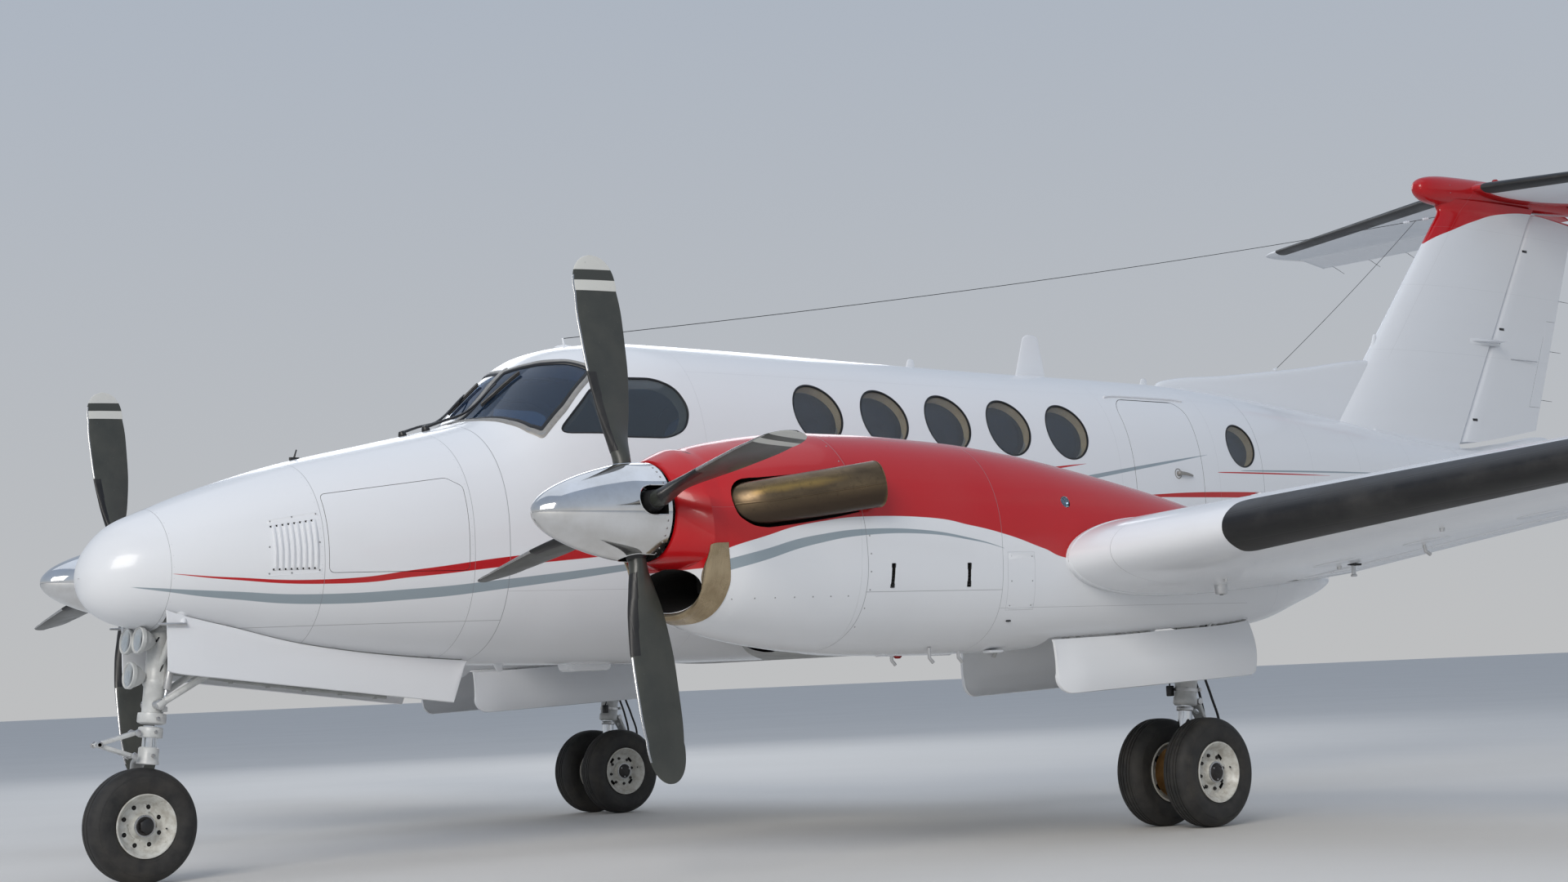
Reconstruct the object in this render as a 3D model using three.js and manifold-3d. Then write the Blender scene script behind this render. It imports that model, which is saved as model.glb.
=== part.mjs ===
// Twin turboprop aircraft, low wing, T tail, retractable gear shown extended.
// Millimetres, +Z up, nose towards -Y, port side +X. The origin is on the
// ground, under the middle of the aircraft's length and span.
// Tables are in metres and use the station s, metres aft of the nose axle.
import * as THREE from 'three';
import Module from 'manifold-3d';

const wasm = await Module();
wasm.setup();

// ---------------------------------------------------------------- dimensions
const S0 = 6.38;          // station of the origin, m aft of the nose axle
const GAP = 0.4;          // mm between touching pieces
const MOVE_GAP = 8;       // mm round a moving panel
const WALL = 0.08;        // m, cabin wall with its lining
const TAIL_WALL = 0.035;  // m, wall of the tail behind the cabin
const TRACK_HALF = 2.615; // m, nacelle, propeller and main leg centre
const WHEELBASE = 4.57;   // m
const TYRE_R = 0.2795, TYRE_W = 0.17, RIM_R = 0.150; // m
const AXLE_Z = 0.2795;    // m, tyres stand unloaded on the ground
const TWIN_OFF = 0.16;    // m, twin main wheels either side of the leg
const PROP_S = 1.10, PROP_Z = 1.60, PROP_R = 1.194;  // m
const BLADE_TIP_ANGLE = 11.1; // deg, first blade from vertical, towards the fuselage on the port side
const FLOOR_Z = 1.20;     // m, cabin floor top
const CABIN_S = [1.86, 7.62]; // m, inside ends of the cabin
const SHELL_S = { cone: 0.04, nose: 1.74, cabin: 7.70, aft: 10.40 }; // m, seams

// fuselage sections: station, bottom, top, half width, height of the greatest
// width, roundness above it and below it (2 is an ellipse, more is squarer)
const FUSELAGE = [
  // s,     zb,    zt,    w,     zm,    nt,   nb
  [-0.290, 1.455, 1.500, 0.030, 1.478, 2.00, 2.00],
  [-0.268, 1.378, 1.580, 0.110, 1.478, 2.00, 2.00],
  [-0.215, 1.312, 1.660, 0.180, 1.482, 2.00, 2.00],
  [-0.120, 1.258, 1.742, 0.250, 1.492, 2.00, 2.00],
  [0.040, 1.220, 1.812, 0.318, 1.505, 2.00, 2.00],
  [0.350, 1.174, 1.928, 0.410, 1.535, 2.10, 2.10],
  [0.770, 1.092, 2.054, 0.510, 1.560, 2.15, 2.20],
  [1.300, 1.032, 2.172, 0.608, 1.600, 2.20, 2.30],
  [1.740, 1.003, 2.272, 0.668, 1.640, 2.30, 2.40],
  [1.835, 0.999, 2.303, 0.680, 1.660, 2.35, 2.40],
  [2.165, 0.990, 2.596, 0.713, 1.720, 2.55, 2.50],
  [2.320, 0.985, 2.694, 0.728, 1.760, 2.60, 2.50],
  [2.460, 0.982, 2.728, 0.738, 1.780, 2.60, 2.50],
  [2.900, 0.973, 2.765, 0.752, 1.800, 2.60, 2.50],
  [3.500, 0.967, 2.760, 0.757, 1.800, 2.60, 2.50],
  [5.600, 0.985, 2.725, 0.757, 1.800, 2.60, 2.50],
  [6.400, 1.022, 2.720, 0.745, 1.820, 2.60, 2.50],
  [7.100, 1.112, 2.712, 0.712, 1.860, 2.60, 2.45],
  [7.700, 1.238, 2.680, 0.665, 1.920, 2.55, 2.40],
  [8.900, 1.535, 2.575, 0.540, 2.020, 2.40, 2.30],
  [10.400, 1.860, 2.400, 0.350, 2.120, 2.20, 2.10],
  [10.800, 1.945, 2.385, 0.295, 2.160, 2.10, 2.00],
  [11.300, 2.060, 2.430, 0.220, 2.240, 2.00, 2.00],
  [11.900, 2.240, 2.500, 0.110, 2.370, 2.00, 2.00],
  [12.050, 2.320, 2.460, 0.050, 2.390, 2.00, 2.00],
];

// nacelle sections, centred on TRACK_HALF: station, bottom, top, half width,
// height of the greatest width, roundness above and below
const NACELLE = [
  // s,     zb,    zt,    w,     zm,    nt,   nb
  [1.190, 1.372, 1.828, 0.228, 1.600, 2.00, 2.00],
  [1.290, 1.330, 1.860, 0.305, 1.560, 2.00, 2.00],
  [1.300, 1.130, 1.863, 0.318, 1.480, 2.00, 2.20],
  [1.500, 1.060, 1.911, 0.390, 1.480, 2.10, 2.40],
  [1.830, 0.993, 1.957, 0.428, 1.480, 2.20, 2.50],
  [2.050, 0.966, 1.971, 0.438, 1.470, 2.20, 2.50],
  [2.320, 0.945, 1.970, 0.440, 1.460, 2.20, 2.50],
  [2.840, 0.933, 1.949, 0.440, 1.440, 2.20, 2.90],
  [3.270, 0.940, 1.907, 0.440, 1.420, 2.20, 3.20],
  [3.660, 0.950, 1.845, 0.438, 1.400, 2.20, 3.20],
  [4.190, 0.975, 1.744, 0.430, 1.360, 2.20, 3.20],
  [4.540, 0.990, 1.666, 0.415, 1.330, 2.10, 3.20],
  [5.010, 1.030, 1.540, 0.370, 1.290, 2.00, 2.70],
  [5.430, 1.130, 1.410, 0.270, 1.270, 2.00, 2.00],
  [5.700, 1.210, 1.320, 0.120, 1.265, 2.00, 2.00],
  [5.790, 1.245, 1.285, 0.030, 1.265, 2.00, 2.00],
];
const COWL_END = 2.05;    // m, firewall seam

// wing stations: half span position, leading edge station and height, chord,
// thickness as a part of the chord, nose-up angle in degrees
const WING_CENTRE = [
  // x,    s,     z,      chord, t,     deg
  [0.660, 3.330, 1.150, 2.140, 0.180, 2.3],
  [3.060, 3.332, 1.366, 2.130, 0.180, 2.3],
];
const WING_OUTER = [
  // x,     s,     z,      chord, t,     deg
  [3.0605, 3.332, 1.366, 2.130, 0.180, 2.3],
  [5.780, 3.876, 1.651, 1.494, 0.155, 0.6],
  [7.980, 4.316, 1.882, 0.974, 0.125, -0.8],
  [8.180, 4.372, 1.903, 0.880, 0.100, -1.0],
  [8.275, 4.440, 1.913, 0.750, 0.070, -1.0],
  [8.305, 4.520, 1.916, 0.560, 0.030, -1.0],
];
const CAMBER = 0.018;

// moving panels of the wing: name, span from and to, hinge at this part of
// the chord, gap at its ends, where it swings a little sideways on its sloping axis
const PANELS = [
  // name,       x0,   x1,    hinge, ends
  ['flap_inner', 0.82, 2.13, 0.775, 0.018],
  ['flap_outer', 3.11, 5.73, 0.775, 0.015],
  ['aileron', 5.80, 7.94, 0.760, 0.014],
];

// tailplane and fin
const STAB = { z: 4.42, root: [11.03, 1.70], tip: [12.02, 0.71], half: 2.805, hinge: 12.40, te: 12.73, t: 0.085 };
const ELEV_X = [0.105, 2.66];   // m, span of each elevator half
const ELEV_DROOP = 14;          // deg, the elevator hangs on its down stop
const FIN = {
  z: [2.36, 4.40], le: [9.160, 10.923], hinge: [10.761, 12.031], te: [11.774, 12.637], t: [0.105, 0.10],
};
const DORSAL = [[7.36, 2.705], [7.47, 2.763], [8.15, 2.832], [9.73, 3.018], [10.1, 3.02], [10.1, 2.40], [7.36, 2.62]];
// bullet on top of the fin: station, bottom, top, half width
const BULLET = [
  [10.500, 4.385, 4.415, 0.016], [10.530, 4.335, 4.455, 0.060], [10.640, 4.290, 4.490, 0.092],
  [10.850, 4.275, 4.508, 0.108], [11.300, 4.290, 4.515, 0.112], [12.050, 4.318, 4.500, 0.100],
  [12.600, 4.340, 4.478, 0.074], [12.980, 4.388, 4.455, 0.036], [13.050, 4.412, 4.435, 0.012],
];

// windows, (station, height) on the side, (half span, station) on the windscreen
const CABIN_WINDOWS_S = [3.825, 4.326, 4.824, 5.323, 5.823];
const WINDOW_R = 0.175, SMALL_WINDOW = { s: 7.50, z: 2.254, r: 0.145 };
const windowZ = (s) => 2.341 - 0.0237 * (s - 3.813);
const EXIT = { s0: 4.548, s1: 5.100, z0: 1.86, z1: 2.515, r: 0.09 };
const DOOR = { s0: 6.375, s1: 7.045, z0: 1.245, z1: 2.535, r: 0.11 };
const AVIONICS = [[0.785, 1.470], [1.515, 1.470], [1.515, 1.900], [1.440, 1.945], [0.785, 1.862]];
const SCREEN = [[0, 1.850], [0.25, 1.866], [0.45, 1.908], [0.60, 1.975], [0.640, 2.030], [0.485, 2.262],
  [0.250, 2.200], [0, 2.172]];
const COCKPIT_SIDE = [[2.130, 2.165], [2.740, 2.165], [2.860, 2.215], [2.912, 2.335], [2.860, 2.460],
  [2.740, 2.510], [2.390, 2.505], [2.330, 2.470]];

// ------------------------------------------------------------------- helpers
const Y = (s) => (s - S0) * 1000;
const D = Math.PI / 180;
const lerp = (a, b, t) => a + (b - a) * t;

// a closed solid from indexed triangles, turned inside out if need be
function fromIndexed(pos, tri) {
  let vol = 0;
  for (let i = 0; i < tri.length; i += 3) {
    const [a, b, c] = [tri[i] * 3, tri[i + 1] * 3, tri[i + 2] * 3];
    vol += pos[a] * (pos[b + 1] * pos[c + 2] - pos[b + 2] * pos[c + 1])
      - pos[a + 1] * (pos[b] * pos[c + 2] - pos[b + 2] * pos[c])
      + pos[a + 2] * (pos[b] * pos[c + 1] - pos[b + 1] * pos[c]);
  }
  if (vol < 0) for (let i = 0; i < tri.length; i += 3) [tri[i + 1], tri[i + 2]] = [tri[i + 2], tri[i + 1]];
  return new wasm.Manifold(new wasm.Mesh({
    numProp: 3, vertProperties: new Float32Array(pos), triVerts: new Uint32Array(tri),
  }));
}

// rings of equal length, in mm, joined in turn and closed at both ends
function loft(rings) {
  const n = rings[0].length, pos = [], tri = [];
  for (const r of rings) for (const p of r) pos.push(p[0], p[1], p[2]);
  for (let k = 0; k + 1 < rings.length; k++) {
    for (let i = 0; i < n; i++) {
      const j = (i + 1) % n, a = k * n, b = (k + 1) * n;
      tri.push(a + i, a + j, b + j, a + i, b + j, b + i);
    }
  }
  for (const [o, flip] of [[0, true], [(rings.length - 1) * n, false]]) {
    let a = 0, b = n - 1;
    while (a + 1 < b) {
      const t = [[a, a + 1, b]];
      if (a + 2 < b) t.push([a + 1, b - 1, b]);
      for (const [p, q, r] of t) tri.push(...(flip ? [o + p, o + r, o + q] : [o + p, o + q, o + r]));
      a += 1; b -= 1;
    }
  }
  return fromIndexed(pos, tri);
}

// a three.js geometry as a solid, moved by a matrix
function solid(geometry, matrix) {
  const g = geometry.index ? geometry.toNonIndexed() : geometry;
  if (matrix) g.applyMatrix4(matrix);
  const p = g.attributes.position, map = new Map(), pos = [], tri = [];
  for (let i = 0; i < p.count; i++) {
    const v = [p.getX(i), p.getY(i), p.getZ(i)];
    const key = v.map((x) => Math.round(x * 1e3)).join(',');
    if (!map.has(key)) { map.set(key, pos.length / 3); pos.push(...v); }
    tri.push(map.get(key));
  }
  const clean = [];
  for (let i = 0; i < tri.length; i += 3) {
    if (tri[i] !== tri[i + 1] && tri[i + 1] !== tri[i + 2] && tri[i] !== tri[i + 2]) {
      clean.push(tri[i], tri[i + 1], tri[i + 2]);
    }
  }
  return fromIndexed(pos, clean);
}

const union = (...list) => list.flat().reduce((a, b) => a.add(b));
// the one body that a cut leaves, without the hair-thin slivers of touching curved faces
const whole = (m) => m.decompose().reduce((a, b) => (b.volume() > a.volume() ? b : a));
const cut = (a, ...list) => list.flat().reduce((m, b) => m.subtract(b), a);

// box from two corners, metres, in (x, s, z)
function box(x0, x1, s0, s1, z0, z1) {
  const g = new THREE.BoxGeometry((x1 - x0) * 1000, (s1 - s0) * 1000, (z1 - z0) * 1000);
  return solid(g, new THREE.Matrix4().makeTranslation((x0 + x1) * 500, (Y(s0) + Y(s1)) / 2, (z0 + z1) * 500));
}

const at = (p) => new THREE.Vector3(p[0] * 1000, Y(p[1]), p[2] * 1000);

// round bar between two points, metres, in (x, s, z)
function rod(p, q, r0, r1 = r0, seg = 12) {
  const a = at(p), b = at(q), d = b.clone().sub(a);
  const g = new THREE.CylinderGeometry(r1 * 1000, r0 * 1000, d.length(), seg);
  const m = new THREE.Matrix4().compose(a.clone().add(b).multiplyScalar(0.5),
    new THREE.Quaternion().setFromUnitVectors(new THREE.Vector3(0, 1, 0), d.normalize()), new THREE.Vector3(1, 1, 1));
  return solid(g, m);
}

// flat bar between two points with a rectangular section, w wide along `side`
function bar(p, q, w, h, side = [1, 0, 0]) {
  const a = at(p), b = at(q), d = b.clone().sub(a), len = d.length();
  const z = d.normalize(), x = new THREE.Vector3(...side).addScaledVector(z, -new THREE.Vector3(...side).dot(z)).normalize();
  const y = new THREE.Vector3().crossVectors(z, x);
  const m = new THREE.Matrix4().makeBasis(x, y, z).setPosition(a.clone().add(b).multiplyScalar(0.5));
  return solid(new THREE.BoxGeometry(w * 1000, h * 1000, len), m);
}

// outline in two axes, swept along the third; metres. axis 'x': (s, z), 'z': (x, s), 'y': (x, z)
function prism(points, axis, lo, hi) {
  const shape = new THREE.Shape(points.map(([a, b]) => new THREE.Vector2(a * 1000, b * 1000)));
  const g = new THREE.ExtrudeGeometry(shape, { depth: (hi - lo) * 1000, bevelEnabled: false, steps: 1 });
  const m = new THREE.Matrix4();
  if (axis === 'x') m.set(0, 0, 1, lo * 1000, 1, 0, 0, -S0 * 1000, 0, 1, 0, 0, 0, 0, 0, 1);
  if (axis === 'z') m.set(1, 0, 0, 0, 0, 1, 0, -S0 * 1000, 0, 0, 1, lo * 1000, 0, 0, 0, 1);
  if (axis === 'y') m.set(1, 0, 0, 0, 0, 0, 1, Y(lo), 0, 1, 0, 0, 0, 0, 0, 1);
  return solid(g, m);
}

const circle = (a, b, r, n = 14) => Array.from({ length: n }, (_, i) => [
  a + r * Math.cos((2 * Math.PI * (i + 0.5)) / n), b + r * Math.sin((2 * Math.PI * (i + 0.5)) / n)]);
function roundRect(a0, a1, b0, b1, r, n = 3) {
  const out = [];
  for (const [ca, cb, t0] of [[a1 - r, b1 - r, 0], [a0 + r, b1 - r, 90], [a0 + r, b0 + r, 180], [a1 - r, b0 + r, 270]]) {
    for (let i = 0; i <= n; i++) out.push([ca + r * Math.cos((t0 + (90 * i) / n) * D), cb + r * Math.sin((t0 + (90 * i) / n) * D)]);
  }
  return out;
}
// outline moved outwards (or inwards, if d is negative) by d, metres
function grow(points, d) {
  const n = points.length;
  let area = 0;
  points.forEach(([a, b], i) => { const [c, e] = points[(i + 1) % n]; area += a * e - c * b; });
  const sgn = area > 0 ? 1 : -1;
  return points.map((p, i) => {
    const o = points[(i + n - 1) % n], q = points[(i + 1) % n];
    const n1 = [p[1] - o[1], o[0] - p[0]], n2 = [q[1] - p[1], p[0] - q[0]];
    const l1 = Math.hypot(...n1), l2 = Math.hypot(...n2);
    const u = [n1[0] / l1 + n2[0] / l2, n1[1] / l1 + n2[1] / l2];
    const k = (sgn * d * 2) / (u[0] * u[0] + u[1] * u[1]);
    return [p[0] + u[0] * k, p[1] + u[1] * k];
  });
}

// turned solid about an axis through `centre` (metres) along x, y or z; the
// profile is (radius, along) in metres and starts and ends on the axis
function turned(profile, centre, axis, seg = 24) {
  const g = new THREE.LatheGeometry(profile.map(([r, h]) => new THREE.Vector2(r * 1000, h * 1000)), seg);
  const m = new THREE.Matrix4();
  if (axis === 'x') m.makeRotationZ(-Math.PI / 2);
  if (axis === 'z') m.makeRotationX(Math.PI / 2);
  m.setPosition(at(centre));
  return solid(g, m);
}

const mirror = (m) => m.scale([-1, 1, 1]);

// section of the fuselage or a nacelle, squared ellipse, off metres inside it
function section(row, off = 0, xc = 0, n = 20) {
  const [s, zb, zt, w, zm, nt, nb] = row, out = [];
  for (let i = 0; i < n; i++) {
    const t = (2 * Math.PI * i) / n, c = Math.cos(t), q = Math.sin(t);
    const e = 2 / (q >= 0 ? nt : nb), h = (q >= 0 ? zt - zm : zm - zb) - off;
    out.push([(xc + (w - off) * Math.sign(c) * Math.abs(c) ** e) * 1000, Y(s),
      (zm + h * Math.sign(q) * Math.abs(q) ** e) * 1000]);
  }
  return out;
}
function rowAt(table, s) {
  let i = 0;
  while (i + 2 < table.length && table[i + 1][0] < s) i++;
  const t = (s - table[i][0]) / (table[i + 1][0] - table[i][0]);
  return table[i].map((v, k) => (k === 0 ? s : lerp(v, table[i + 1][k], t)));
}
const rowsBetween = (table, a, b) => [rowAt(table, a), ...table.filter((r) => r[0] > a + 1e-6 && r[0] < b - 1e-6), rowAt(table, b)];

// ------------------------------------------------------------- wing sections
const thick = (f, t) => 5 * t * (0.2969 * Math.sqrt(f) - 0.126 * f - 0.3516 * f ** 2 + 0.2843 * f ** 3 - 0.1015 * f ** 4);
const camber = (f) => 4 * CAMBER * f * (1 - f);
const FOIL_F = [1, 0.80, 0.60, 0.40, 0.22, 0.09, 0.025, 0]; // chord fractions from the trailing edge
function stationAt(table, x) {
  let i = 0;
  while (i + 2 < table.length && table[i + 1][0] < x) i++;
  const t = (x - table[i][0]) / (table[i + 1][0] - table[i][0]);
  return table[i].map((v, k) => (k === 0 ? x : lerp(v, table[i + 1][k], t)));
}
// point on a station at chord fraction f, side +1 upper, -1 lower, 0 mean; d metres outwards
function foilPoint([x, s, z, c, t, deg], f, side, d = 0) {
  const u = f * c, v = camber(f) * c + side * (thick(f, t) * c + d), a = deg * D;
  return [x * 1000, Y(s + u * Math.cos(a) + v * Math.sin(a)), (z - u * Math.sin(a) + v * Math.cos(a)) * 1000];
}
function foilRing(st, d = 0) {
  const upper = FOIL_F.map((f) => foilPoint(st, f, 1, d));
  const lower = FOIL_F.slice(0, -1).map((f) => foilPoint(st, f, -1, d)).reverse();
  if (d) { upper[0][1] += d * 1000; lower[lower.length - 1][1] += d * 1000; upper[upper.length - 1][1] -= d * 1000; }
  return [...upper, ...lower];
}
const wingSolid = (table, d = 0) => loft(table.map((r) => foilRing(r, d)));
// rear panel: skins aft of the hinge, round nose about the hinge point
function panelRing(st, hinge) {
  const fs = [1, lerp(1, hinge, 0.5), hinge];
  const up = fs.map((f) => foilPoint(st, f, 1)), lo = fs.map((f) => foilPoint(st, f, -1));
  const c = foilPoint(st, hinge, 0), r = Math.hypot(up[2][1] - c[1], up[2][2] - c[2]);
  const nose = [45, 90, 135].map((a) => [c[0], c[1] - r * Math.sin(a * D), c[2] + r * Math.cos(a * D)]);
  return [...up, ...nose, ...lo.reverse()];
}
// box under and over the wing that frees a panel, its front face clear of the nose
function panelRoom(table, x0, x1, hinge, ends) {
  const e = MOVE_GAP / 1000, front = (x) => {
    const st = stationAt(table, x), c = foilPoint(st, hinge, 0), u = foilPoint(st, hinge, 1);
    return (c[1] - Math.hypot(u[1] - c[1], u[2] - c[2])) / 1000 + S0 - e;
  };
  const a = x0 - ends, b = x1 + ends;
  return prism([[a, front(a)], [b, front(b)], [b, 6.2], [a, 6.2]], 'z', 0.5, 2.6);
}

// -------------------------------------------------------------------- pieces
const pieces = []; // name, solid, colour, roughness, metalness
const WHITE = 0xf1f2f4, RED = 0xc00d18, DARK = 0x1b1d20, STEEL = 0xb9bcc0, TAN = 0xcfc4ae, RUBBER = 0x1a1a1b;
const put = (name, m, colour = WHITE, rough = 0.3, metal = 0.0) => pieces.push([name, whole(m), colour, rough, metal]);

// whole fuselage outside, its skin offset and its cabin space
const outer = loft(FUSELAGE.map((r) => section(r)));
const skin = (off) => loft(FUSELAGE.slice(5, 20).map((r) => section(r, off)));
const slab = (a, b) => box(-1.2, 1.2, a, b, 0.5, 3.4);
const cabinSpace = skin(WALL).intersect(box(-1, 1, ...CABIN_S, FLOOR_Z - 0.035, 3));

// seams along the fuselage
const g = GAP / 2000;
let nose = outer.intersect(slab(SHELL_S.cone + g, SHELL_S.nose - g));
let shell = outer.intersect(slab(SHELL_S.nose + g, SHELL_S.cabin - g));
let aft = outer.intersect(slab(SHELL_S.cabin + g, SHELL_S.aft - g));
let cone = outer.intersect(slab(SHELL_S.aft + g, 12.2));
put('nose_cone', outer.intersect(slab(-0.4, SHELL_S.cone - g)));
// thin-walled tail, open where it meets the cabin's rear wall
const tailHollow = loft([7.6, 8.9, 10.4, 10.8, 11.35].map((s) => section(rowAt(FUSELAGE, s), TAIL_WALL, 0, 16)));
aft = cut(aft, tailHollow.intersect(slab(SHELL_S.cabin - 0.01, SHELL_S.aft - 0.05)));
cone = cut(cone, tailHollow.intersect(slab(SHELL_S.aft - 0.01, 11.3)));

// centre wing: two stubs and the slab that carries them under the floor
const root = WING_CENTRE[0];
const carry = (d) => loft([foilRing([-root[0], ...root.slice(1)], d), foilRing(root, d)])
  .intersect(box(-2, 2, 3, 6, 0.8, FLOOR_Z - 0.045 + d));
const stub = (d) => wingSolid(WING_CENTRE.map((r, i) => (i ? [r[0] + d, ...r.slice(1)] : [r[0] - d, ...r.slice(1)])), d);
const centreWing = (d) => union(stub(d), mirror(stub(d)), carry(d));

// --- nose section: wheel well and a bay behind each side door
const noseWell = box(-0.235, 0.235, 0.06, 1.70, 0.8, 1.43);
const avionicsCut = (d, x0, x1) => prism(grow(AVIONICS, d), 'x', x0, x1);
const bay = avionicsCut(-0.015, 0.262, 0.9).intersect(skin(0.03));
// the doorway has a ledge all round, but none along the hinge at the top edge
const doorway = avionicsCut(0.012, 0.3, 0.9);
const doorwayCut = union(cut(doorway, skin(0.036)), doorway.intersect(rod([0.42, 0.75, 1.86], [0.55, 1.53, 1.95], 0.080, 0.080, 10)));
nose = cut(nose, noseWell, bay, mirror(bay), doorwayCut, mirror(doorwayCut));
const avionicsDoor = avionicsCut(0, 0.3, 0.9).intersect(outer).subtract(skin(0.03));
put('nose_section', nose);
put('avionics_door_left', avionicsDoor);
put('avionics_door_right', mirror(avionicsDoor));

// --- cabin shell: hollow, with its windows, door and exit cut through the wall
const pane = (m, off = 0.022) => m.intersect(outer).subtract(skin(off));
const screen = (d) => { const h = grow([...SCREEN, ...SCREEN.slice(1, -1).reverse().map(([x, s]) => [-x, s])], d); return prism(h, 'z', 1.98, 2.9); };
const sidePrism = (pts, d, x0 = 0.4, x1 = 0.9) => prism(grow(pts, d), 'x', x0, x1);
const gp = GAP / 1000;
const windowHole = (s, d = 0) => sidePrism(circle(s, windowZ(s), WINDOW_R), d, 0.45);
const smallHole = (d = 0) => sidePrism(circle(SMALL_WINDOW.s, SMALL_WINDOW.z, SMALL_WINDOW.r, 12), d, 0.3);
const exitOutline = roundRect(EXIT.s0, EXIT.s1, EXIT.z0, EXIT.z1, EXIT.r);
const doorOutline = roundRect(DOOR.s0, DOOR.s1, DOOR.z0, DOOR.z1, DOOR.r);
const doorFrame = roundRect(DOOR.s0 - 0.010, DOOR.s1 + 0.010, DOOR.z0 - 0.010, DOOR.z1 + 0.010, DOOR.r - 0.022);
const exitS = CABIN_WINDOWS_S[2];
let holes = [screen(0), sidePrism(COCKPIT_SIDE, 0), mirror(sidePrism(COCKPIT_SIDE, 0)), smallHole(), mirror(smallHole()),
  sidePrism(doorFrame, 0, 0.1), mirror(sidePrism(exitOutline, MOVE_GAP / 1000, 0.3))];
for (const s of CABIN_WINDOWS_S) {
  holes.push(windowHole(s));
  if (s !== exitS) holes.push(mirror(windowHole(s)));
}
// roof and belly aerials joined to the skin: station, x, foot z, height, root chord, tip chord, thickness
const AERIALS = [
  [5.17, 0.0, 2.70, 0.105, 0.10, 0.05, 0.016],
  [6.22, 0.0, 2.69, 0.325, 0.30, 0.13, 0.022],
  [7.30, 0.0, 2.68, 0.095, 0.10, 0.05, 0.016],
];
const aerial = ([s, x, z, h, c0, c1, t]) => loft([[c0, z, 0], [c1, z + h, c0 * 0.55]].map(([c, zz, ds]) =>
  [[0.5, 0], [0.2, 0.5], [-0.2, 0.5], [-0.5, 0], [-0.2, -0.5], [0.2, -0.5]].map(([a, b]) =>
    [(x + b * t) * 1000, Y(s + ds + a * c), zz * 1000])));
const bellyBox = loft([[0.965, 0.15, 0.07], [0.925, 0.12, 0.05]].map(([z, l, w]) =>
  roundRect(2.63 - l, 2.63 + l, -w, w, 0.03, 2).map(([s, x]) => [x * 1000, Y(s), (z + 0.03) * 1000])));
shell = cut(union(shell, bellyBox, ...AERIALS.map(aerial)), cabinSpace, holes, centreWing(gp));
put('cabin_shell', shell);

put('windshield', pane(screen(-gp)), DARK, 0.08, 0.1);
const sidePane = pane(sidePrism(COCKPIT_SIDE, -gp));
put('side_window_left', sidePane, DARK, 0.08, 0.1);
put('side_window_right', mirror(sidePane), DARK, 0.08, 0.1);

// cabin window panes, joined by the belt lining inside the wall
const belt = (s0, s1, z0, z1) => cut(sidePrism(roundRect(s0, s1, z0, z1, 0.05), 0, 0.3).intersect(skin(WALL + gp)), skin(WALL + 0.010));
const panes = (list) => list.map((s) => windowHole(s, -gp).intersect(outer).subtract(skin(WALL + 0.008)).subtract(cut(outer, skin(0.012))));
const beltLeft = union(belt(3.58, 6.06, 2.08, 2.52), ...panes(CABIN_WINDOWS_S));
const exitRoom = sidePrism(exitOutline, 0.022, 0.2);
const beltRight = union(cut(belt(3.58, 6.06, 2.08, 2.60), exitRoom), ...panes(CABIN_WINDOWS_S.filter((s) => s !== exitS)));
put('cabin_windows_left', beltLeft, DARK, 0.12, 0.1);
put('cabin_windows_right', mirror(beltRight), DARK, 0.12, 0.1);
// rear lining hoop with the two small rear panes
const hoop = cut(skin(WALL + gp).intersect(slab(7.34, 7.615)), skin(WALL + 0.010), box(-1, 1, 7, 8, 0.5, FLOOR_Z + 0.01));
const rearPane = smallHole(-gp).intersect(outer).subtract(skin(WALL + 0.008)).subtract(cut(outer, skin(0.012)));
put('aft_windows', union(hoop, rearPane, mirror(rearPane)), DARK, 0.12, 0.1);

// bottom-hinged airstair door and the plug exit, each as thick as the wall
const wall = cut(outer, cabinSpace);
// its top edge is rounded about the hinge at the sill, so that it swings out of its frame
const DOOR_HINGE = { x: 0.605, z: 1.238, r: 1.2965 };
const doorSwing = rod([DOOR_HINGE.x, DOOR.s0 - 0.1, DOOR_HINGE.z], [DOOR_HINGE.x, DOOR.s1 + 0.1, DOOR_HINGE.z], DOOR_HINGE.r, DOOR_HINGE.r, 120);
put('cabin_door', sidePrism(doorOutline, 0, 0.1).intersect(wall).intersect(doorSwing));
put('emergency_exit', mirror(sidePrism(exitOutline, 0, 0.3).intersect(wall)));

// --- inside
put('cabin_floor', skin(WALL + gp).intersect(box(-1, 1, CABIN_S[0] + 0.01, CABIN_S[1] - 0.01, FLOOR_Z - 0.034, FLOOR_Z)), 0x6b625a, 0.9);
const panel = union(
  prism([[1.875, FLOOR_Z + gp], [1.92, FLOOR_Z + gp], [2.06, 1.86], [2.12, 2.10], [2.18, 2.135], [2.16, 2.165], [1.90, 2.185], [1.875, 2.10]], 'x', -0.46, 0.46),
  box(-0.10, 0.10, 1.95, 2.54, FLOOR_Z + gp, 1.60));
put('instrument_panel', panel.intersect(skin(WALL + 0.001)), 0x2a2b2e, 0.7);

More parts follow.
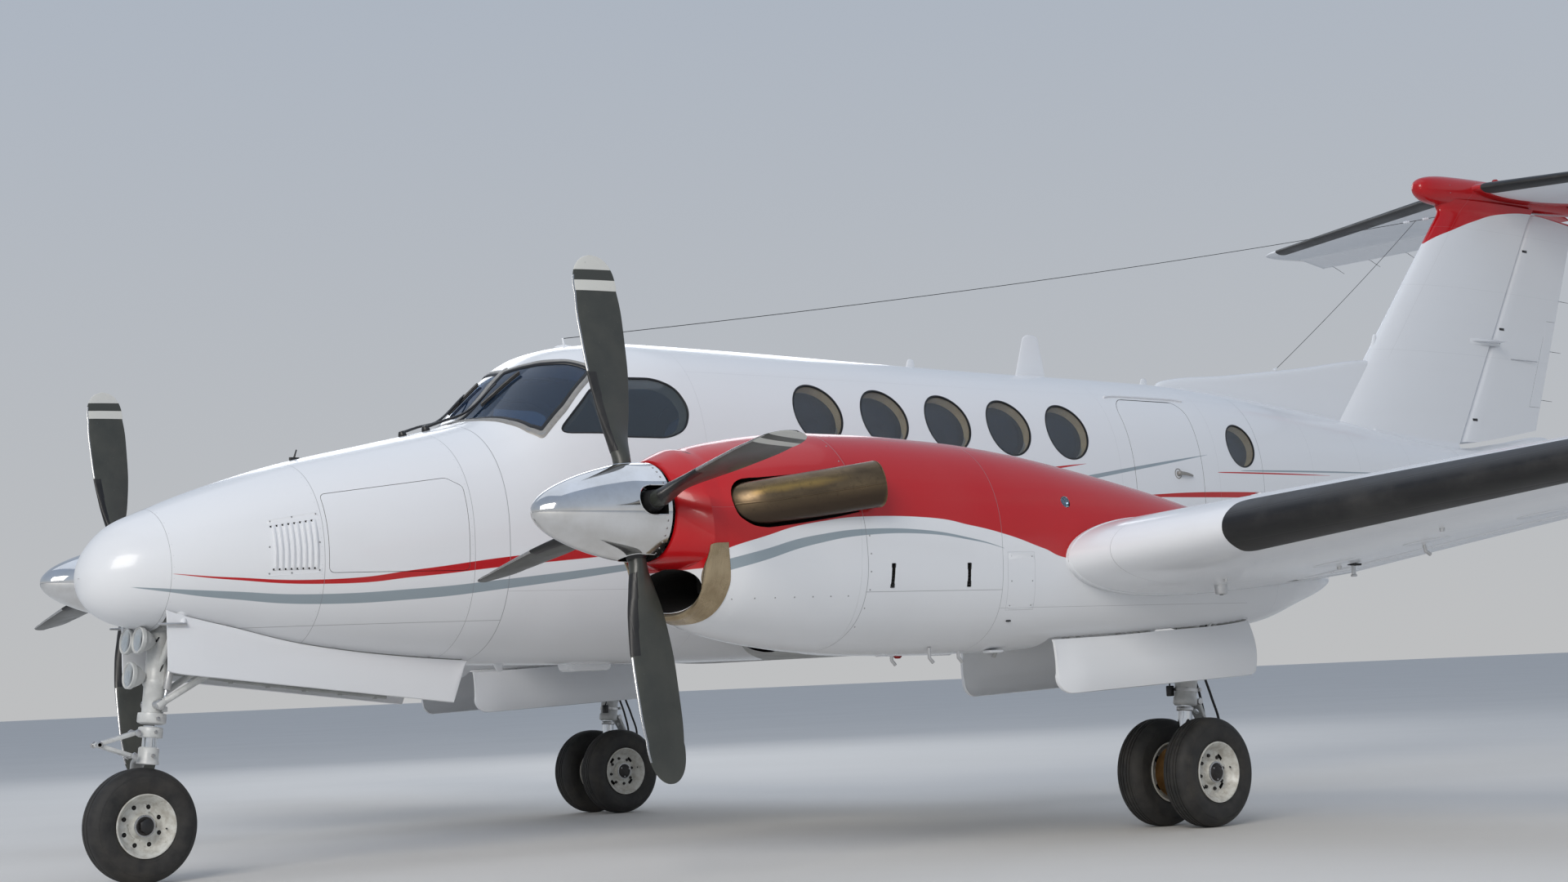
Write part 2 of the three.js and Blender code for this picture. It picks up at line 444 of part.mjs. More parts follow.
// seats on common rails: x, station of the cushion's middle, facing (+1 aft)
const SEATS = [[0.34, 2.70, -1], [-0.34, 2.70, -1], [0.34, 3.66, 1], [0.34, 4.72, -1], [-0.34, 4.08, -1],
  [0.34, 5.62, -1], [-0.34, 5.56, -1]];
const seatParts = [];
for (const x of [-0.47, -0.21, 0.21, 0.47]) seatParts.push(box(x - 0.02, x + 0.02, 2.46, 6.00, FLOOR_Z + gp, FLOOR_Z + 0.03));
for (const s of [2.60, 5.94]) seatParts.push(box(-0.49, 0.49, s - 0.02, s + 0.02, FLOOR_Z + gp, FLOOR_Z + 0.025));
for (const [x, s, f] of SEATS) {
  // side outline of one seat, k stations towards the back rest; the back leans away
  const k = (u, z) => [s - f * u, FLOOR_Z + z];
  seatParts.push(prism([k(-0.20, 0.02), k(0.22, 0.02), k(0.22, 0.24), k(0.30, 0.42), k(0.43, 0.97), k(0.33, 0.99),
    k(0.17, 0.42), k(-0.24, 0.39), k(-0.24, 0.24), k(-0.20, 0.22)], 'x', x - 0.20, x + 0.20));
}
put('seats', union(...seatParts).intersect(skin(WALL + 0.004)), TAN, 0.8);

// --- tail
put('aft_fuselage', aft);
const ventral = prism([[9.35, 1.70], [11.25, 2.07], [11.30, 1.86], [11.05, 1.80], [10.5, 1.78]], 'x', -0.016, 0.016);
const tieDown = rod([0, 11.18, 1.90], [0, 11.18, 1.795], 0.022, 0.022, 12);
put('tail_cone', union(cut(cone, slab(0, SHELL_S.aft + g)), ventral.intersect(slab(SHELL_S.aft + g, 12)), tieDown));

// symmetric fin section at height z
const finRing = (k, d = 0) => {
  const z = FIN.z[k], le = FIN.le[k], c = FIN.te[k] - le, t = FIN.t[k];
  const side = (q) => FOIL_F.map((f) => [q * (thick(f, t) * c + d) * 1000, Y(le + f * c), z * 1000]);
  const lower = side(-1).slice(0, -1).reverse();
  return [...side(1), ...lower];
};
const finAt = (arr, z) => lerp(arr[0], arr[1], (z - FIN.z[0]) / (FIN.z[1] - FIN.z[0]));
const bullet = loft(BULLET.map(([s, zb, zt, w]) => section([s, zb, zt, w, (zb + zt) / 2, 2.2, 2.2], 0, 0, 12)));
const bulletGrown = loft(BULLET.map(([s, zb, zt, w], i) => section([s + (i === 0 ? -0.001 : 0), zb - gp, zt + gp, w + gp, (zb + zt) / 2, 2.2, 2.2], 0, 0, 12)));
const stabSt = (x) => {
  const k = Math.abs(x) / STAB.half, le = lerp(STAB.root[0], STAB.tip[0], k);
  return [x, le, STAB.z, STAB.te - le, STAB.t, 0];
};
const symRing = ([x, s, z, c, t], d = 0) => {
  const side = (q) => FOIL_F.map((f) => [x * 1000, Y(s + f * c), (z + q * (thick(f, t) * c + d)) * 1000]);
  return [...side(1), ...side(-1).slice(0, -1).reverse()];
};
const stabTip = [[2.70, 0, 1], [2.78, 0.03, 0.6], [2.805, 0.10, 0.2]].map(([x, ds, kt]) => {
  const st = stabSt(x); return [x, st[1] + ds, st[2], st[3] - ds * 1.6, st[4] * kt, 0];
});
const stabHalf = (d = 0) => loft([stabSt(0), ...stabTip].map((r) => symRing(r, d)));
const stabFull = (d = 0) => union(stabHalf(d), mirror(stabHalf(d)));
const elevNoseR = (x) => { const st = stabSt(x); return thick((STAB.hinge - st[1]) / st[3], st[4]) * st[3]; };
const e = MOVE_GAP / 1000;
const elevRoom = (() => {
  const f = (x) => STAB.hinge - elevNoseR(x) - e;
  const [a, b] = [ELEV_X[0] - e, ELEV_X[1] + e];
  return prism([[a, f(a)], [b, f(b)], [b, 13.2], [a, 13.2]], 'z', 4.2, 4.7);
})();
const centreRoom = box(-0.2, 0.2, STAB.hinge - elevNoseR(0) - e, 13.2, 4.2, 4.7);
let stabBody = cut(stabFull(), elevRoom, mirror(elevRoom), centreRoom);
stabBody = cut(union(stabBody, bullet), rod([-0.3, STAB.hinge, STAB.z], [0.3, STAB.hinge, STAB.z], 0.032, 0.032, 16));
put('stabilizer', stabBody);
const elevHalf = (() => {
  const ring = (x) => {
    const st = stabSt(x), h = (STAB.hinge - st[1]) / st[3], r = elevNoseR(x);
    const fs = [1, lerp(1, h, 0.5), h];
    const up = fs.map((f) => [x * 1000, Y(st[1] + f * st[3]), (st[2] + thick(f, st[4]) * st[3]) * 1000]);
    const lo = fs.map((f) => [x * 1000, Y(st[1] + f * st[3]), (st[2] - thick(f, st[4]) * st[3]) * 1000]).reverse();
    const nz = [45, 90, 135].map((a) => [x * 1000, Y(STAB.hinge - r * Math.sin(a * D)), (st[2] + r * Math.cos(a * D)) * 1000]);
    return [...up, ...nz, ...lo];
  };
  return loft([ring(ELEV_X[0]), ring(ELEV_X[1])]);
})();
const torqueTube = rod([-0.15, STAB.hinge, STAB.z], [0.15, STAB.hinge, STAB.z], 0.024, 0.024, 16);
const aboutHinge = (m, s, z, deg) => m.translate([0, -Y(s), -z * 1000]).rotate([deg, 0, 0]).translate([0, Y(s), z * 1000]);
const elevator = aboutHinge(union(elevHalf, mirror(elevHalf), torqueTube), STAB.hinge, STAB.z, -ELEV_DROOP);
put('elevator', elevator);

// fin with its dorsal strake; the rudder turns about the inclined hinge line
const finSolid = loft([finRing(0), finRing(1)]);
const dorsal = prism(DORSAL, 'x', -0.035, 0.035);
const rudderFront = (z) => finAt(FIN.hinge, z);
const finHalfThick = (z) => { const le = finAt(FIN.le, z), c = finAt(FIN.te, z) - le; return thick((rudderFront(z) - le) / c, finAt(FIN.t, z)) * c; };
const [za, zb] = [2.2, 4.6];
const rudderRoom = prism([[rudderFront(za) - finHalfThick(FIN.z[0]) - 0.012, za], [rudderFront(zb) - finHalfThick(FIN.z[1]) - 0.012, zb], [13.2, zb], [13.2, za]], 'x', -0.3, 0.3);
const outerGrown = loft(FUSELAGE.slice(16).map((r) => section(r, -gp)));
put('tail_fin', cut(union(finSolid, dorsal), rudderRoom, outerGrown, bulletGrown, stabFull(gp)));
const rudderRing = (k) => {
  const z = FIN.z[k], le = FIN.le[k], c = FIN.te[k] - le, t = FIN.t[k], h = (FIN.hinge[k] - le) / c, r = thick(h, t) * c;
  const fs = [1, lerp(1, h, 0.5), h];
  const side = (q) => fs.map((f) => [q * thick(f, t) * c * 1000, Y(le + f * c), z * 1000]);
  const nz = [45, 90, 135].map((a) => [r * Math.cos(a * D) * 1000, Y(FIN.hinge[k] - r * Math.sin(a * D)), z * 1000]);
  return [...side(1), ...nz, ...side(-1).reverse()];
};
const rudderKeep = prism([[10.5, 2.420], [10.95, 2.428], [11.30, 2.472], [11.90, 2.560], [12.6, 2.64], [12.72, 4.262], [12.05, 4.288], [11.7, 4.29]], 'x', -0.3, 0.3);
put('rudder', loft([rudderRing(0), rudderRing(1)]).intersect(rudderKeep));

// --- wing panels, flaps and ailerons; each side
const jackPad = (x, s, z, top) => rod([x, s, top], [x, s, z], 0.035, 0.030, 12);
let centre = centreWing(0);
let panelL = wingSolid(WING_OUTER);
for (const [name, x0, x1, hinge, ends] of PANELS) {
  const table = name === 'flap_inner' ? WING_CENTRE : WING_OUTER;
  const room = panelRoom(table, x0, x1, hinge, ends);
  if (name === 'flap_inner') centre = cut(centre, room, mirror(room));
  else panelL = cut(panelL, room);
  const body = loft([x0, x1].map((x) => panelRing(stationAt(table, x), hinge)));
  for (const [side, m] of [['left', body], ['right', mirror(body)]]) {
    put(name === 'aileron' ? `aileron_${side}` : `flap_${side}_${name.slice(5)}`, m);
  }
}
const JACK = { x: 3.30, s: 4.15, z: 1.165 };
panelL = union(panelL, jackPad(JACK.x, JACK.s, JACK.z, 1.36));

// --- nacelles: cowling, rear nacelle with wheel well, engine
const NX = TRACK_HALF;
const nacelleSolid = loft(NACELLE.map((r) => section(r, 0, NX, 16)));
const ENGINE = { r: 0.245, s0: 1.215, s1: 2.90 };
const bore = rod([NX, 1.10, PROP_Z], [NX, ENGINE.s1 + gp, PROP_Z], ENGINE.r + gp, ENGINE.r + gp, 16);
const ellipse = (zc, a, b, n = 16) => Array.from({ length: n }, (_, i) => [NX + a * Math.cos((2 * Math.PI * i) / n), zc + b * Math.sin((2 * Math.PI * i) / n)]);
const INLET = { z: 1.265, a: 0.232, b: 0.098, lip: 0.040 };
const lip = prism(ellipse(INLET.z, INLET.a + INLET.lip, INLET.b + INLET.lip), 'y', 1.285, 1.42);
const duct = prism(ellipse(INLET.z, INLET.a, INLET.b), 'y', 1.20, 1.85);
// exhaust stack, outboard and inboard: elbow out of the engine, then aft
const stackPath = [[0.20, 1.46, 1.610], [0.365, 1.46, 1.610], [0.475, 2.12, 1.70]];
const stack = (r, d = 0) => union(...[1, -1].flatMap((q) => stackPath.slice(0, -1).map((p, i) => {
  const n = stackPath[i + 1];
  return rod([NX + q * p[0], p[1], p[2]], [NX + q * n[0], n[1] + (i ? d : 0), n[2]], r, r, 12);
})));
const STACK_R = 0.092;
const mouth = union(...[1, -1].map((q) => rod([NX + q * 0.440, 1.91, 1.671], [NX + q * 0.480, 2.15, 1.704], 0.080, 0.080, 10)));
const engineBlock = rod([NX, ENGINE.s0, PROP_Z], [NX, ENGINE.s1, PROP_Z], ENGINE.r, ENGINE.r, 16);
const engine = cut(union(engineBlock, stack(STACK_R)), mouth);
const bothSides = (name, m, ...rest) => { put(`${name}_left`, m, ...rest); put(`${name}_right`, mirror(m), ...rest); };
const front = nacelleSolid.intersect(box(NX - 1, NX + 1, 1.0, COWL_END - g, 0.5, 2.5));
bothSides('cowling', cut(union(front, cut(lip, box(NX - 1, NX + 1, 1.1, 1.4, PROP_Z - 0.24, 2))), bore, duct, stack(STACK_R + 0.012, 0.1)), RED, 0.2, 0.1);
const GEARWELL = { s0: 3.33, s1: 4.79, half: 0.300, top: 1.33 };
const gearWell = box(NX - GEARWELL.half, NX + GEARWELL.half, GEARWELL.s0, GEARWELL.s1, 0.7, GEARWELL.top);
const gearWellWing = box(NX - GEARWELL.half, NX + GEARWELL.half, 3.55, GEARWELL.s1 - 0.015, 0.7, GEARWELL.top);
centre = cut(centre, gearWellWing, mirror(gearWellWing));
put('wing_center', centre);
const rearNacelle = nacelleSolid.intersect(box(NX - 1, NX + 1, COWL_END + g, 6, 0.5, 2.5));
bothSides('nacelle', cut(rearNacelle, bore, stack(STACK_R + 0.012, 0.1), gearWell, stub(gp)));
bothSides('wing', panelL);
bothSides('engine', engine, 0x8a8378, 0.4, 0.8);

// --- propellers: hub with four blades in the spinner's plane, feathered
const HUB = { r: 0.115, s0: 0.93, s1: 1.168 };
// blade sections: radius, chord, thickness, angle from the disc plane, deg
const BLADE = [
  // r,    chord, thick, angle
  [0.090, 0.080, 0.080, 90], [0.235, 0.082, 0.078, 90], [0.330, 0.120, 0.058, 99], [0.480, 0.185, 0.042, 95],
  [0.700, 0.228, 0.028, 90], [0.900, 0.232, 0.020, 86], [1.050, 0.205, 0.014, 84], [1.140, 0.150, 0.011, 83], [1.190, 0.060, 0.008, 82],
];
const bladeRing = ([r, c, t, ang]) => {
  const n = 8, out = [], a = ang * D;
  for (let i = 0; i < n; i++) {
    const u = (2 * Math.PI * i) / n, p = 0.5 * c * Math.cos(u), q = 0.5 * t * Math.sin(u);
    out.push([(p * Math.cos(a) - q * Math.sin(a)) * 1000, (p * Math.sin(a) + q * Math.cos(a)) * 1000, r * 1000]);
  }
  return out;
};
const blade = loft(BLADE.map(bladeRing));
const around = (m, deg) => m.rotate([0, deg, 0]);
const atHub = (m) => m.translate([NX * 1000, Y(PROP_S), PROP_Z * 1000]);
const bladeAngles = [0, 90, 180, 270].map((d) => d - BLADE_TIP_ANGLE);
const hubLocal = turned([[0, HUB.s0 - PROP_S], [HUB.r, HUB.s0 - PROP_S], [HUB.r, HUB.s1 - PROP_S], [0, HUB.s1 - PROP_S]], [0, S0, 0], 'y', 12);
const propeller = union(hubLocal, ...bladeAngles.map((d) => around(blade, d)));
const SPINNER = [[0, 0.595], [0.030, 0.604], [0.085, 0.662], [0.140, 0.775], [0.186, 0.920], [0.212, 1.050], [0.219, 1.172], [0, 1.172]];
const spinnerSolid = turned(SPINNER.map(([r, s]) => [r, s - PROP_S]), [0, S0, 0], 'y', 20);
const shankHole = loft([[0.09], [0.3]].map(([r]) => Array.from({ length: 10 }, (_, i) => [52 * Math.cos((2 * Math.PI * i) / 10), 52 * Math.sin((2 * Math.PI * i) / 10), r * 1000])));
const hubHole = turned([[0, HUB.s0 - gp - PROP_S], [HUB.r + gp, HUB.s0 - gp - PROP_S], [HUB.r + gp, 1.3 - PROP_S], [0, 1.3 - PROP_S]], [0, S0, 0], 'y', 12);
const spinner = cut(spinnerSolid, hubHole, ...bladeAngles.map((d) => around(shankHole, d)));

// --- main gear, port side
const MS = WHEELBASE;
const mainLeg = (() => {
  const parts = [
    rod([NX, MS + 0.13, 1.31], [NX, MS + 0.035, 0.62], 0.058, 0.055, 12),
    rod([NX, MS + 0.04, 0.66], [NX, MS, AXLE_Z], 0.036, 0.036, 12),
    rod([NX - 0.055, MS, AXLE_Z], [NX + 0.055, MS, AXLE_Z], 0.055, 0.055, 12),
    rod([NX - 0.26, MS + 0.12, 1.26], [NX + 0.26, MS + 0.12, 1.26], 0.035, 0.035, 10),
    bar([NX, MS + 0.10, 0.64], [NX, MS + 0.19, 0.48], 0.05, 0.022), bar([NX, MS + 0.19, 0.48], [NX, MS + 0.03, AXLE_Z + 0.02], 0.045, 0.022),
    rod([NX - 0.032, MS + 0.19, 0.48], [NX + 0.032, MS + 0.19, 0.48], 0.018, 0.018, 8), bar([NX, MS + 0.03, 0.65], [NX, MS + 0.11, 0.63], 0.06, 0.03),
    rod([NX, MS + 0.05, 0.76], [NX, MS - 0.42, 1.12], 0.026, 0.026, 8), rod([NX, MS - 0.42, 1.12], [NX, MS - 0.78, 1.30], 0.026, 0.026, 8),
  ];
  return cut(union(...parts), rod([NX - 0.1, MS, AXLE_Z], [NX + 0.1, MS, AXLE_Z], 0.030, 0.030, 12));
})();
bothSides('main_gear_leg', mainLeg, 0xd9dadb, 0.4, 0.2);
const ringSolid = (profile, centre, seg) => turned([...profile, profile[0]], centre, 'x', seg);
const both = (half) => [...half, ...half.map(([r, h]) => [r, -h]).reverse()];
const W2 = TYRE_W / 2;
const tyre = ringSolid(both([[RIM_R + 0.0006, -0.78 * W2], [RIM_R + 0.045, -W2], [TYRE_R - 0.045, -0.98 * W2], [TYRE_R - 0.010, -0.74 * W2], [TYRE_R, -0.45 * W2]]), [0, S0, 0], 16);
const rimHalf = [[0.056, -0.055], [0.075, -0.026], [RIM_R - 0.016, -0.80 * W2], [RIM_R, -0.80 * W2]];
const rim = turned([[0, -0.055], ...both(rimHalf), [0, 0.055]], [0, S0, 0], 'x', 16);
const noseRimSolid = ringSolid(both([[0.030, -0.055], ...rimHalf]), [0, S0, 0], 16);
const twinRims = union(rim.translate([TWIN_OFF * 1000, 0, 0]), rim.translate([-TWIN_OFF * 1000, 0, 0]),
  rod([-TWIN_OFF - 0.068, S0, 0], [TWIN_OFF + 0.068, S0, 0], 0.0272, 0.0272, 10));

// --- nose gear: fixed cylinder with lights and brace; the fork turns in it
const NG = { top: [0, 0.135, 1.32], low: [0, 0.066, 0.760] };
const steerAxis = new THREE.Vector3(0, (NG.top[1] - NG.low[1]), NG.top[2] - NG.low[2]).normalize();
const onStrut = (z) => [0, NG.low[1] + ((z - NG.low[2]) * steerAxis.y) / steerAxis.z, z];
const noseLeg = (() => {
  const p = (z, x = 0, ds = 0) => { const q = onStrut(z); return [x, q[1] + ds, z]; };
  return cut(union(
    rod(p(1.32), p(0.765), 0.056, 0.052, 12), rod([-0.232, 0.135, 1.27], [0.232, 0.135, 1.27], 0.032, 0.032, 10),
    rod(p(0.86, -0.085), p(0.86, 0.085), 0.03, 0.03, 8),
    rod(p(0.86, 0.075), [0.15, 0.72, 1.22], 0.018, 0.018, 8), rod(p(0.86, -0.075), [-0.15, 0.72, 1.22], 0.018, 0.018, 8), rod([-0.2, 0.72, 1.22], [0.2, 0.72, 1.22], 0.02, 0.02, 8),
    rod([0.15, 0.72, 1.22], [0.15, 1.10, 1.432], 0.018, 0.018, 8), rod([-0.15, 0.72, 1.22], [-0.15, 1.10, 1.432], 0.018, 0.018, 8),
    ...[[0.070, 1.165], [-0.070, 1.165], [0.0, 0.997]].flatMap(([x, z]) => [
      rod([x, onStrut(z)[1] - 0.075, z], [x, onStrut(z)[1] - 0.145, z + 0.01], 0.038, 0.064, 8),
      rod([x, onStrut(z)[1] - 0.08, z], [0, onStrut(z)[1], z], 0.018, 0.018, 6)]),
    rod(p(0.815), p(0.770), 0.070, 0.070, 12)), box(-0.3, 0.3, -0.5, 2, 1.4296, 2));
})();
put('nose_gear_leg', noseLeg, 0xe4e4e2, 0.4, 0.2);
const noseFork = union(
  rod(onStrut(0.7575), onStrut(0.60), 0.036, 0.036, 12),
  rod(onStrut(0.752), onStrut(0.700), 0.060, 0.060, 12),
  rod(onStrut(0.655), onStrut(0.574), 0.050, 0.052, 12),
  // torque links in front
  bar([0, 0.02, 0.735], [0, -0.215, 0.680], 0.05, 0.020), bar([0, -0.215, 0.680], [0, -0.005, 0.612], 0.045, 0.020),
  rod([-0.03, -0.215, 0.680], [0.03, -0.215, 0.680], 0.016, 0.016, 8),
  // crown over the tyre's shoulder and the arm down to the axle
  bar([0.03, 0.05, 0.605], [-0.130, 0.05, 0.597], 0.085, 0.036, [0, 1, 0]),
  bar([-0.119, 0.05, 0.612], [-0.119, 0.0, AXLE_Z - 0.03], 0.022, 0.080, [1, 0, 0]),
  rod([-0.130, 0, AXLE_Z], [-0.108, 0, AXLE_Z], 0.048, 0.048, 12),
  rod([-0.12, 0, AXLE_Z], [0.082, 0, AXLE_Z], 0.0272, 0.0272, 12));
put('nose_gear_fork', noseFork, 0xd9dadb, 0.4, 0.3);

// --- gear doors, hanging open beside their wells, tops just under the skin
// lower skin of a section at sideways distance x from its centre line
const underside = ([, zb, , w, zm, , nb], x) => zm - (zm - zb) * (1 - (x / w) ** nb) ** (1 / nb);
const hangDoor = (table, xc, x0, x1, s0, s1, low0, low1, bulge) => loft([0, 0.04, 0.12, 0.31, 0.5, 0.75, 1].map((k) => {
  const s = lerp(s0, s1, k), zt = underside(rowAt(table, s), x0 - 0.006) - MOVE_GAP / 1000;
  const zl = lerp(low0, low1, k) + (k === 0 ? 0.06 : k === 0.04 ? 0.02 : 0), b = bulge * (k === 0 ? 0.3 : k === 0.04 ? 0.7 : 1);
  return [[x1 - 0.004, zt], [x1 + b * 0.7, lerp(zt, zl, 0.3)], [x1 + b, lerp(zt, zl, 0.7)], [x1 + b * 0.8, zl], [x0 + b * 0.8, zl], [x0 + b, lerp(zt, zl, 0.7)],
    [x0 + b * 0.7, lerp(zt, zl, 0.3)], [x0 - 0.004, zt]].map(([x, z]) => [(xc + x) * 1000, Y(s), z * 1000]);
}));
const noseDoor = hangDoor(FUSELAGE, 0, 0.245, 0.270, 0.10, 1.70, 1.018, 0.796, 0.012);
put('nose_gear_door_left', noseDoor);
put('nose_gear_door_right', mirror(noseDoor));
const outerDoor = hangDoor(NACELLE, NX, 0.306, 0.334, 3.34, 4.76, 0.720, 0.770, 0.045);
const innerDoor = mirror(outerDoor).translate([2 * NX * 1000, 0, 0]);
put('main_gear_door_left_outer', outerDoor);
put('main_gear_door_left_inner', innerDoor);
put('main_gear_door_right_outer', mirror(outerDoor));
put('main_gear_door_right_inner', mirror(innerDoor));

// ------------------------------------------------------------------ assembly
const aircraft = new THREE.Group();
function meshOf(m, colour, roughness, metalness) {
  const mesh = m.getMesh(), geo = new THREE.BufferGeometry();
  const pos = new Float32Array(mesh.numVert * 3);
  for (let i = 0; i < mesh.numVert; i++) for (let k = 0; k < 3; k++) pos[i * 3 + k] = mesh.vertProperties[i * mesh.numProp + k];
  geo.setAttribute('position', new THREE.BufferAttribute(pos, 3));
  geo.setIndex(Array.from(mesh.triVerts));
  geo.computeVertexNormals();
  return new THREE.Mesh(geo, new THREE.MeshStandardMaterial({ color: colour, roughness, metalness }));
}
for (const [name, m, colour, rough, metal] of pieces) {
  const mesh = meshOf(m, colour, rough, metal);
  mesh.name = name;
  aircraft.add(mesh);
}
// turning groups, placed at their axles and hubs
for (const [side, q] of [['left', 1], ['right', -1]]) {
  const hub = new THREE.Group();
  hub.position.set(q * NX * 1000, Y(PROP_S), PROP_Z * 1000);
  for (const [name, m, c, r, k] of [['propeller', propeller, 0x3d4340, 0.5, 0.2], ['spinner', spinner, 0xd8dadd, 0.08, 1.0]]) {
    const mesh = meshOf(m, c, r, k);
    mesh.name = `${name}_${side}`;
    hub.add(mesh);
  }
  aircraft.add(hub);
  const axle = new THREE.Group();
  axle.position.set(q * NX * 1000, Y(MS), AXLE_Z * 1000);
  const rims = meshOf(twinRims, 0xd6d6d2, 0.45, 0.3);
  rims.name = `main_rims_${side}`;
  axle.add(rims);
  for (const [place, off] of [['outer', q], ['inner', -q]]) {
    const tyreMesh = meshOf(tyre, RUBBER, 0.9, 0);
    tyreMesh.name = `main_tyre_${side}_${place}`;
    tyreMesh.position.x = off * TWIN_OFF * 1000;
    axle.add(tyreMesh);
  }
  aircraft.add(axle);
}
const noseAxle = new THREE.Group();
noseAxle.position.set(0, Y(0), AXLE_Z * 1000);
const noseRim = meshOf(noseRimSolid, 0xd6d6d2, 0.45, 0.3);
noseRim.name = 'nose_rim';
const noseTyre = meshOf(tyre, RUBBER, 0.9, 0);
noseTyre.name = 'nose_tyre';
noseAxle.add(noseRim, noseTyre);
aircraft.add(noseAxle);

export default aircraft;
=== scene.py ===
"""Looks of the twin turboprop aircraft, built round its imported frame.

Lengths are metres. Tables use the station s, metres aft of the nose axle, so a
point is (x, s, z) until place() turns it into the row frame, where y = s - S0.
"""
import math

import bmesh
import bpy
import numpy as np
from mathutils import Matrix, Vector


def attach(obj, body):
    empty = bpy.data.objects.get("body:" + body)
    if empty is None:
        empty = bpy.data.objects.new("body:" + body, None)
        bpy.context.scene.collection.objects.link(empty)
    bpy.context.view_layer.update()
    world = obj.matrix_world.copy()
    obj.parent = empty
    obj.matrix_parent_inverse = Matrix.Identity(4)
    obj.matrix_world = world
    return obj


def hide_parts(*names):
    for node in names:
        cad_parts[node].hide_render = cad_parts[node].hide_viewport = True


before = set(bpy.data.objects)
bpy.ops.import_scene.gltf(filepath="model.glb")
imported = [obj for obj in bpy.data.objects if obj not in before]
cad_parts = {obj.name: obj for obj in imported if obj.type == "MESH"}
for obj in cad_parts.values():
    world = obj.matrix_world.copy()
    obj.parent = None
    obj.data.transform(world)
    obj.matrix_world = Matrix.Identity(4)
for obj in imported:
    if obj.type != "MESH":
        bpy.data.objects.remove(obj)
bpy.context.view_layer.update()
S0 = 6.38
NX = 2.615                 # nacelle, propeller and main leg centre
PROP_S, PROP_Z = 1.10, 1.60
MS = 4.57                  # main axle station
AXLE_Z = 0.2795
FLOOR_Z = 1.20
RNG = np.random.default_rng(7)

# ------------------------------------------------------------------ tables
FUSELAGE = np.array([
    # s, zb, zt, w, zm, nt, nb
    [-0.290, 1.455, 1.500, 0.030, 1.478, 2.00, 2.00], [-0.268, 1.378, 1.580, 0.110, 1.478, 2.00, 2.00],
    [-0.215, 1.312, 1.660, 0.180, 1.482, 2.00, 2.00], [-0.120, 1.258, 1.742, 0.250, 1.492, 2.00, 2.00],
    [0.040, 1.220, 1.812, 0.318, 1.505, 2.00, 2.00], [0.350, 1.174, 1.928, 0.410, 1.535, 2.10, 2.10],
    [0.770, 1.092, 2.054, 0.510, 1.560, 2.15, 2.20], [1.300, 1.032, 2.172, 0.608, 1.600, 2.20, 2.30],
    [1.740, 1.003, 2.272, 0.668, 1.640, 2.30, 2.40], [1.835, 0.999, 2.303, 0.680, 1.660, 2.35, 2.40],
    [2.165, 0.990, 2.596, 0.713, 1.720, 2.55, 2.50], [2.320, 0.985, 2.694, 0.728, 1.760, 2.60, 2.50],
    [2.460, 0.982, 2.728, 0.738, 1.780, 2.60, 2.50], [2.900, 0.973, 2.765, 0.752, 1.800, 2.60, 2.50],
    [3.500, 0.967, 2.760, 0.757, 1.800, 2.60, 2.50], [5.600, 0.985, 2.725, 0.757, 1.800, 2.60, 2.50],
    [6.400, 1.022, 2.720, 0.745, 1.820, 2.60, 2.50], [7.100, 1.112, 2.712, 0.712, 1.860, 2.60, 2.45],
    [7.700, 1.238, 2.680, 0.665, 1.920, 2.55, 2.40], [8.900, 1.535, 2.575, 0.540, 2.020, 2.40, 2.30],
    [10.400, 1.860, 2.400, 0.350, 2.120, 2.20, 2.10], [10.800, 1.945, 2.385, 0.295, 2.160, 2.10, 2.00],
    [11.300, 2.060, 2.430, 0.220, 2.240, 2.00, 2.00], [11.900, 2.240, 2.500, 0.110, 2.370, 2.00, 2.00],
    [12.050, 2.320, 2.460, 0.050, 2.390, 2.00, 2.00]])
NACELLE = np.array([
    [1.190, 1.372, 1.828, 0.228, 1.600, 2.00, 2.00], [1.290, 1.330, 1.860, 0.305, 1.560, 2.00, 2.00],
    [1.300, 1.130, 1.863, 0.318, 1.480, 2.00, 2.20], [1.500, 1.060, 1.911, 0.390, 1.480, 2.10, 2.40],
    [1.830, 0.993, 1.957, 0.428, 1.480, 2.20, 2.50], [2.050, 0.966, 1.971, 0.438, 1.470, 2.20, 2.50],
    [2.320, 0.945, 1.970, 0.440, 1.460, 2.20, 2.50], [2.840, 0.933, 1.949, 0.440, 1.440, 2.20, 2.90],
    [3.270, 0.940, 1.907, 0.440, 1.420, 2.20, 3.20], [3.660, 0.950, 1.845, 0.438, 1.400, 2.20, 3.20],
    [4.190, 0.975, 1.744, 0.430, 1.360, 2.20, 3.20], [4.540, 0.990, 1.666, 0.415, 1.330, 2.10, 3.20],
    [5.010, 1.030, 1.540, 0.370, 1.290, 2.00, 2.70], [5.430, 1.130, 1.410, 0.270, 1.270, 2.00, 2.00],
    [5.700, 1.210, 1.320, 0.120, 1.265, 2.00, 2.00], [5.790, 1.245, 1.285, 0.030, 1.265, 2.00, 2.00]])
COWL_END = 2.05
WING_CENTRE = np.array([[0.660, 3.330, 1.150, 2.140, 0.180, 2.3], [3.060, 3.332, 1.366, 2.130, 0.180, 2.3]])
WING_OUTER = np.array([
    [3.0605, 3.332, 1.366, 2.130, 0.180, 2.3], [5.780, 3.876, 1.651, 1.494, 0.155, 0.6],
    [7.980, 4.316, 1.882, 0.974, 0.125, -0.8], [8.180, 4.372, 1.903, 0.880, 0.100, -1.0],
    [8.275, 4.440, 1.913, 0.750, 0.070, -1.0], [8.305, 4.520, 1.916, 0.560, 0.030, -1.0]])
CAMBER = 0.018
PANELS = [("flap_inner", 0.82, 2.13, 0.775, 0.018), ("flap_outer", 3.11, 5.73, 0.775, 0.015),
          ("aileron", 5.80, 7.94, 0.760, 0.014)]
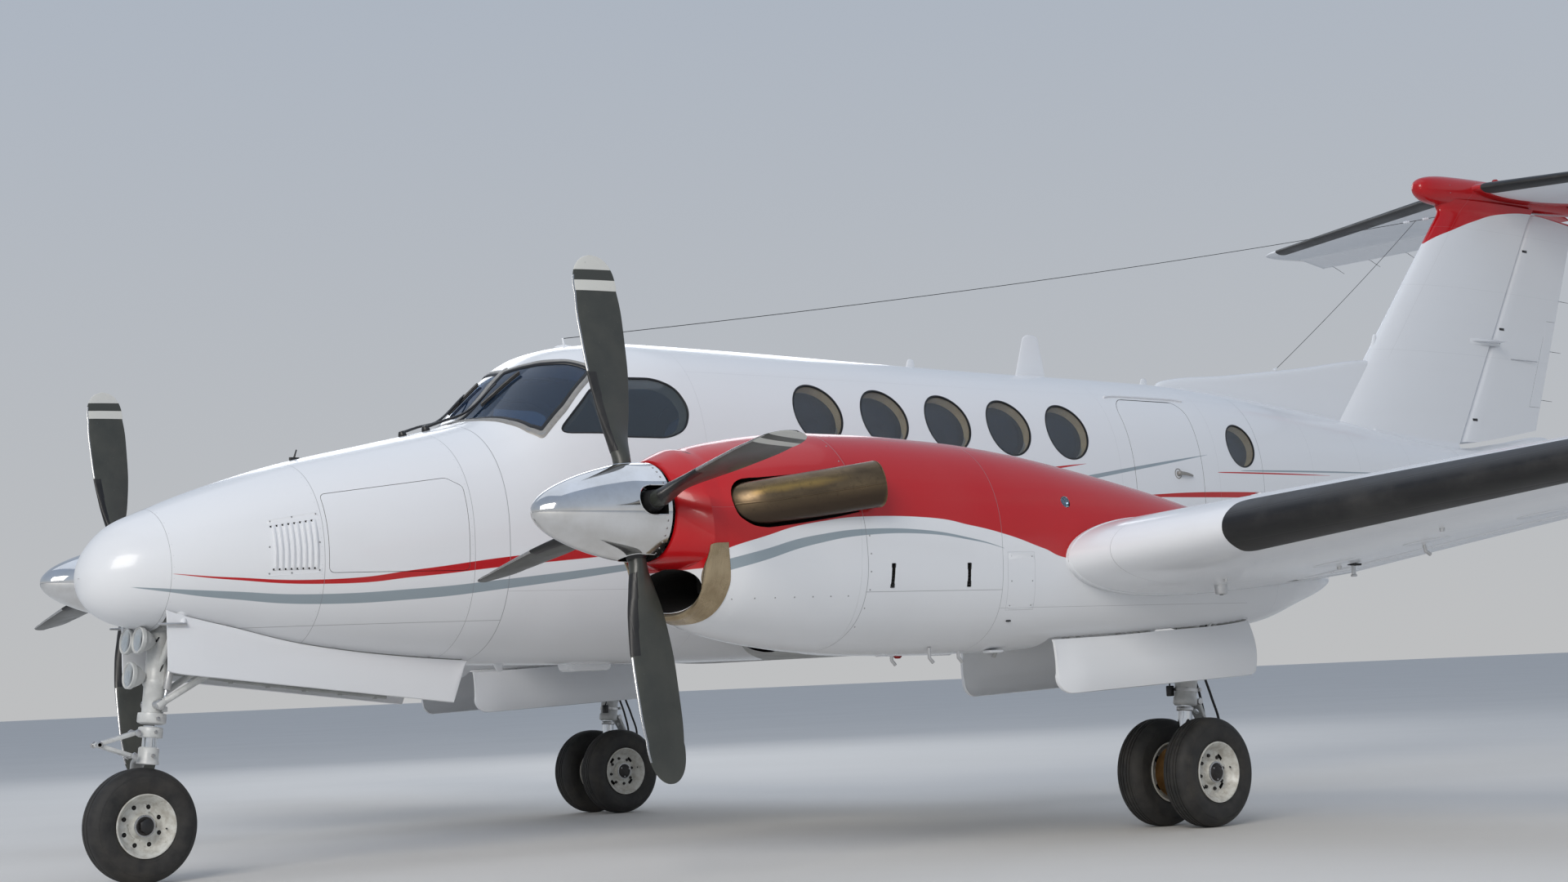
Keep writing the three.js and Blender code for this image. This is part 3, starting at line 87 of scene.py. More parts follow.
MOVE = 0.008
STAB = dict(z=4.42, root=(11.03, 1.70), tip=(12.02, 0.71), half=2.805, hinge=12.40, te=12.73, t=0.085)
ELEV_X = (0.105, 2.66)
ELEV_DROOP = 14.0
FIN = dict(z=(2.36, 4.40), le=(9.160, 10.923), hinge=(10.761, 12.031), te=(11.774, 12.637), t=(0.105, 0.10))
DORSAL = [(7.36, 2.705), (7.47, 2.763), (8.15, 2.832), (9.73, 3.018), (10.1, 3.02), (10.1, 2.40), (7.36, 2.62)]
BULLET = np.array([
    [10.500, 4.385, 4.415, 0.016], [10.530, 4.335, 4.455, 0.060], [10.640, 4.290, 4.490, 0.092],
    [10.850, 4.275, 4.508, 0.108], [11.300, 4.290, 4.515, 0.112], [12.050, 4.318, 4.500, 0.100],
    [12.600, 4.340, 4.478, 0.074], [12.980, 4.388, 4.455, 0.036], [13.050, 4.412, 4.435, 0.012]])
CABIN_WINDOWS_S = [3.825, 4.326, 4.824, 5.323, 5.823]
WINDOW_R = 0.175
SMALL_WINDOW = (7.50, 2.254, 0.145)
EXIT = (4.548, 5.100, 1.86, 2.515, 0.09)
DOOR = (6.375, 7.045, 1.245, 2.535, 0.11)
DOOR_HINGE = (0.605, 1.238, 1.2965)
AVIONICS = [(0.785, 1.470), (1.515, 1.470), (1.515, 1.900), (1.440, 1.945), (0.785, 1.862)]
SCREEN = [(0, 1.800), (.20, 1.846), (.42, 1.914), (.535, 1.962), (.592, 2.008), (.586, 2.157), (.557, 2.318), (.515, 2.412),
          (.345, 2.262), (.195, 2.202), (0, 2.172)]
STORM = [(2.074, 2.184), (2.392, 2.184), (2.350, 2.465)]
SIDEWIN = [(2.450, 2.165), (2.740, 2.165), (2.860, 2.215), (2.912, 2.335), (2.860, 2.460), (2.740, 2.510),
           (2.390, 2.505), (2.395, 2.440)]
SEATS = [(0.34, 2.70, -1), (-0.34, 2.70, -1), (0.34, 3.66, 1), (0.34, 4.72, -1), (-0.34, 4.08, -1),
         (0.34, 5.62, -1), (-0.34, 5.56, -1)]


def window_z(s):
    return 2.341 - 0.0237 * (s - 3.813)


# ------------------------------------------------------------- interpolation
def pchip(xs, ys, x):
    """Monotone cubic through (xs, ys[:, k]), at x."""
    xs, ys, x = np.asarray(xs, float), np.asarray(ys, float), np.atleast_1d(np.asarray(x, float))
    flat = ys.ndim == 1
    if flat:
        ys = ys[:, None]
    h = np.diff(xs)[:, None]
    d = np.diff(ys, axis=0) / h
    m = np.zeros_like(ys)
    m[0], m[-1] = d[0], d[-1]
    if len(xs) > 2:
        w1, w2 = 2 * h[1:] + h[:-1], h[1:] + 2 * h[:-1]
        ok = d[:-1] * d[1:] > 0
        with np.errstate(divide="ignore", invalid="ignore"):
            v = (w1 + w2) / (w1 / d[:-1] + w2 / d[1:])
        m[1:-1] = np.where(ok, v, 0)
    k = np.clip(np.searchsorted(xs, x, side="right") - 1, 0, len(xs) - 2)
    t = ((x - xs[k]) / (xs[k + 1] - xs[k]))[:, None]
    hk = (xs[k + 1] - xs[k])[:, None]
    t2, t3 = t * t, t * t * t
    out = (2 * t3 - 3 * t2 + 1) * ys[k] + (t3 - 2 * t2 + t) * hk * m[k] + (3 * t2 - 2 * t3) * ys[k + 1] + (t3 - t2) * hk * m[k + 1]
    return out[:, 0] if flat else out


def linear(table, x):
    x = np.atleast_1d(np.asarray(x, float))
    return np.stack([np.interp(x, table[:, 0], table[:, k]) for k in range(1, table.shape[1])], 1)


NOSE0 = -0.2925


def fus_rows(s):
    """Fuselage section numbers zb, zt, w, zm, nt, nb at stations s."""
    return pchip(np.sqrt(FUSELAGE[:, 0] - NOSE0), FUSELAGE[:, 1:], np.sqrt(np.maximum(np.atleast_1d(s) - NOSE0, 1e-9)))


def nac_rows(s):
    return pchip(NACELLE[2:, 0], NACELLE[2:, 1:], np.maximum(np.atleast_1d(s), NACELLE[2, 0]))


def superellipse(rows, s, n, off=0.0, xc=0.0, phase=0.0):
    """Rings (k, n, 3) of squared ellipses for section numbers rows at stations s, off metres outside them."""
    t = 2 * np.pi * (np.arange(n) + phase) / n
    c, q = np.cos(t)[None], np.sin(t)[None]
    zb, zt, w, zm, nt, nb = [rows[:, k:k + 1] for k in range(6)]
    e = np.where(q >= 0, 2 / nt, 2 / nb)
    h = np.where(q >= 0, zt - zm, zm - zb) + off
    x = xc + (w + off) * np.sign(c) * np.abs(c) ** e
    z = zm + h * np.sign(q) * np.abs(q) ** e
    return np.stack([x, np.broadcast_to(np.asarray(s, float)[:, None], x.shape), z], 2)


def fus_x(s, z, off=0.0):
    """Half width of the fuselage skin at (s, z), off metres outside it."""
    s, z = np.broadcast_arrays(np.asarray(s, float), np.asarray(z, float))
    r = fus_rows(s.ravel())
    zb, zt, w, zm, nt, nb = r.T
    zz = z.ravel()
    up = zz >= zm
    n = np.where(up, nt, nb)
    h = np.where(up, zt - zm, zm - zb) + off
    k = np.clip(np.abs(zz - zm) / h, 0, 0.9999)
    return ((w + off) * (1 - k ** n) ** (1 / n)).reshape(s.shape)


def fus_top(x, s, off=0.0):
    x, s = np.broadcast_arrays(np.asarray(x, float), np.asarray(s, float))
    zb, zt, w, zm, nt, nb = fus_rows(s.ravel()).T
    k = np.clip(np.abs(x.ravel()) / (w + off), 0, 0.9999)
    return (zm + (zt - zm + off) * (1 - k ** nt) ** (1 / nt)).reshape(s.shape)


def fus_bottom(x, s, off=0.0):
    x, s = np.broadcast_arrays(np.asarray(x, float), np.asarray(s, float))
    zb, zt, w, zm, nt, nb = fus_rows(s.ravel()).T
    k = np.clip(np.abs(x.ravel()) / (w + off), 0, 0.9999)
    return (zm - (zm - zb + off) * (1 - k ** nb) ** (1 / nb)).reshape(s.shape)


def nac_x(s, z, off=0.0):
    """Half width of a nacelle skin about its centre."""
    s, z = np.broadcast_arrays(np.asarray(s, float), np.asarray(z, float))
    zb, zt, w, zm, nt, nb = nac_rows(s.ravel()).T
    zz = z.ravel()
    up = zz >= zm
    n = np.where(up, nt, nb)
    h = np.where(up, zt - zm, zm - zb) + off
    k = np.clip(np.abs(zz - zm) / h, 0, 0.9999)
    return ((w + off) * (1 - k ** n) ** (1 / n)).reshape(s.shape)


# ------------------------------------------------------------------- meshes
class Geo:
    """Faces gathered for one mesh, each with a material number."""

    def __init__(self):
        self.v, self.f, self.m = [], [], []

    def add(self, verts, faces, mat=0):
        o = len(self.v)
        self.v.extend(map(tuple, np.asarray(verts, float)))
        if o:
            faces = [tuple(i + o for i in f) for f in faces]
        self.f.extend(faces)
        self.m.extend([mat] * len(faces) if np.isscalar(mat) else list(mat))
        return self

    def join(self, *others):
        for g in others:
            self.add(g.v, g.f, g.m)
        return self

    def mirrored(self):
        g = Geo()
        v = np.array(self.v)
        v[:, 0] *= -1
        g.add(v, [tuple(reversed(f)) for f in self.f], self.m)
        return g

    def moved(self, d):
        g = Geo()
        g.add(np.array(self.v) + np.asarray(d, float), self.f, self.m)
        return g

    def turned(self, centre, axis, deg):
        """Turned about an axis through a point, in (x, s, z)."""
        r = np.array(Matrix.Rotation(math.radians(deg), 3, Vector(axis)))
        c = np.asarray(centre, float)
        g = Geo()
        g.add((np.array(self.v) - c) @ r.T + c, self.f, self.m)
        return g

    def painted(self, mat):
        self.m = [mat] * len(self.f)
        return self

    def mesh(self, name="m"):
        me = bpy.data.meshes.new(name)
        v = np.array(self.v)
        v = np.column_stack([v[:, 0], v[:, 1] - S0, v[:, 2]])
        me.from_pydata(v.tolist(), [], self.f)
        me.polygons.foreach_set("material_index", self.m)
        me.update()
        return me


def outward(g):
    """Faces turned so that the closed mesh's volume is positive."""
    v = np.array(g.v)
    vol = 0.0
    for f in g.f:
        a = v[f[0]]
        for k in range(1, len(f) - 1):
            vol += np.dot(a, np.cross(v[f[k]], v[f[k + 1]]))
    if vol < 0:
        g.f = [tuple(reversed(f)) for f in g.f]
    return g


def ring_volume(r):
    c = r.mean(axis=(0, 1))
    a, b = r[:-1] - c, r[1:] - c
    a2, b2 = np.roll(a, -1, 1), np.roll(b, -1, 1)
    tri = lambda p, q, t: np.einsum("ijk,ijk->", p, np.cross(q, t))
    return tri(a, a2, b2) + tri(a, b2, b)


def loft(rings, mat=0, caps=(True, True), fan=False, close=False, tips=(None, None)):
    """Rings of one length joined in turn. caps close the ends, close joins the last ring to the first."""
    r = np.asarray(rings, float)
    k, n = r.shape[:2]
    if ring_volume(r) < 0:
        r = r[:, ::-1]
    i = np.arange(n)
    j = (i + 1) % n
    faces = []
    for a in range(k if close else k - 1):
        b = (a + 1) % k
        faces.extend(zip((a * n + i).tolist(), (a * n + j).tolist(), (b * n + j).tolist(), (b * n + i).tolist()))
    verts = r.reshape(-1, 3)
    if not close:
        if fan:
            verts = np.vstack([verts, r[0].mean(0) if tips[0] is None else tips[0], r[-1].mean(0) if tips[1] is None else tips[1]])
            c0, c1 = k * n, k * n + 1
            if caps[0]:
                faces.extend(zip(j.tolist(), i.tolist(), [c0] * n))
            if caps[1]:
                faces.extend(zip(((k - 1) * n + i).tolist(), ((k - 1) * n + j).tolist(), [c1] * n))
        else:
            if caps[0]:
                faces.append(tuple(reversed(range(n))))
            if caps[1]:
                faces.append(tuple(range((k - 1) * n, k * n)))
    g = Geo()
    g.add(verts, faces, mat)
    return g


def unit(v):
    v = np.asarray(v, float)
    return v / max(np.linalg.norm(v), 1e-12)


def frame_of(axis, hint=(1, 0, 0)):
    z = unit(axis)
    h = np.asarray(hint, float)
    if abs(np.dot(unit(h), z)) > 0.98:
        h = np.array([0, 0, 1.0])
    x = unit(h - z * np.dot(h, z))
    return x, np.cross(z, x), z


def revolve(profile, centre, axis=(1, 0, 0), n=32, mat=0, closed=False):
    """Profile of (radius, along) turned about an axis. closed joins its last point to its first, for a ring."""
    p = np.array(profile, float)
    x, y, z = frame_of(axis)
    t = 2 * np.pi * np.arange(n) / n
    rad = np.cos(t)[:, None] * x + np.sin(t)[:, None] * y
    c = np.asarray(centre, float)
    tips = [None, None]
    if not closed:
        if p[0, 0] < 1e-9:
            tips[0], p = c + p[0, 1] * z, p[1:]
        if p[-1, 0] < 1e-9:
            tips[1], p = c + p[-1, 1] * z, p[:-1]
    rings = c + p[:, None, 0:1] * rad[None] + p[:, None, 1:2] * z
    return outward(loft(rings, mat, fan=True, close=closed, tips=tips))


def rod(a, b, r0, r1=None, n=20, mat=0, bevel=0.15):
    """Round bar with eased ends."""
    a, b = np.asarray(a, float), np.asarray(b, float)
    r1 = r0 if r1 is None else r1
    length = np.linalg.norm(b - a)
    e = min(bevel * min(r0, r1), 0.3 * length)
    return revolve([(r0 - e, 0), (r0 - .3 * e, .3 * e), (r0, e), (r1, length - e), (r1 - .3 * e, length - .3 * e), (r1 - e, length)], a, b - a, n, mat)


def smooth_path(pts, n):
    pts = np.asarray(pts, float)
    d = np.concatenate([[0], np.cumsum(np.linalg.norm(np.diff(pts, axis=0), axis=1))])
    d /= d[-1]
    t = np.linspace(0, 1, n)
    # Catmull-Rom with centripetal-free tangents is enough for these short paths
    m = np.gradient(pts, d, axis=0)
    k = np.clip(np.searchsorted(d, t, side="right") - 1, 0, len(d) - 2)
    u = ((t - d[k]) / (d[k + 1] - d[k]))[:, None]
    h = (d[k + 1] - d[k])[:, None]
    return ((2 * u**3 - 3 * u**2 + 1) * pts[k] + (u**3 - 2 * u**2 + u) * h * m[k]
            + (3 * u**2 - 2 * u**3) * pts[k + 1] + (u**3 - u**2) * h * m[k + 1])


def tube(path, radius, n=14, mat=0, aspect=1.0, hint=(0, 0, 1), caps=(True, True), power=2.0, close=False):
    """Swept round or squared-oval section; radius may vary along the path, aspect widens it along hint."""
    p = np.asarray(path, float)
    k = len(p)
    r = np.broadcast_to(np.asarray(radius, float), (k,))
    if close:
        tan = np.roll(p, -1, 0) - np.roll(p, 1, 0)
    else:
        tan = np.gradient(p, axis=0)
    tan /= np.linalg.norm(tan, axis=1, keepdims=True)
    x = frame_of(tan[0], hint)[0]
    t = 2 * np.pi * np.arange(n) / n
    c, q = np.cos(t), np.sin(t)
    e = 2 / power
    c, q = np.sign(c) * np.abs(c) ** e, np.sign(q) * np.abs(q) ** e
    rings = []
    for i in range(k):
        x = unit(x - tan[i] * np.dot(x, tan[i]))
        y = np.cross(tan[i], x)
        rings.append(p[i] + r[i] * (aspect * c[:, None] * x + q[:, None] * y))
    return loft(rings, mat, caps, close=close)


def rbox(centre, size, r=0.003, mat=0, axes=None, seg=2):
    """Box with rounded edges; axes are its own three directions."""
    bm = bmesh.new()
    bmesh.ops.create_cube(bm, size=1)
    sz = np.asarray(size, float)
    for v in bm.verts:
        v.co = Vector((v.co.x * sz[0], v.co.y * sz[1], v.co.z * sz[2]))
    r = min(r, 0.45 * sz.min())
    bmesh.ops.bevel(bm, geom=list(bm.edges), offset=r, segments=seg, profile=0.5, affect="EDGES")
    vs = np.array([v.co[:] for v in bm.verts])
    fs = [tuple(v.index for v in f.verts) for f in bm.faces]
    bm.verts.index_update()
    fs = [tuple(v.index for v in f.verts) for f in bm.faces]
    bm.free()
    if axes is not None:
        vs = vs @ np.array([unit(a) for a in axes])
    g = Geo()
    g.add(vs + np.asarray(centre, float), fs, mat)
    return g


def bar(a, b, w, h, side=(1, 0, 0), r=0.004, mat=0, over=0.0):
    """Flat bar between two points, w wide along side, h thick."""
    a, b = np.asarray(a, float), np.asarray(b, float)
    x, y, z = frame_of(b - a, side)
    return rbox((a + b) / 2, (w, h, np.linalg.norm(b - a) + over), r, mat, (x, y, z))


def resample(outline, step):
    """Closed outline with points no further apart than step."""
    out = []
    n = len(outline)
    for i in range(n):
        a, b = np.array(outline[i], float), np.array(outline[(i + 1) % n], float)
        k = max(1, int(math.ceil(np.linalg.norm(b - a) / step)))
        out.extend(a + (b - a) * j / k for j in range(k))
    return np.array(out)


def rounded(outline, r, n=6):
    """Outline with its corners rounded by radius r, a number or one for each corner."""
    out = []
    k = len(outline)
    rs = [r] * k if np.isscalar(r) else list(r)
    for i in range(k):
        p, o, q = (np.array(outline[j % k], float) for j in (i, i - 1, i + 1))
        a, b = unit(o - p), unit(q - p)
        half = math.acos(np.clip(np.dot(a, b), -1, 1)) / 2
        if rs[i] < 1e-6 or half > 1.5:
            out.append(p)
            continue
        d = min(rs[i] / math.tan(half), 0.45 * np.linalg.norm(o - p), 0.45 * np.linalg.norm(q - p))
        for j in range(n + 1):
            t = j / n
            # quadratic corner, close to an arc
            out.append((1 - t) ** 2 * (p + a * d) + 2 * t * (1 - t) * p + t**2 * (p + b * d))
    return np.array(out)


def area2(o):
    o = np.asarray(o)
    q = np.roll(o, -1, 0)
    return float(np.sum(o[:, 0] * q[:, 1] - q[:, 0] * o[:, 1]))


def grow(o, d):
    """Outline moved outwards by d."""
    o = np.asarray(o, float)
    sgn = 1 if area2(o) > 0 else -1
    a, b = o - np.roll(o, 1, 0), np.roll(o, -1, 0) - o
    n1 = np.stack([a[:, 1], -a[:, 0]], 1)
    n2 = np.stack([b[:, 1], -b[:, 0]], 1)
    n1 /= np.linalg.norm(n1, axis=1, keepdims=True)
    n2 /= np.linalg.norm(n2, axis=1, keepdims=True)
    u = n1 + n2
    k = sgn * d * 2 / np.maximum((u * u).sum(1), 0.5)
    return o + u * k[:, None]


def round_rect(a0, a1, b0, b1, r, n=6):
    out = []
    for ca, cb, t0 in ((a1 - r, b1 - r, 0), (a0 + r, b1 - r, 90), (a0 + r, b0 + r, 180), (a1 - r, b0 + r, 270)):
        for i in range(n + 1):
            t = math.radians(t0 + 90 * i / n)
            out.append((ca + r * math.cos(t), cb + r * math.sin(t)))
    return np.array(out)


def circle2(a, b, r, n=48):
    t = 2 * np.pi * np.arange(n) / n
    return np.stack([a + r * np.cos(t), b + r * np.sin(t)], 1)


def prism(outline, axis, lo, hi, mat=0):
    """Outline swept along an axis. 'x': (s, z), 'z': (x, s), 'y': (x, z)."""
    o = np.asarray(outline, float)
    put = {"x": lambda a, b, c: (c, a, b), "z": lambda a, b, c: (a, b, c), "y": lambda a, b, c: (a, c, b)}[axis]
    ring = lambda c: [put(a, b, c) for a, b in o]
    return outward(loft([ring(lo), ring(hi)], mat))


def plate(outline, axis, lo, hi, r=0.002, mat=0):
    """Prism with eased rims."""
    o = np.asarray(outline, float)
    put = {"x": lambda a, b, c: (c, a, b), "z": lambda a, b, c: (a, b, c), "y": lambda a, b, c: (a, c, b)}[axis]
    rings = [[put(a, b, c) for a, b in grow(o, d)] for d, c in
             ((-r, lo), (-.3 * r, lo + .3 * r), (0, lo + r), (0, hi - r), (-.3 * r, hi - .3 * r), (-r, hi))]
    return outward(loft(rings, mat))


def box(x0, x1, s0, s1, z0, z1, mat=0):
    return prism([(x0, s0), (x1, s0), (x1, s1), (x0, s1)], "z", z0, z1, mat)


# ------------------------------------------------------- booleans and pieces
def boolean(a, b, op="DIFFERENCE"):
    """Mesh a cut by, joined with or kept inside mesh b. Both are used up."""
    col = bpy.context.scene.collection
    ao, bo = bpy.data.objects.new("a", a), bpy.data.objects.new("b", b)
    col.objects.link(ao)
    col.objects.link(bo)
    mod = ao.modifiers.new("b", "BOOLEAN")
    mod.operation, mod.solver, mod.object = op, "MANIFOLD", bo
    dg = bpy.context.evaluated_depsgraph_get()
    out = bpy.data.meshes.new_from_object(ao.evaluated_get(dg), depsgraph=dg)
    before = (len(a.polygons), len(b.polygons))
    bpy.data.objects.remove(ao)
    bpy.data.objects.remove(bo)
    if len(out.polygons) in (0, before[0]):
        print("boolean changed nothing", op, before, len(out.polygons))
    return out


BLANK = [bpy.data.materials.new(f"blank{i}") for i in range(8)]


def raw(g):
    """Mesh of a Geo with the stand-in slots that keep face numbers through a boolean."""
    me = g.mesh()
    for b in BLANK:
        me.materials.append(b)
    return me


def cut(g, *cutters):
    m = raw(g) if isinstance(g, Geo) else g
    for c in cutters:
        m = boolean(m, raw(c) if isinstance(c, Geo) else c)
    return m


def keep(g, c):
    return boolean(raw(g) if isinstance(g, Geo) else g, raw(c) if isinstance(c, Geo) else c, "INTERSECT")


def fuse(g, *cs):
    m = raw(g) if isinstance(g, Geo) else g
    for c in cs:
        m = boolean(m, raw(c) if isinstance(c, Geo) else c, "UNION")
    return m


def mirror_mesh(me):
    m = me.copy()
    m.transform(Matrix.Scale(-1, 4, (1, 0, 0)))
    m.flip_normals()
    return m


def add_geo(me, g):
    """Mesh me with the faces of g beside it."""
    bm = bmesh.new()
    bm.from_mesh(me)
    tmp = g.mesh()
    bm.from_mesh(tmp)
    out = bpy.data.meshes.new("j")
    bm.to_mesh(out)
    bm.free()
    bpy.data.meshes.remove(tmp)
    for b in BLANK:
        out.materials.append(b)
    return out


def piece(name, data, mats, body="airframe", replaces=(), angle=32, flat=False):
    """A finished object from a Geo or a mesh, its faces' material numbers kept."""
    me = data.mesh(name) if isinstance(data, Geo) else data
    me.name = name
    idx = np.zeros(len(me.polygons), np.int32)
    me.polygons.foreach_get("material_index", idx)
    me.materials.clear()
    for m in mats:
        me.materials.append(m)
    me.polygons.foreach_set("material_index", np.minimum(idx, len(mats) - 1))
    if not flat:
        me.shade_smooth()
        me.set_sharp_from_angle(angle=math.radians(angle))
    me.update()
    o = bpy.data.objects.new(name, me)
    bpy.context.scene.collection.objects.link(o)
    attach(o, body)
    for n in ([replaces] if isinstance(replaces, str) else replaces):
        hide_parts(n)
    return o


def both(name, g, mats, body="airframe", replaces=None, angle=32):
    """Port piece and its mirror image. body and replaces may hold {side}."""
    for side in ("left", "right"):
        if isinstance(g, Geo):
            d = g if side == "left" else g.mirrored()
        else:
            d = g.copy() if side == "left" else mirror_mesh(g)
        piece(name.format(side=side), d, mats, body.format(side=side),
              [r.format(side=side) for r in (replaces or [])], angle)




# ---------------------------------------------------------------- materials
class Val:
    """A number in a node tree, with arithmetic."""

    def __init__(self, g, sock):
        self.g, self.sock = g, sock

    def _op(self, op, *a):
        return self.g.math(op, self, *a)

    def __add__(self, o): return self._op("ADD", o)
    __radd__ = __add__
    def __sub__(self, o): return self._op("SUBTRACT", o)
    def __rsub__(self, o): return self.g.math("SUBTRACT", o, self)
    def __mul__(self, o): return self._op("MULTIPLY", o)
    __rmul__ = __mul__
    def __truediv__(self, o): return self._op("DIVIDE", o)
    def abs(self): return self._op("ABSOLUTE")
    def max(self, o): return self._op("MAXIMUM", o)
    def min(self, o): return self._op("MINIMUM", o)
    def mod(self, o): return self._op("FLOORED_MODULO", o)
    def sqrt(self): return self._op("SQRT")
    def sin(self): return self._op("SINE")

    def ramp(self, a, b, lo=0.0, hi=1.0, smooth=True):
        """lo at a, hi at b, held outside."""
        n = self.g.node("ShaderNodeMapRange")
        n.interpolation_type = "SMOOTHSTEP" if smooth else "LINEAR"
        if a > b:
            a, b, lo, hi = b, a, hi, lo
        self.g.put(n.inputs[0], self)
        for i, v in zip((1, 2, 3, 4), (a, b, lo, hi)):
            n.inputs[i].default_value = v
        return Val(self.g, n.outputs[0])


class Graph:
    """A procedural material on a Principled shader."""

    def __init__(self, name, color=(.8, .8, .8), rough=.5, metal=0.0, **consts):
        self.mat = bpy.data.materials.new(name)
        self.mat.use_nodes = True
        self.nt = self.mat.node_tree
        self.nt.nodes.clear()
        out = self.node("ShaderNodeOutputMaterial")
        self.bsdf = self.node("ShaderNodeBsdfPrincipled")
        self.nt.links.new(self.bsdf.outputs[0], out.inputs[0])
        self.tc = self.node("ShaderNodeTexCoord")
        self.obj = self.tc.outputs["Object"]
        sep = self.node("ShaderNodeSeparateXYZ")
        self.nt.links.new(self.obj, sep.inputs[0])
        self.x, self.y, self.z = (Val(self, sep.outputs[i]) for i in range(3))
        self._s = None
        self.h = None
        self.set("Base Color", (*color, 1))
        self.set("Roughness", rough)
        self.set("Metallic", metal)
        for k, v in consts.items():
            self.set(k.replace("_", " "), v)
        self.base, self.rough = None, rough
        self.color = color
        self.mat.diffuse_color = (*color, 1)

    @property
    def s(self):
        if self._s is None:
            self._s = self.y + S0
        return self._s

    def node(self, kind):
        return self.nt.nodes.new(kind)

    def set(self, name, value):
        self.bsdf.inputs[name].default_value = value

    def put(self, sock, v):
        if isinstance(v, Val):
            self.nt.links.new(v.sock, sock)
        elif hasattr(v, "is_output"):
            self.nt.links.new(v, sock)
        elif isinstance(v, tuple):
            sock.default_value = (*v, 1) if len(v) == 3 and len(sock.default_value) == 4 else v
        else:
            sock.default_value = v

    def math(self, op, *a):
        n = self.node("ShaderNodeMath")
        n.operation = op
        for i, v in enumerate(a):
            self.put(n.inputs[i], v)
        return Val(self, n.outputs[0])

    def mix(self, fac, a, b):
        n = self.node("ShaderNodeMix")
        n.data_type = "RGBA"
        self.put(n.inputs[0], fac)
        self.put(n.inputs[6], a)
        self.put(n.inputs[7], b)
        return n.outputs[2]

    def scaled(self, scale, rot=(0, 0, 0)):
        n = self.node("ShaderNodeMapping")
        self.nt.links.new(self.obj, n.inputs[0])
        n.inputs["Scale"].default_value = scale
        n.inputs["Rotation"].default_value = rot
        return n.outputs[0]

    def noise(self, scale, detail=3, rough=.55, vec=None, distort=0.0):
        n = self.node("ShaderNodeTexNoise")
        self.nt.links.new(vec or self.obj, n.inputs["Vector"])
        n.inputs["Scale"].default_value = scale
        n.inputs["Detail"].default_value = detail
        n.inputs["Roughness"].default_value = rough
        n.inputs["Distortion"].default_value = distort
        return Val(self, n.outputs[0])

    def voronoi(self, scale, feature="F1", vec=None):
        n = self.node("ShaderNodeTexVoronoi")
        n.feature = feature
        self.nt.links.new(vec or self.obj, n.inputs["Vector"])
        n.inputs["Scale"].default_value = scale
        return Val(self, n.outputs[0])

    def curve(self, x, pts, lo=None, hi=None):
        """Smooth curve through points, read at x."""
        xs, ys = [p[0] for p in pts], [p[1] for p in pts]
        x0, x1 = xs[0], xs[-1]
        lo = min(ys) - 1e-3 if lo is None else lo
        hi = max(ys) + 1e-3 if hi is None else hi
        n = self.node("ShaderNodeFloatCurve")
        t = x.ramp(x0, x1, 0, 1, smooth=False)
        self.put(n.inputs["Value"], t)
        cv = n.mapping.curves[0]
        cv.points[0].location = (0, (ys[0] - lo) / (hi - lo))
        cv.points[-1].location = (1, (ys[-1] - lo) / (hi - lo))
        for px, py in pts[1:-1]:
            cv.points.new((px - x0) / (x1 - x0), (py - lo) / (hi - lo))
        n.mapping.update()
        return Val(self, n.outputs[0]) * (hi - lo) + lo

    def band(self, d, half, soft=0.0012):
        """1 where |d| < half."""
        n = d.abs() - half
        return n.ramp(-soft, soft, 1, 0)

    def lines(self, v, at, half=0.0011, soft=0.0009):
        m = None
        for a in at:
            b = (v - a).abs().ramp(half - soft, half + soft, 1, 0)
            m = b if m is None else m.max(b)
        return m

    def bump(self, height, strength=1.0, distance=0.001):
        n = self.node("ShaderNodeBump")
        n.inputs["Strength"].default_value = strength
        n.inputs["Distance"].default_value = distance
        self.put(n.inputs["Height"], height)
        if self.h is not None:
            self.nt.links.new(self.h, n.inputs["Normal"])
        self.h = n.outputs[0]

    def done(self, base=None, rough=None, metal=None, alpha=None, emit=None):
        if base is not None:
            self.put(self.bsdf.inputs["Base Color"], base)
        if rough is not None:
            self.put(self.bsdf.inputs["Roughness"], rough)
        if metal is not None:
            self.put(self.bsdf.inputs["Metallic"], metal)
        if emit is not None:
            self.put(self.bsdf.inputs["Emission Color"], emit)
        if self.h is not None:
            self.nt.links.new(self.h, self.bsdf.inputs["Normal"])
        return self.mat


C_WHITE = (0.80, 0.815, 0.84)
C_RED = (0.50, 0.003, 0.007)
C_GREY = (0.30, 0.36, 0.40)
C_LINE = (0.22, 0.22, 0.235)


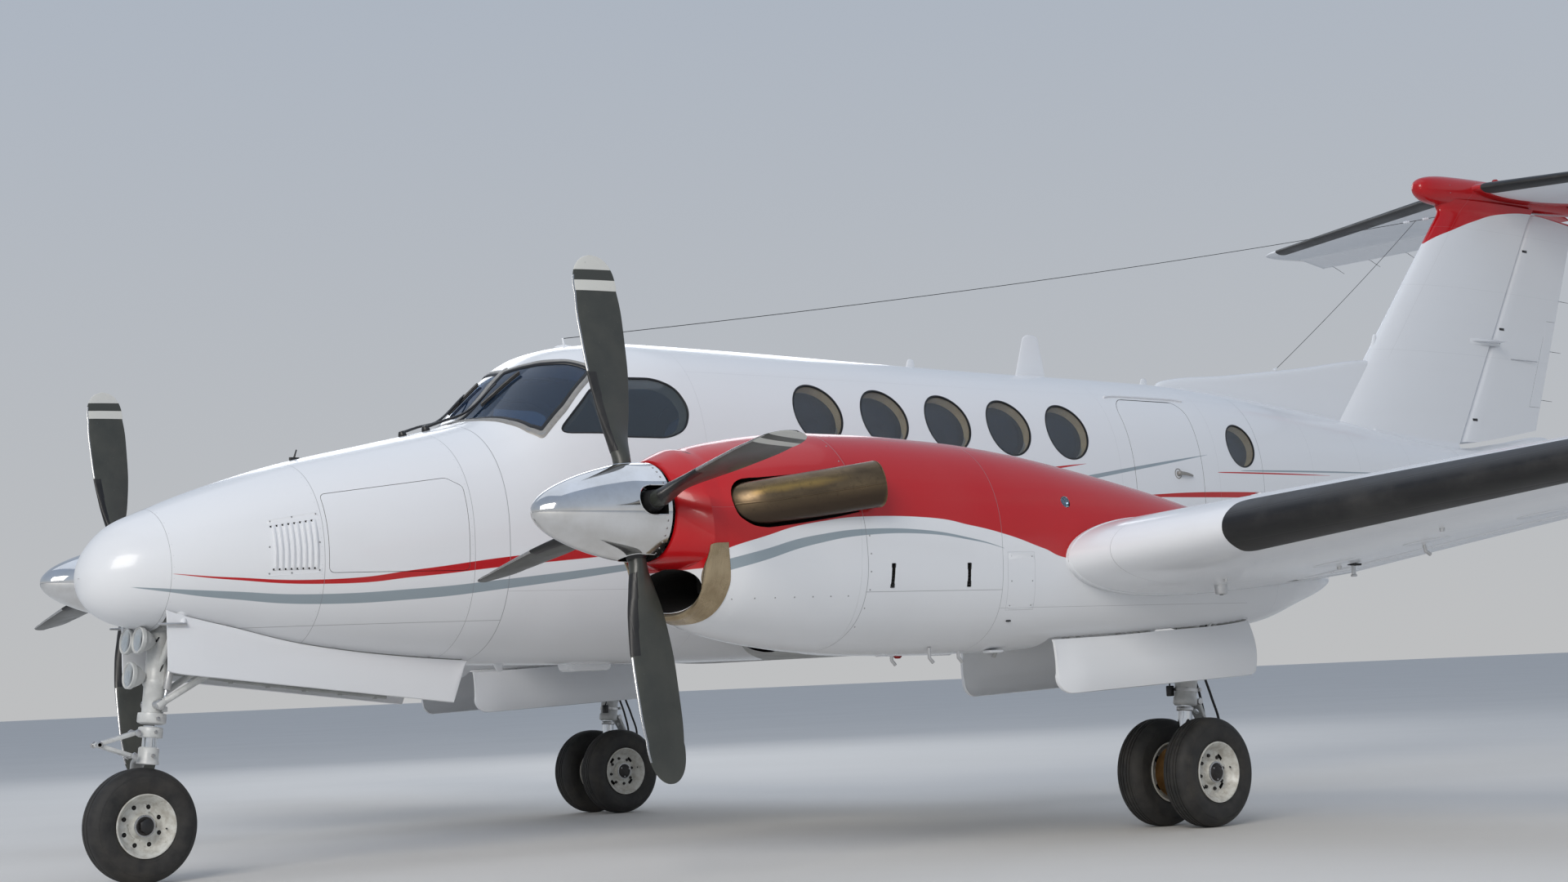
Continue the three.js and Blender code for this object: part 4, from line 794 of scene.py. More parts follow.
def paint(name, livery=None, seams=None, rivets=None, base=C_WHITE, dirt_and_shade=0.55, belly=None, rough=0.22):
    """Glossy aircraft paint: clear coat, faint orange peel, panel seams, flush rivets, streaks of dirt, and, where
    belly is given, a painted shade that browns the skin towards the bottom in place of shade and ground bounce.
    """
    g = Graph(name, base, rough, Coat_Weight=0.3, Coat_Roughness=0.05, Specular_IOR_Level=0.35)
    col = base
    if livery:
        col = livery(g)
    cloud = g.noise(.9, 3, .5)
    col = g.mix(cloud.ramp(.3, .8, 0, .035), col, (0.62, 0.60, 0.55))
    # streaks of dirt blown aft; with belly given, a painted shade is added below them, a brown darkening towards the
    # bottom that stands in for shade and light bounced off the ground
    streak = g.noise(3.0, 3, .5, vec=g.scaled((1.5, 0.10, 2.0)))
    streak_and_shade_amount = streak.ramp(.45, .85, 0, .05 * dirt_and_shade)
    # painted shade: browner and darker towards the belly, in the same brown as the dirt streaks
    if belly:
        streak_and_shade_amount = streak_and_shade_amount + g.z.ramp(belly[1], belly[0], 0, .12 * dirt_and_shade) * g.noise(1.6, 3, .5).ramp(.3, .7, .5, 1)
    col = g.mix(streak_and_shade_amount, col, (0.33, 0.29, 0.23))
    r = rough + g.noise(2.2, 3, .5).ramp(.3, .75, -.02, .03)
    if seams:
        m = seams(g)
        col = g.mix(m * 0.80, col, C_LINE)
        g.bump(m * -1.0, .6, .0008)
        r = r + m * .3
    if rivets:
        m = rivets(g)
        col = g.mix(m * 0.16, col, (0.30, 0.30, 0.31))
        g.bump(m, .35, .0005)
    g.bump(g.noise(85, 2, .5), .05, .0012)
    return g.done(col, r)


def dots(g, u, v, pitch, radius):
    """Row of round dots of one radius along u, centred on v = 0."""
    du = (u / pitch).mod(1.0) - 0.5
    d = ((du * pitch) * (du * pitch) + v * v).sqrt()
    return d.ramp(radius * .7, radius * 1.15, 1, 0)


# ------------------------------------------------------------------- livery
def fus_livery(g):
    s, z = g.s, g.z
    col = C_WHITE
    soft = .0016
    # red line from the nose, growing aft, and the wider grey one below it
    red = g.curve(s, [(-.29, 1.505), (-.04, 1.488), (.33, 1.450), (.77, 1.426), (1.23, 1.459), (1.72, 1.510), (2.39, 1.568), (3.0, 1.62)])
    half = g.curve(s, [(.04, .0008), (.33, .006), (.77, .011), (1.23, .018), (1.72, .024), (2.39, .028), (3.0, .026)])
    m = g.band(z - red, half, soft) * s.ramp(3.05, 3.0, 0, 1, smooth=False) * s.ramp(.04, .06)
    col = g.mix(m, col, C_RED)
    grey = g.curve(s, [(-.29, 1.444), (-.04, 1.411), (.33, 1.371), (.77, 1.342), (1.23, 1.356), (1.71, 1.396), (2.54, 1.485), (3.2, 1.56)])
    half = g.curve(s, [(-.14, .0008), (.04, .008), (.33, .018), (.77, .024), (1.23, .026), (1.71, .024), (2.54, .016), (3.2, .001)])
    m = g.band(z - grey, half, soft) * s.ramp(3.2, 3.15, 0, 1, smooth=False) * s.ramp(-.14, -.10)
    col = g.mix(m, col, C_GREY)
    # aft group: short red dart, long grey dart, lower red sweep, thin pair behind the door
    for pts, wid, c in (
            ([(5.20, 2.000), (5.55, 2.050), (5.93, 2.094)], [(5.20, .011), (5.6, .008), (5.93, .0005)], C_RED),
            ([(5.40, 1.935), (5.81, 1.990), (6.45, 2.085), (7.12, 2.182)], [(5.40, .014), (6.0, .013), (6.6, .009), (7.12, .0005)], C_GREY),
            ([(5.90, 1.872), (6.29, 1.890), (6.85, 1.913), (7.45, 1.925), (8.6, 1.935), (9.9, 1.945)],
             [(5.90, .004), (6.5, .009), (7.2, .018), (8.3, .018), (9.9, .0005)], C_RED),
            ([(7.20, 2.068), (7.7, 2.074), (8.5, 2.080)], [(7.20, .0005), (7.6, .005), (8.5, .0005)], C_RED),
            ([(7.45, 2.085), (8.1, 2.098), (9.3, 2.118)], [(7.45, .0005), (8.1, .006), (9.3, .0005)], C_GREY)):
        c0, c1 = pts[0][0], pts[-1][0]
        d = z - g.curve(s, pts)
        m = g.band(d, g.curve(s, wid), soft) * g.band(s - (c0 + c1) / 2, (c1 - c0) / 2, .002)
        col = g.mix(m, col, c)
    return col


def nac_livery(g):
    s, z = g.s, g.z
    edge = g.curve(s, [(1.10, 1.285), (1.20, 1.300), (1.29, 1.330), (1.335, 1.405), (1.528, 1.468), (1.836, 1.534), (2.109, 1.557), (2.410, 1.556), (2.718, 1.520),
                       (2.952, 1.476), (3.195, 1.410), (3.40, 1.360), (4.2, 1.335), (5.8, 1.275)])
    col = g.mix((z - edge).ramp(-.0015, .0015), C_WHITE, C_RED)
    sw = g.curve(s, [(1.20, 1.298), (1.293, 1.328), (1.523, 1.387), (1.808, 1.455), (2.105, 1.488), (2.405, 1.489), (2.714, 1.456), (2.93, 1.412)])
    wd = g.curve(s, [(1.20, .026), (1.523, .024), (1.95, .016), (2.405, .009), (2.70, .005), (2.93, .0008)])
    m = g.band(z - sw, wd, .0016) * s.ramp(2.93, 2.92, 0, 1, smooth=False) * s.ramp(1.325, 1.33)
    return g.mix(m, col, C_GREY)


def tail_livery(g):
    s, z = g.s, g.z
    edge = g.curve(s, [(10.30, 3.80), (10.459, 3.902), (10.613, 3.997), (10.84, 4.079), (11.103, 4.165), (11.435, 4.245), (11.881, 4.284), (12.447, 4.258), (12.9, 4.22)])
    # the stabilizer is red at its root only
    near = (g.x.abs() - (s - 11.0) * .04).ramp(.185, .188, 1, 0)
    return g.mix((z - edge).ramp(-.0015, .0015) * near, C_WHITE, C_RED)


# ---------------------------------------------------------- seams and rivets
def seg_line(g, along, a, b, across, half=.0011):
    """Straight seam where across = 0, from a to b along."""
    return g.band(across, half, .0008) * g.band(along - (a + b) / 2, (b - a) / 2, .001)


def fus_seams(g):
    s, z, x = g.s, g.z, g.x
    m = g.lines(s, [0.04, 1.74, 7.70, 10.40], .0016)
    m = m.max(g.lines(s, [0.762, 1.545], .0011))
    m = m.max(g.lines(s, [2.985, 6.245, 7.215, 8.30, 8.90, 9.60, 11.05], .0007, .0006) * .55)
    m = m.max(seg_line(g, s, 0.04, 1.74, z - 1.215, .0010))
    m = m.max(seg_line(g, s, 1.74, 7.70, z - 1.36, .0009) * .6)
    m = m.max(seg_line(g, s, 2.985, 7.70, z - 2.560, .0007) * .4)
    return m


def fus_rivets(g):
    s, z, x = g.s, g.z, g.x
    m = dots(g, z, s - 0.748, .045, .0032)
    m = m.max(dots(g, z, s - 1.531, .045, .0030))
    m = m.max(dots(g, z, s - 0.052, .055, .0030))
    for a in (7.69, 8.31, 8.91, 9.61, 10.39, 10.41):
        m = m.max(dots(g, z, s - a, .030, .0021))
    m = m.max(dots(g, s, z - 2.552, .030, .0018) * g.band(s - 8.6, 1.0, .01))
    return m


def nac_seams(g):
    s, z = g.s, g.z
    a = g.curve(z, [(.90, 1.975), (1.02, 2.061), (1.218, 2.088), (1.419, 2.081), (1.70, 2.05), (1.97, 2.03)])
    m = g.band(s - a, .0014, .0008)
    b = g.curve(z, [(.93, 2.84), (1.075, 2.901), (1.22, 2.912), (1.495, 2.916), (1.95, 2.915)])
    m = m.max(g.band(s - b, .0011, .0008))
    m = m.max(seg_line(g, s, 2.085, 2.912, z - 1.220, .0010))
    m = m.max(seg_line(g, s, 2.912, 4.70, z - 1.135, .0009) * .7)
    m = m.max(g.lines(s, [4.96], .0008) * .7)
    m = m.max(seg_line(g, s, 1.30, 2.05, z - 1.60, .0007) * .4)
    # small square hatch behind the second seam
    d = ((s - 3.035).abs() - .088).max((z - 1.26).abs() - .135)
    m = m.max(g.band(d, .0010, .0008) * .55)
    return m


def wing_seams(g):
    x, s = g.x.abs(), g.s
    m = g.lines(x, [3.068, 3.30, 4.55, 5.74, 7.962], .0009)
    # spar lines run parallel to the sweep
    f = s - (3.332 + (x - 3.06) * 0.2)
    m = m.max(g.band(f - (0.36 - (x - 3.06) * 0.035), .0008) * .6)
    m = m.max(g.band(f - (1.35 - (x - 3.06) * 0.165), .0008) * .6)
    # round fuel cap and access plates
    for cx, cs, r in ((3.82, 3.86, .045), (6.9, 4.42, .035)):
        d = ((x - cx) * (x - cx) + (s - cs) * (s - cs)).sqrt() - r
        m = m.max(g.band(d, .0010, .0008))
    return m


def wing_rivets(g):
    x, s = g.x.abs(), g.s
    f = s - (3.332 + (x - 3.06) * 0.2)
    m = dots(g, x, f - (0.345 - (x - 3.06) * 0.035), .028, .0020)
    m = m.max(dots(g, x, f - (1.335 - (x - 3.06) * 0.165), .028, .0020))
    m = m.max(dots(g, x, f - (1.365 - (x - 3.06) * 0.165), .028, .0020))
    for a in (3.285, 4.535, 4.565, 5.725):
        m = m.max(dots(g, s, x - a, .028, .0020))
    return m


def tail_seams(g):
    s, z, x = g.s, g.z, g.x
    le = (z - 2.36) * 0.8642 + 9.160
    m = g.band(s - le - .17, .0008) * .5 * z.ramp(3.0, 3.1)
    m = m.max(g.lines(z, [3.10, 3.62, 4.10], .0007) * .4 * x.abs().ramp(.14, .13, 0, 1))
    xx = x.abs()
    m = m.max(g.lines(xx, [.62, 1.45, 2.30], .0007) * .5 * z.ramp(4.2, 4.25))
    return m


MAT = {}
MAT["fuselage"] = paint("paint_fuselage", fus_livery, fus_seams, fus_rivets, belly=(1.0, 1.5))
MAT["nacelle"] = paint("paint_nacelle", nac_livery, nac_seams, None, belly=(1.0, 1.35), dirt_and_shade=.8)
MAT["wing"] = paint("paint_wing", None, wing_seams, wing_rivets, dirt_and_shade=.6)
MAT["tail"] = paint("paint_tail", tail_livery, tail_seams, None, dirt_and_shade=.4)
MAT["white"] = paint("paint_plain_white", None, None, None, dirt_and_shade=.5)
MAT["red"] = paint("paint_plain_red", lambda g: g.mix(0.0, C_RED, C_RED), None, None, dirt_and_shade=.3)
MAT["radome"] = paint("paint_radome", fus_livery, None, None, dirt_and_shade=.7, rough=.30)


def radial(g):
    """Distance from a propeller's axis, the same on both sides."""
    dx, dz = g.x.abs() - NX, g.z - PROP_Z
    return (dx * dx + dz * dz).sqrt()


def simple(name, color, rough=.5, metal=0.0, var=.25, scale=14, bump=.15, bump_scale=90, dark=None, **c):
    """Plain finish with uneven tone, gloss and fine surface texture."""
    g = Graph(name, color, rough, metal, **c)
    dark = dark or tuple(v * (1 - .55 * var) for v in color)
    n = g.noise(scale, 5, .62)
    base = g.mix(n.ramp(.32, .72), dark, color)
    g.bump(g.noise(bump_scale, 3, .6), bump, .0012)
    return g.done(base, rough + g.noise(scale * 1.7, 4, .6).ramp(.3, .75, -.07, .09))


MAT["lining"] = simple("cabin_lining", (.52, .47, .38), .75, var=.12, bump_scale=380, bump=.25)
MAT["reveal"] = simple("window_reveal", (.55, .43, .26), .45, var=.18, scale=22)
MAT["zinc"] = simple("green_primer", (.28, .30, .14), .6, var=.3)
MAT["well"] = simple("wheel_well", (.50, .51, .50), .55, var=.4, scale=7)
MAT["rubber"] = simple("rubber_black", (.014, .014, .015), .55, var=.5, bump=.2)
MAT["gasket"] = simple("window_gasket", (.010, .010, .011), .42, var=.4)
MAT["black"] = simple("black_plastic", (.018, .018, .019), .38, var=.4)
MAT["frame"] = simple("window_frame_metal", (.36, .345, .32), .46, .40, var=.25, scale=40)
MAT["steel"] = simple("bare_steel", (.52, .52, .52), .30, 1.0, var=.3, scale=30)
MAT["screw"] = simple("screw_heads", (.42, .42, .42), .35, 1.0, var=.3, scale=60)
MAT["alu"] = simple("bare_aluminium", (.66, .66, .66), .34, 1.0, var=.2, scale=30)
MAT["chrome"] = simple("chromed_piston", (.78, .80, .82), .07, 1.0, var=.08, bump=.03)
MAT["gear"] = simple("gear_paint", (.63, .64, .63), .38, 0.0, var=.35, scale=18, Coat_Weight=.3, Coat_Roughness=.2)
# near-black painted shade for the faces of cut holes, ducts, gaps and slots; inside the exhaust stacks it also stands
# for real soot
MAT["dark"] = simple("painted_shade_inside", (.012, .011, .010), .8, var=.4)
MAT["bulb"] = simple("lamp_reflector", (.80, .80, .78), .10, 1.0, var=.1, bump=.05)
MAT["orange"] = simple("brass_fitting", (.55, .35, .12), .35, .9, var=.3)


def mat_polished():
    """Polished spinner: mirror metal with fine turning marks and haze."""
    g = Graph("polished_metal", (.80, .80, .80), .06, 1.0)
    haze = g.noise(7, 5, .6)
    base = g.mix(haze.ramp(.3, .75), (.82, .82, .82), (.70, .69, .67))
    turn = g.noise(260, 2, .5, vec=g.scaled((.15, 3.0, .15)))
    g.bump(turn, .02, .0006)
    return g.done(base, haze.ramp(.3, .8, .045, .11) + turn.ramp(.4, .9, 0, .03))


def mat_lip():
    """Inlet lip: brushed metal gone bronze with heat and weather."""
    g = Graph("bronzed_lip", (.42, .33, .21), .28, 1.0)
    n = g.noise(7, 4, .6)
    brush = g.noise(60, 3, .6, vec=g.scaled((.25, 3.0, .25)))
    c = g.mix(n.ramp(.32, .70), (.50, .40, .26), (.36, .275, .17))
    c = g.mix(brush.ramp(.45, .8, 0, .35), c, (.20, .15, .095))
    g.bump(brush, .06, .0008)
    return g.done(c, n.ramp(.3, .75, .22, .36))


def mat_stack():
    """Exhaust stack: steel browned by heat, a painted highlight as a golden band along its upper front, and painted
    shade darkening it below its centre line.
    """
    g = Graph("heated_steel", (.17, .12, .07), .34, 1.0)
    s, z = g.s, g.z
    n = g.noise(6, 5, .65, vec=g.scaled((1, .5, 1.4)))
    fine = g.noise(42, 4, .6)
    # height above the duct's own centre line, which climbs aft
    up = z - (s - 1.61) * .14 - 1.628
    c = g.mix(n.ramp(.36, .68), (.235, .165, .095), (.145, .105, .066))
    # painted shade: darker below the duct's centre line
    c = g.mix((up + n * .05).ramp(.035, -.030, 0, 1), c, (.085, .062, .045))
    # painted highlight: a golden band along the top of the tube, where the light catches it
    painted_highlight = g.band(up - .052 + (n - .5) * .05, .010, .016) * s.ramp(1.45, 1.53) * s.ramp(1.98, 1.72, 0, 1)
    c = g.mix(painted_highlight * .85, c, (.60, .38, .12))
    edge = s.ramp(2.095, 2.125)
    c = g.mix(edge, c, (.26, .175, .085))
    c = g.mix(fine.ramp(.5, .8, 0, .4), c, (.065, .048, .036))
    g.bump(fine, .12, .0015)
    return g.done(c, n.ramp(.3, .7, .22, .44))


def mat_blade(banded):
    g = Graph("blade_banded" if banded else "blade_plain", (.030, .034, .036), .42, 0.0, Coat_Weight=.25, Coat_Roughness=.25)
    n = g.noise(5, 4, .6)
    c = g.mix(n.ramp(.3, .7), (.036, .039, .033), (.056, .058, .048))
    if banded:
        r = radial(g)
        c = g.mix(r.ramp(1.0245, 1.0255), c, (.62, .62, .58))
        c = g.mix(r.ramp(1.0745, 1.0755), c, (.040, .043, .036))
        c = g.mix(r.ramp(1.1245, 1.1255), c, (.60, .60, .57))
    nick = g.noise(70, 3, .7)
    c = g.mix(nick.ramp(.66, .75, 0, .35), c, (.16, .16, .15))
    g.bump(g.noise(120, 2, .5), .08, .0008)
    return g.done(c, n.ramp(.3, .7, .34, .50))


def mat_boot(name, axis):
    """Rubber de-icing boot: black, faint seams along the span, scuffs and dust."""
    g = Graph(name, (.013, .013, .014), .40, Specular_IOR_Level=.45)
    n = g.noise(3.4, 5, .65)
    c = g.mix(n.ramp(.4, .75), (.011, .011, .012), (.034, .033, .032))
    r = n.ramp(.3, .75, .30, .52)
    rib = (axis(g) / .045).mod(1.0)
    m = (rib - .5).abs().ramp(.0, .06, 1, 0)
    g.bump(m * -1, .35, .0010)
    g.bump(g.noise(60, 3, .6), .10, .0015)
    return g.done(c, r)


def mat_glass(name, color, trans=.9, rough=.02, ior=1.5):
    g = Graph(name, color, rough, 0.0, Transmission_Weight=trans, IOR=ior)
    n = g.noise(2.0, 2, .5)
    return g.done(g.mix(n.ramp(.35, .8, 0, .3), color, tuple(min(1, v * 1.25 + .002) for v in color)), n.ramp(.35, .8, rough, rough + .012))


def mat_tyre():
    """Tyre rubber: patches of dust and fine grain."""
    g = Graph("tyre_rubber", (.02, .02, .02), .75)
    n = g.noise(16, 5, .65)
    c = g.mix(n.ramp(.3, .75), (.014, .014, .014), (.040, .038, .036))
    low = g.noise(5, 4, .6).ramp(.45, .7, 0, .35)
    c = g.mix(low, c, (.075, .065, .052))
    g.bump(g.noise(220, 3, .6), .25, .0010)
    return g.done(c, n.ramp(.3, .75, .62, .82))


def mat_rim():
    """Painted wheel: off-white enamel, brake dust and chips to metal."""
    g = Graph("wheel_paint", (.62, .62, .58), .42, Coat_Weight=.25, Coat_Roughness=.25)
    n = g.noise(24, 5, .65)
    c = g.mix(n.ramp(.35, .7), (.66, .66, .62), (.47, .45, .40))
    chip = g.noise(75, 4, .7).ramp(.64, .70)
    c = g.mix(chip * .8, c, (.20, .15, .10))
    g.bump(n, .10, .0012)
    return g.done(c, n.ramp(.3, .75, .34, .55))


def mat_cloth():
    """Woven seat cloth."""
    g = Graph("seat_cloth", (.33, .27, .19), .88, Sheen_Weight=.35)
    wx = (g.x * 900).sin() * (g.y * 900).sin()
    wz = (g.x * 900).sin() * (g.z * 900).sin()
    w = (wx + wz) * .5
    n = g.noise(26, 4, .6)
    c = g.mix(n.ramp(.3, .75), (.36, .295, .205), (.27, .22, .15))
    c = g.mix(w.ramp(-.6, .6, 0, .25), c, (.20, .16, .11))
    g.bump(w, .25, .0006)
    return g.done(c, .88)


def mat_carpet():
    g = Graph("carpet", (.10, .085, .07), .95, Sheen_Weight=.3)
    n = g.noise(320, 3, .7)
    big = g.noise(4, 4, .6)
    c = g.mix(n.ramp(.35, .7), (.060, .050, .042), (.15, .13, .11))
    c = g.mix(big.ramp(.4, .7, 0, .3), c, (.05, .045, .04))
    g.bump(n, .5, .003)
    return g.done(c, .95)


def mat_panel():
    """Instrument panel face: grey wrinkle paint."""
    g = Graph("panel_face", (.10, .105, .11), .55)
    n = g.noise(300, 3, .6)
    g.bump(n, .3, .0008)
    return g.done(g.mix(g.noise(9, 3).ramp(.3, .7), (.085, .09, .095), (.12, .125, .13)), .55)


def mat_screen():
    """Display glass, switched off, with a faint uneven tone."""
    g = Graph("display_glass", (.010, .014, .022), .08, Coat_Weight=.5, Coat_Roughness=.03)
    n = g.noise(12, 3)
    return g.done(g.mix(n.ramp(.3, .7), (.008, .012, .020), (.016, .022, .032)), .09)


def mat_lens(name, color, emit=0.0):
    g = Graph(name, color, .05, 0.0, Transmission_Weight=.7, IOR=1.5)
    ring = (g.z * 420).sin()
    g.bump(ring, .15, .001)
    if emit:
        g.set("Emission Strength", emit)
        g.set("Emission Color", (*color, 1))
    return g.done(g.mix(g.noise(30, 3).ramp(.3, .7, 0, .3), color, tuple(min(1, v * 1.2) for v in color)), .06)


MAT["polished"], MAT["lip"] = mat_polished(), mat_lip()
MAT["stack"] = mat_stack()
MAT["blade_a"], MAT["blade_b"] = mat_blade(False), mat_blade(True)
MAT["boot_wing"] = mat_boot("boot_wing", lambda g: g.z - g.x.abs() * .105)
MAT["boot_stab"] = mat_boot("boot_stab", lambda g: g.z)
MAT["boot_prop"] = mat_boot("boot_prop", lambda g: g.s)
MAT["cabin_glass"] = mat_glass("tinted_acrylic", (.028, .058, .110), .80, ior=1.25)
MAT["cockpit_glass"] = mat_glass("tinted_glass", (.36, .44, .52), .94)
MAT["screen_glass"] = mat_glass("tinted_screen", (.085, .165, .30), .90)
MAT["clear"] = mat_glass("clear_glass", (.86, .90, .93), .96, ior=1.22)
MAT["tyre"], MAT["rim"] = mat_tyre(), mat_rim()
MAT["cloth"], MAT["carpet"] = mat_cloth(), mat_carpet()
MAT["panel"], MAT["display"] = mat_panel(), mat_screen()
MAT["lens_red"], MAT["lens_green"] = mat_lens("lens_red", (.6, .02, .02)), mat_lens("lens_green", (.02, .35, .12))
MAT["leather"] = simple("trim_leather", (.13, .085, .05), .5, var=.25, bump_scale=240, bump=.3)




# ================================================================= fuselage
NF = 128
# skin materials by face number: 0 outside, 1 lining, 2 reveal of doors, 3 wells and bays
FUS_MATS = [MAT["fuselage"], MAT["lining"], MAT["frame"], MAT["well"]]


def fus_solid(s0, s1, off=0.0, step=0.04, mat=0, n=NF, extra=()):
    s = np.linspace(s0, s1, max(2, int(math.ceil((s1 - s0) / step)) + 1))
    s = np.unique(np.concatenate([s, [e for e in extra if s0 < e < s1]]))
    return loft(superellipse(fus_rows(s), s, n, off), mat)


def nose_cap():
    t = np.linspace(0.008, math.sqrt(0.0398 - NOSE0), 34)
    s = t * t + NOSE0
    return loft(superellipse(fus_rows(s), s, NF), 0, fan=True)


G = 0.0002
piece("nose_cone_skin", nose_cap(), [MAT["radome"]], replaces="nose_cone")

# --- nose section with its wheel well and the two equipment bays
nose = fus_solid(0.04 + G, 1.74 - G, step=.03)
well = box(-0.235, 0.235, 0.06, 1.70, 0.6, 1.43, 3)
door_line = rounded(AVIONICS, [.03, .03, .03, .05, .03])


def side_prism(outline, x0=.3, x1=.9, mat=0):
    return prism(outline, "x", x0, x1, mat)


bay = lambda: keep(side_prism(grow(door_line, -.022), .262, .9, 3), fus_solid(.5, 1.73, -.030, mat=3))
doorway = lambda: boolean(raw(side_prism(grow(door_line, .0025), .35, .9, 2)), raw(fus_solid(.4, 1.73, -.034, mat=2)))
nose_me = cut(nose, well)
for m in (bay(), mirror_mesh(bay()), doorway(), mirror_mesh(doorway())):
    nose_me = boolean(nose_me, m)
piece("nose_section_skin", nose_me, FUS_MATS, replaces="nose_section")

# equipment seen in the bays once their doors are up
for side, q in (("left", 1), ("right", -1)):
    g = Geo()
    for k, (s0, s1, z0, z1) in enumerate(((.83, 1.01, 1.50, 1.72), (1.03, 1.20, 1.50, 1.78), (1.22, 1.33, 1.50, 1.66), (1.35, 1.48, 1.50, 1.74))):
        xa = .285
        g.join(rbox((xa + .028, (s0 + s1) / 2, (z0 + z1) / 2), (.055, s1 - s0, z1 - z0), .006, k % 2))
        g.join(rbox((xa + .060, (s0 + s1) / 2, z1 - .035), (.012, .09, .012), .004, 1))
        for ss in (s0 + .02, s1 - .02):
            for zz in (z0 + .02, z1 - .02):
                g.join(revolve([(0, 0), (.006, 0), (.006, .003), (.004, .005), (0, .005)], (xa + .054, ss, zz), (1, 0, 0), 10, 2))
        for j in range(3):
            cs, cz = s0 + .035 + .045 * j, z0 + .05
            if cs < s1 - .02:
                g.join(revolve([(0, 0), (.013, 0), (.013, .014), (.009, .016), (0, .016)], (xa + .054, cs, cz), (1, 0, 0), 14, 2))
        if k:
            g.join(tube(smooth_path([(xa + .068, s0 + .035, z0 + .05), (xa + .082, s0 - .01, z0 + .03), (xa + .068, s0 - .06, z0 + .05)], 12), .0045, 8, 1))
    for zz in (1.492, 1.80):
        g.join(rbox((.29, 1.15, zz), (.03, .70, .010), .003, 3))
    both_g = g if q > 0 else g.mirrored()
    piece(f"bay_equipment_{side}", both_g, [MAT["gear"], MAT["black"], MAT["steel"], MAT["alu"]])


av = keep(side_prism(door_line, .3, .95, 2), fus_solid(.5, 1.73, step=.03))
av = boolean(av, raw(fus_solid(.4, 1.80, -.012, mat=3)))
g = Geo()
# stiffeners inside
for s in (.92, 1.10, 1.28, 1.44):
    zt = np.interp(s, [.785, 1.44, 1.515], [1.862, 1.945, 1.90]) - .03
    zz = np.linspace(1.50, zt, 12)
    p = np.stack([fus_x(np.full(12, s), zz, -.016), np.full(12, s), zz], 1)
    g.join(tube(p, .0065, 6, 0, aspect=1.6, hint=(0, 1, 0)))
ss = np.linspace(.83, 1.47, 20)
for z in (1.54, 1.72):
    g.join(tube(np.stack([fus_x(ss, np.full(20, z), -.016), ss, np.full(20, z)], 1), .0055, 6, 0))
both("avionics_door_stiffeners_{side}", g, [MAT["well"]], "avionics_hatch_{side}")
both("avionics_door_skin_{side}", av, [MAT["fuselage"], MAT["well"], MAT["frame"], MAT["well"]], "avionics_hatch_{side}", ["avionics_door_{side}"])


def fus_n(s, z):
    """Outward normal of the port skin at (s, z), in (x, s, z)."""
    e = 2e-3
    dx_ds = (fus_x(s + e, z) - fus_x(s - e, z)) / (2 * e)
    dx_dz = (fus_x(s, z + e) - fus_x(s, z - e)) / (2 * e)
    n = np.stack([np.ones_like(dx_ds), -dx_ds, -dx_dz], -1)
    return n / np.linalg.norm(n, axis=-1, keepdims=True)


def on_side(o, d=0.0):
    """Side outline (s, z) on the port skin, d metres proud along the normal."""
    o = np.asarray(o, float)
    s, z = o[:, 0], o[:, 1]
    return np.stack([fus_x(s, z), s, z], 1) + fus_n(s, z) * d


def on_top(o, d=0.0):
    """Plan outline (x, s) on the upper skin, d metres proud along the normal."""
    o = np.asarray(o, float)
    x, s = o[:, 0], o[:, 1]
    e = 2e-3
    dz_dx = (fus_top(x + e, s) - fus_top(x - e, s)) / (2 * e)
    dz_ds = (fus_top(x, s + e) - fus_top(x, s - e)) / (2 * e)
    n = np.stack([-dz_dx, -dz_ds, np.ones_like(x)], 1)
    n /= np.linalg.norm(n, axis=1, keepdims=True)
    return np.stack([x, s, fus_top(x, s)], 1) + n * d


def strip(outline, profile, where, mat=0):
    """Closed band round an outline: profile is (outwards, proud) points in turn."""
    return outward(loft([where(grow(outline, a), d) for a, d in profile], mat, close=True))


def rail(path, profile, where, mat=0):
    """Open band along a 2-D path on the skin; profile is (sideways, proud)."""
    p = np.asarray(path, float)
    t = np.gradient(p, axis=0)
    t /= np.linalg.norm(t, axis=1, keepdims=True)
    n = np.stack([-t[:, 1], t[:, 0]], 1)
    lines = [where(p + n * a, d) for a, d in profile]
    return outward(loft(np.stack(lines, 1), mat))


def skin_bolt(s, z, r=.0035, h=.0012, mat=0, d=0.0):
    p = on_side([(s, z)], d)[0]
    n = fus_n(np.array([s]), np.array([z]))[0]
    return revolve([(0, 0), (r, 0), (r * .9, h * .7), (r * .5, h), (0, h)], p, n, 10, mat)


def top_bolt(x, s, r=.0035, h=.0012, mat=0, d=0.0):
    a = on_top([(x, s)], d)[0]
    b = on_top([(x, s)], d + .01)[0]
    return revolve([(0, 0), (r, 0), (r * .9, h * .7), (r * .5, h), (0, h)], a, b - a, 10, mat)


# --- cabin shell: skin and lining with windows, door and exit cut through
shell = fus_solid(1.74 + G, 7.70 - G, extra=(1.80, 1.835, 1.87))
inner = keep(fus_solid(1.86, 7.62, -.080, step=.08, mat=1), box(-1, 1, 1.86, 7.62, FLOOR_Z - .035, 3, 1))
shell_me = boolean(raw(shell), inner)
screen_line = np.array(SCREEN + [(-x, s) for x, s in SCREEN[::-1][1:-1]])
screen_line = rounded(screen_line, [0, .25, .3, .08, .035, .5, .3, .03, .3, .25, 0, .25, .3, .03, .3, .5, .035, .08, .3, .25])
storm = rounded(STORM, [.035, .02, .035])
sidewin = rounded(SIDEWIN, [.03, .40, .40, .40, .40, .40, .03, .2])
door_hole = round_rect(DOOR[0] - .003, DOOR[1] + .003, DOOR[2] - .003, DOOR[3] + .003, DOOR[4] + .002)
